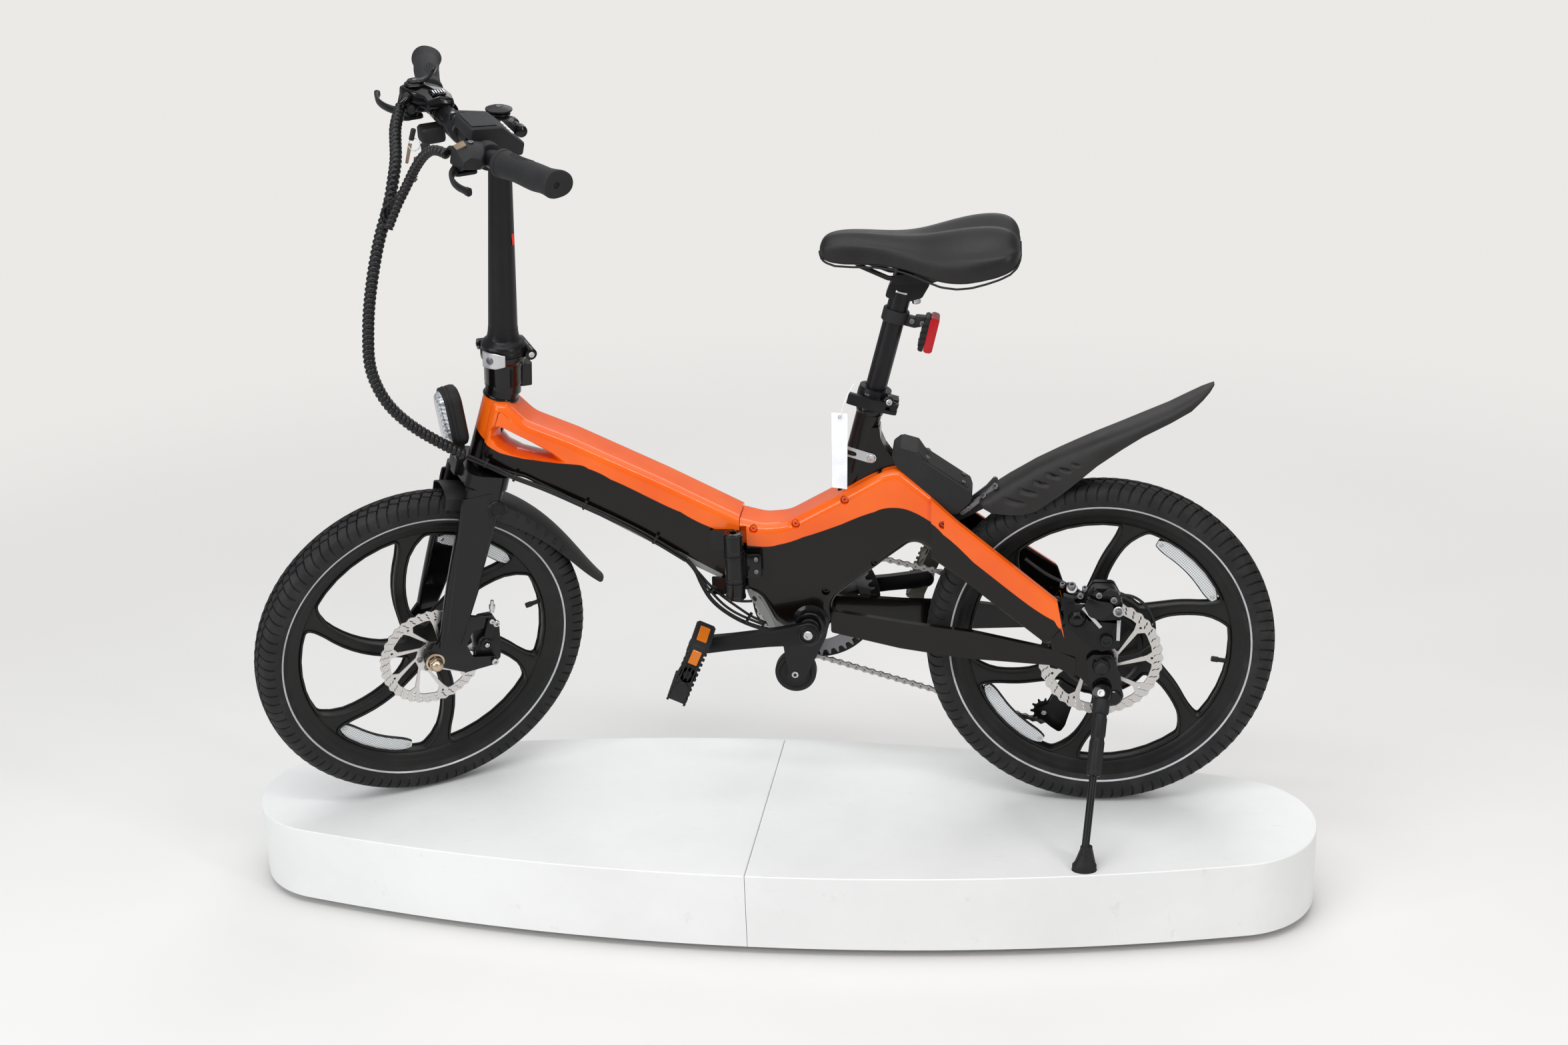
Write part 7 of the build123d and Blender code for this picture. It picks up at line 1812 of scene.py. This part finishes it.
def axle_end():
    piece("rear_axle_cap", spin(bmesh.new(), (505, -81.6, 254.3), LEFT, [(0.01, 0), (14.6, 0), (15, 1),
        (15, 2.6), (13, 3.2), (13, 8.6), (11.6, 10.4), (8, 11.4), (0.01, 11.6)], 48, hexed=(5, 6)), "gloss",
        "rear_frame", 30)
    plate = bmesh.new()
    outline = [(484, 262), (492, 271), (519, 271), (527, 256), (533, 240), (534, 222), (538, 206), (532, 193),
        (520, 190), (502, 196), (492, 212), (487, 236)]
    slab(plate, outline, -85, 5, [6, 8, 8, 8, 10, 10, 8, 8, 8, 8, 12, 12], 1.4)
    spin(plate, (524, -85, 204), LEFT, [(0.01, 0), (11, 0), (11, 2), (9.4, 3.4), (0.01, 3.8)], 36)
    piece("side_stand_plate", plate, "gloss", "rear_frame")


def side_stand():
    """Ribbed sleeve with its collars, the pivot's screw and the rubber foot."""
    axis = Vector((-0.25, -0.87, 0.425)).normalized()
    pivot, ankle = Vector((507, -96, 216)), Vector((480, -224, 22.3))
    down = (ankle - pivot).normalized()
    one, two = basis(down)
    lathe("stand_pivot_cap", "gloss", "kickstand_leg", pivot + axis * 5, axis, [(13.4, -10), (13.8, -8),
        (13.8, 0), (12.4, 2), (9, 2.6), (0.01, 2.8)], capped=False)
    bolts("stand_pivot_bolt", "steel", "kickstand_leg", [(pivot + axis * 7.6, axis, 6, 2.6)])
    sleeve = bmesh.new()
    spin(sleeve, pivot + down * 8, down, [(9.2, 0), (11.6, 2), (12.2, 5), (12.2, 20), (11.4, 22), (9.7, 23),
        (9.7, 26), (10.2, 27), (10.2, 56), (9.6, 57), (9.6, 59), (10.2, 60), (10.2, 108), (9.6, 111),
        (5.6, 112.4)], 48)
    for k in range(14):
        a = 2 * pi * k / 14
        side_way = one * cos(a) + two * sin(a)
        for run in ((36, 62), (70, 112)):
            line = [place(*(pivot + down * d + side_way * 10.1)) for d in run]
            sweep(sleeve, line, lambda along, angle: 0.8, 6)
    piece("stand_sleeve", sleeve, "matte", "kickstand_leg")
    foot = bmesh.new()
    rows = []
    for lift, length, width, back in ((0, 15, 10.5, 0), (1.2, 17.4, 12.4, 0), (8, 17.2, 12, 0.4),
            (11, 14.6, 10.6, 1), (20, 10.4, 9.4, 3), (30, 8.6, 8.4, 4.6), (33, 8.6, 8.4, 5), (34, 7, 7, 5.2)):
        rows.append([(480 + back * 0.6 + length * cos(pi * s / 12),
            -224 + back * 1.35 + width * sin(pi * s / 12), 0.3 + lift) for s in range(24)])
    loft(foot, rows)
    piece("stand_foot", foot, "matte", "kickstand_leg", 40)


def hinge_details():
    """Knuckle bands, end caps and plate screws of the frame hinge."""
    upper, middle = bmesh.new(), bmesh.new()
    pin = (-23, -56)
    for low, high in ((414, 445), (345, 370)):
        spin(upper, (*pin, low), UP, [(13.9, 0), (14.9, 0.6), (14.9, 4), (14.2, 4.6), (14.2, high - low - 4.6),
            (14.9, high - low - 4), (14.9, high - low - 0.6), (13.9, high - low)], 56)
    spin(upper, (*pin, 444.6), UP, [(13.9, 0), (13, 1.6), (9, 2.4), (8.6, 1.4), (0.01, 1.4)], 48)
    spin(upper, (*pin, 345.4), (0, 0, -1), [(13.9, 0), (13, 1.6), (9, 2.4), (0.01, 2.6)], 48)
    piece("hinge_bands", upper, "gloss", "front_frame")
    spin(middle, (*pin, 372), UP, [(13.9, 0), (14.9, 0.6), (14.9, 4), (14.2, 4.6), (14.2, 35.4), (14.9, 36),
        (14.9, 39.4), (13.9, 40)], 56)
    prism(middle, rounded([(-8, -52, 376), (15, -52, 376), (15, -52, 411), (-8, -52, 411)], 3), (0, 3, 0), 1, 2)
    piece("hinge_middle_band", middle, "gloss", "rear_frame")
    bolts("hinge_plate_screws", "dark_steel", "rear_frame", [((8, -52, z), LEFT, 3.4, 1.6) for z in (384, 403)])


def wrap_gap_cables():
    """Thin leads that leave the wrap between its two runs."""
    for k, (reach, drop) in enumerate(((0, 0), (5, 5), (-4, 9), (9, 13), (2, -6))):
        wire(f"loose_lead_{k + 1}", "cable", "handlepost", [(-449, -137, 945 + drop), (-458 - reach, -140,
            958 - drop), (-462 - reach, -134 - k, 944 - drop), (-466, -126, 926 - drop), (-470, -123, 912)],
            1.5, turn=STILL)


M["pale_grey_satin"] = satin_black("pale_grey_satin", (0.24, 0.245, 0.235), 0.36, 0.5)


def bare_strips():
    """Light grey strips under the front beam and before the bottom bracket."""
    piece("beam_edge_strip", slab(bmesh.new(), [(-200, 464), (-125, 421), (-84, 397), (-43, 374), (-46, 368),
        (-84, 387.5), (-125, 412), (-200, 455)], -38.9, 1.6, 0, 0.5, 1), "pale_grey_satin", "front_frame", 30)
    front = bmesh.new()
    left = [(-9, 349), (-5, 338), (3, 326), (11, 312), (18, 299), (22, 290)]
    right = [(-4, 352), (4, 344), (14, 330), (22, 315), (28, 301), (31, 291)]
    slab(front, left + right[::-1], -38.9, 1.6, 2, 0.5, 1)
    piece("bracket_edge_strip", front, "pale_grey_satin", "rear_frame", 30)
    # A near-black oval on the strip stands for its hole: painted shade.
    piece("bracket_edge_hole", loft(bmesh.new(), [stadium((2, -38.95 - h, 336), (0.5, 0, -0.86), (0.86, 0, 0.5),
        8.6 - g, 5.4 - g, 8) for h, g in ((-0.4, 0), (0.06, 0))]), "dark_board", "rear_frame", 0)


def more_hinge_cables():
    """Leads that bow across the hinge below the barrel, with their ties."""
    runs = ([(-98, -44.6, 400), (-87, -45.5, 393), (-73, -46, 368), (-61, -47, 350), (-41, -46, 326),
        (-15, -43, 308), (14, -34, 292)], [(-95, -44.6, 399), (-80, -44, 382), (-62, -44, 358),
        (-42, -43.5, 340), (-22, -42, 332), (-2, -36, 331)], [(-92, -44.6, 398), (-68, -43, 364),
        (-50, -42.5, 345), (-22, -41, 322), (2, -38, 303), (22, -31, 292)], [(-58, -45, 356), (-48, -40, 363),
        (-40, -33, 367)])
    for index, run in enumerate(runs):
        wire(f"hinge_lead_{index + 1}", "cable", "rear_frame", run, 2.0)
    zip_tie("hinge_tie_front", (-60, -45.2, 352), (0.62, 0, -0.78), 6.6, "rear_frame")
    zip_tie("hinge_tie_rear", (-8, -41.5, 306), (0.82, 0, -0.5), 6.2, "rear_frame")


bare_strips()
more_hinge_cables()
rear_guard()
controller()
rear_brake()
axle_end()
side_stand()
hinge_details()
wrap_gap_cables()


# ---------------------------------------------------------------- the beam's window
def merged(bm):
    """The bmesh as a closed mesh that points outwards."""
    bmesh.ops.remove_doubles(bm, verts=bm.verts, dist=1e-6)
    bmesh.ops.recalc_face_normals(bm, faces=bm.faces)
    mesh = bpy.data.meshes.new("closed")
    bm.to_mesh(mesh)
    bm.free()
    return mesh


def beam_window():
    """The window behind the head tube: two flared mouths that meet at a narrow throat."""
    mouth = [(-374, 604), (-357, 603), (-311, 579.5), (-281, 561.5), (-260, 545), (-286, 547), (-313, 551),
        (-343, 559), (-364, 571), (-375, 586)]
    throat = [(-361, 594), (-352, 592), (-318, 572), (-297, 558), (-286, 550), (-300, 552), (-319, 556),
        (-340, 562), (-355, 570), (-363, 581)]
    rings = []
    for y, flare in ((-39, 1), (-35, 0.74), (-28, 0.5), (-16, 0.22), (-4, 0.02), (4, 0.02), (16, 0.22),
            (28, 0.5), (35, 0.74), (39, 1)):
        outline = [(tx + (mx - tx) * flare, y, tz + (mz - tz) * flare - 0.24 * max(0, y)) for (mx, mz),
            (tx, tz) in zip(mouth, throat)]
        rings.append(rounded(outline, [6, 3, 8, 8, 1.5, 8, 8, 8, 8, 8], 3))
    bm = bmesh.new()
    loft(bm, rings)
    source = nodes["front_spine"]
    shell = bmesh.new()
    shell.from_mesh(source.data)
    shell.transform(source.matrix_world)
    tool, body = (bpy.data.objects.new(name, merged(part)) for name, part in (("window_cutter", bm),
        ("beam", shell)))
    for thing in (tool, body):
        bpy.context.scene.collection.objects.link(thing)
    cut = body.modifiers.new("window", "BOOLEAN")
    cut.operation, cut.object, cut.solver = "DIFFERENCE", tool, "EXACT"
    result = bpy.data.meshes.new_from_object(body.evaluated_get(bpy.context.evaluated_depsgraph_get()))
    for thing in (tool, body):
        bpy.data.objects.remove(thing)
    for face in result.polygons:
        face.material_index = 0
    beam = mesh_object("beam_shell", result, "orange_front", "front_frame", 22, ("front_spine",))
    for face in beam.data.polygons:
        face.use_smooth = abs(face.normal.y) < 0.999


beam_window()


# ---------------------------------------------------------------- floor, light and camera
BACKDROP = (0.83, 0.82, 0.80, 1)


def blended(tree, output, kind, share, near):
    """Mix near with the plain backdrop, which only camera and transmission rays see, by share."""
    seen, through = (Val(tree).node("LightPath", output=f"Is {ray} Ray") for ray in ("Camera", "Transmission"))
    share = share * seen.math("ADD", through, clamp=True)
    glow = Val(tree).node(kind, {"Color": BACKDROP})
    both = Val(tree).node("MixShader", {0: share, 1: near, 2: glow})
    tree.links.new(both.socket, tree.nodes[output].inputs[0])


def make_floor():
    """Pale floor near the plinth that fades into the backdrop's own colour."""
    shade = Shade("pale_floor", (0.80, 0.79, 0.77), 0.6)
    shade.set("Base Color", shade.mix(shade.noise(2, 4), (0.76, 0.75, 0.735), (0.80, 0.79, 0.775)))
    x, y = shade.axes()[:2]
    far = (x * x + y * y).math("POWER", 0.5).step(1.0, 3.2)
    near = Val(shade.tree, shade.tree.nodes["Principled BSDF"].outputs[0])
    blended(shade.tree, "Material Output", "Emission", far, near)
    bm = bmesh.new()
    bmesh.ops.create_grid(bm, x_segments=1, y_segments=1, size=40)
    mesh = bpy.data.meshes.new("floor")
    bm.to_mesh(mesh)
    bm.free()
    mesh.materials.append(shade.mat)
    floor = bpy.data.objects.new("floor", mesh)
    bpy.context.scene.collection.objects.link(floor)


def area_light(name, spot, target, size, power, tint=(1, 1, 1)):
    data = bpy.data.lights.new(name, "AREA")
    data.shape, data.size, data.size_y = "RECTANGLE", size[0], size[1]
    data.energy, data.color = power, tint
    lamp = bpy.data.objects.new(name, data)
    lamp.location = spot
    lamp.rotation_euler = (Vector(target) - Vector(spot)).to_track_quat("-Z", "Y").to_euler()
    bpy.context.scene.collection.objects.link(lamp)


make_floor()
area_light("overhead", (0.2, 0.0, 3.8), (0, 0, 0.4), (5.6, 4.6), 105)
area_light("front_fill", (-2.4, -3.2, 2.2), (0, 0, 0.6), (1.8, 1.4), 34)
area_light("right_strip", (2.6, -2.2, 1.9), (0.2, 0, 0.6), (0.22, 1.8), 22)
area_light("top_strip", (-0.2, -1.5, 2.6), (0, 0, 0.5), (2.6, 0.14), 20)
area_light("left_strip", (-2.9, -1.9, 1.5), (-0.1, 0, 0.5), (0.16, 1.7), 18, (0.86, 0.93, 1.0))
area_light("back_rim", (0.5, 2.6, 2.6), (0, 0, 0.5), (2.5, 1.0), 16)

world = bpy.data.worlds.new("studio")
bpy.context.scene.world = world
world.use_nodes = True
sky = world.node_tree.nodes["Background"]
sky.inputs["Color"].default_value, sky.inputs["Strength"].default_value = (0.86, 0.87, 0.9, 1), 0.40
blended(world.node_tree, "World Output", "Background", 1, Val(world.node_tree, sky.outputs[0]))

LENS, SENSOR, EYE = 49.08, 36, Vector((0.3735, -2.9087, 1.68105))
YAW, DIP, ROLL = -0.1124, 0.3625, -0.0378
look = Vector((sin(YAW) * cos(DIP), cos(YAW) * cos(DIP), -sin(DIP)))
level = Vector((cos(YAW), -sin(YAW), 0))
rise = level.cross(look)
right = level * cos(ROLL) + rise * sin(ROLL)
up = rise * cos(ROLL) - level * sin(ROLL)
data = bpy.data.cameras.new("camera")
data.lens, data.sensor_width, data.sensor_fit = LENS, SENSOR, "HORIZONTAL"
camera = bpy.data.objects.new("camera", data)
camera.matrix_world = Matrix.Translation(EYE) @ Matrix((right, up, -look)).transposed().to_4x4()
bpy.context.scene.collection.objects.link(camera)
bpy.context.scene.camera = camera
bpy.context.scene.view_settings.view_transform = "Standard"
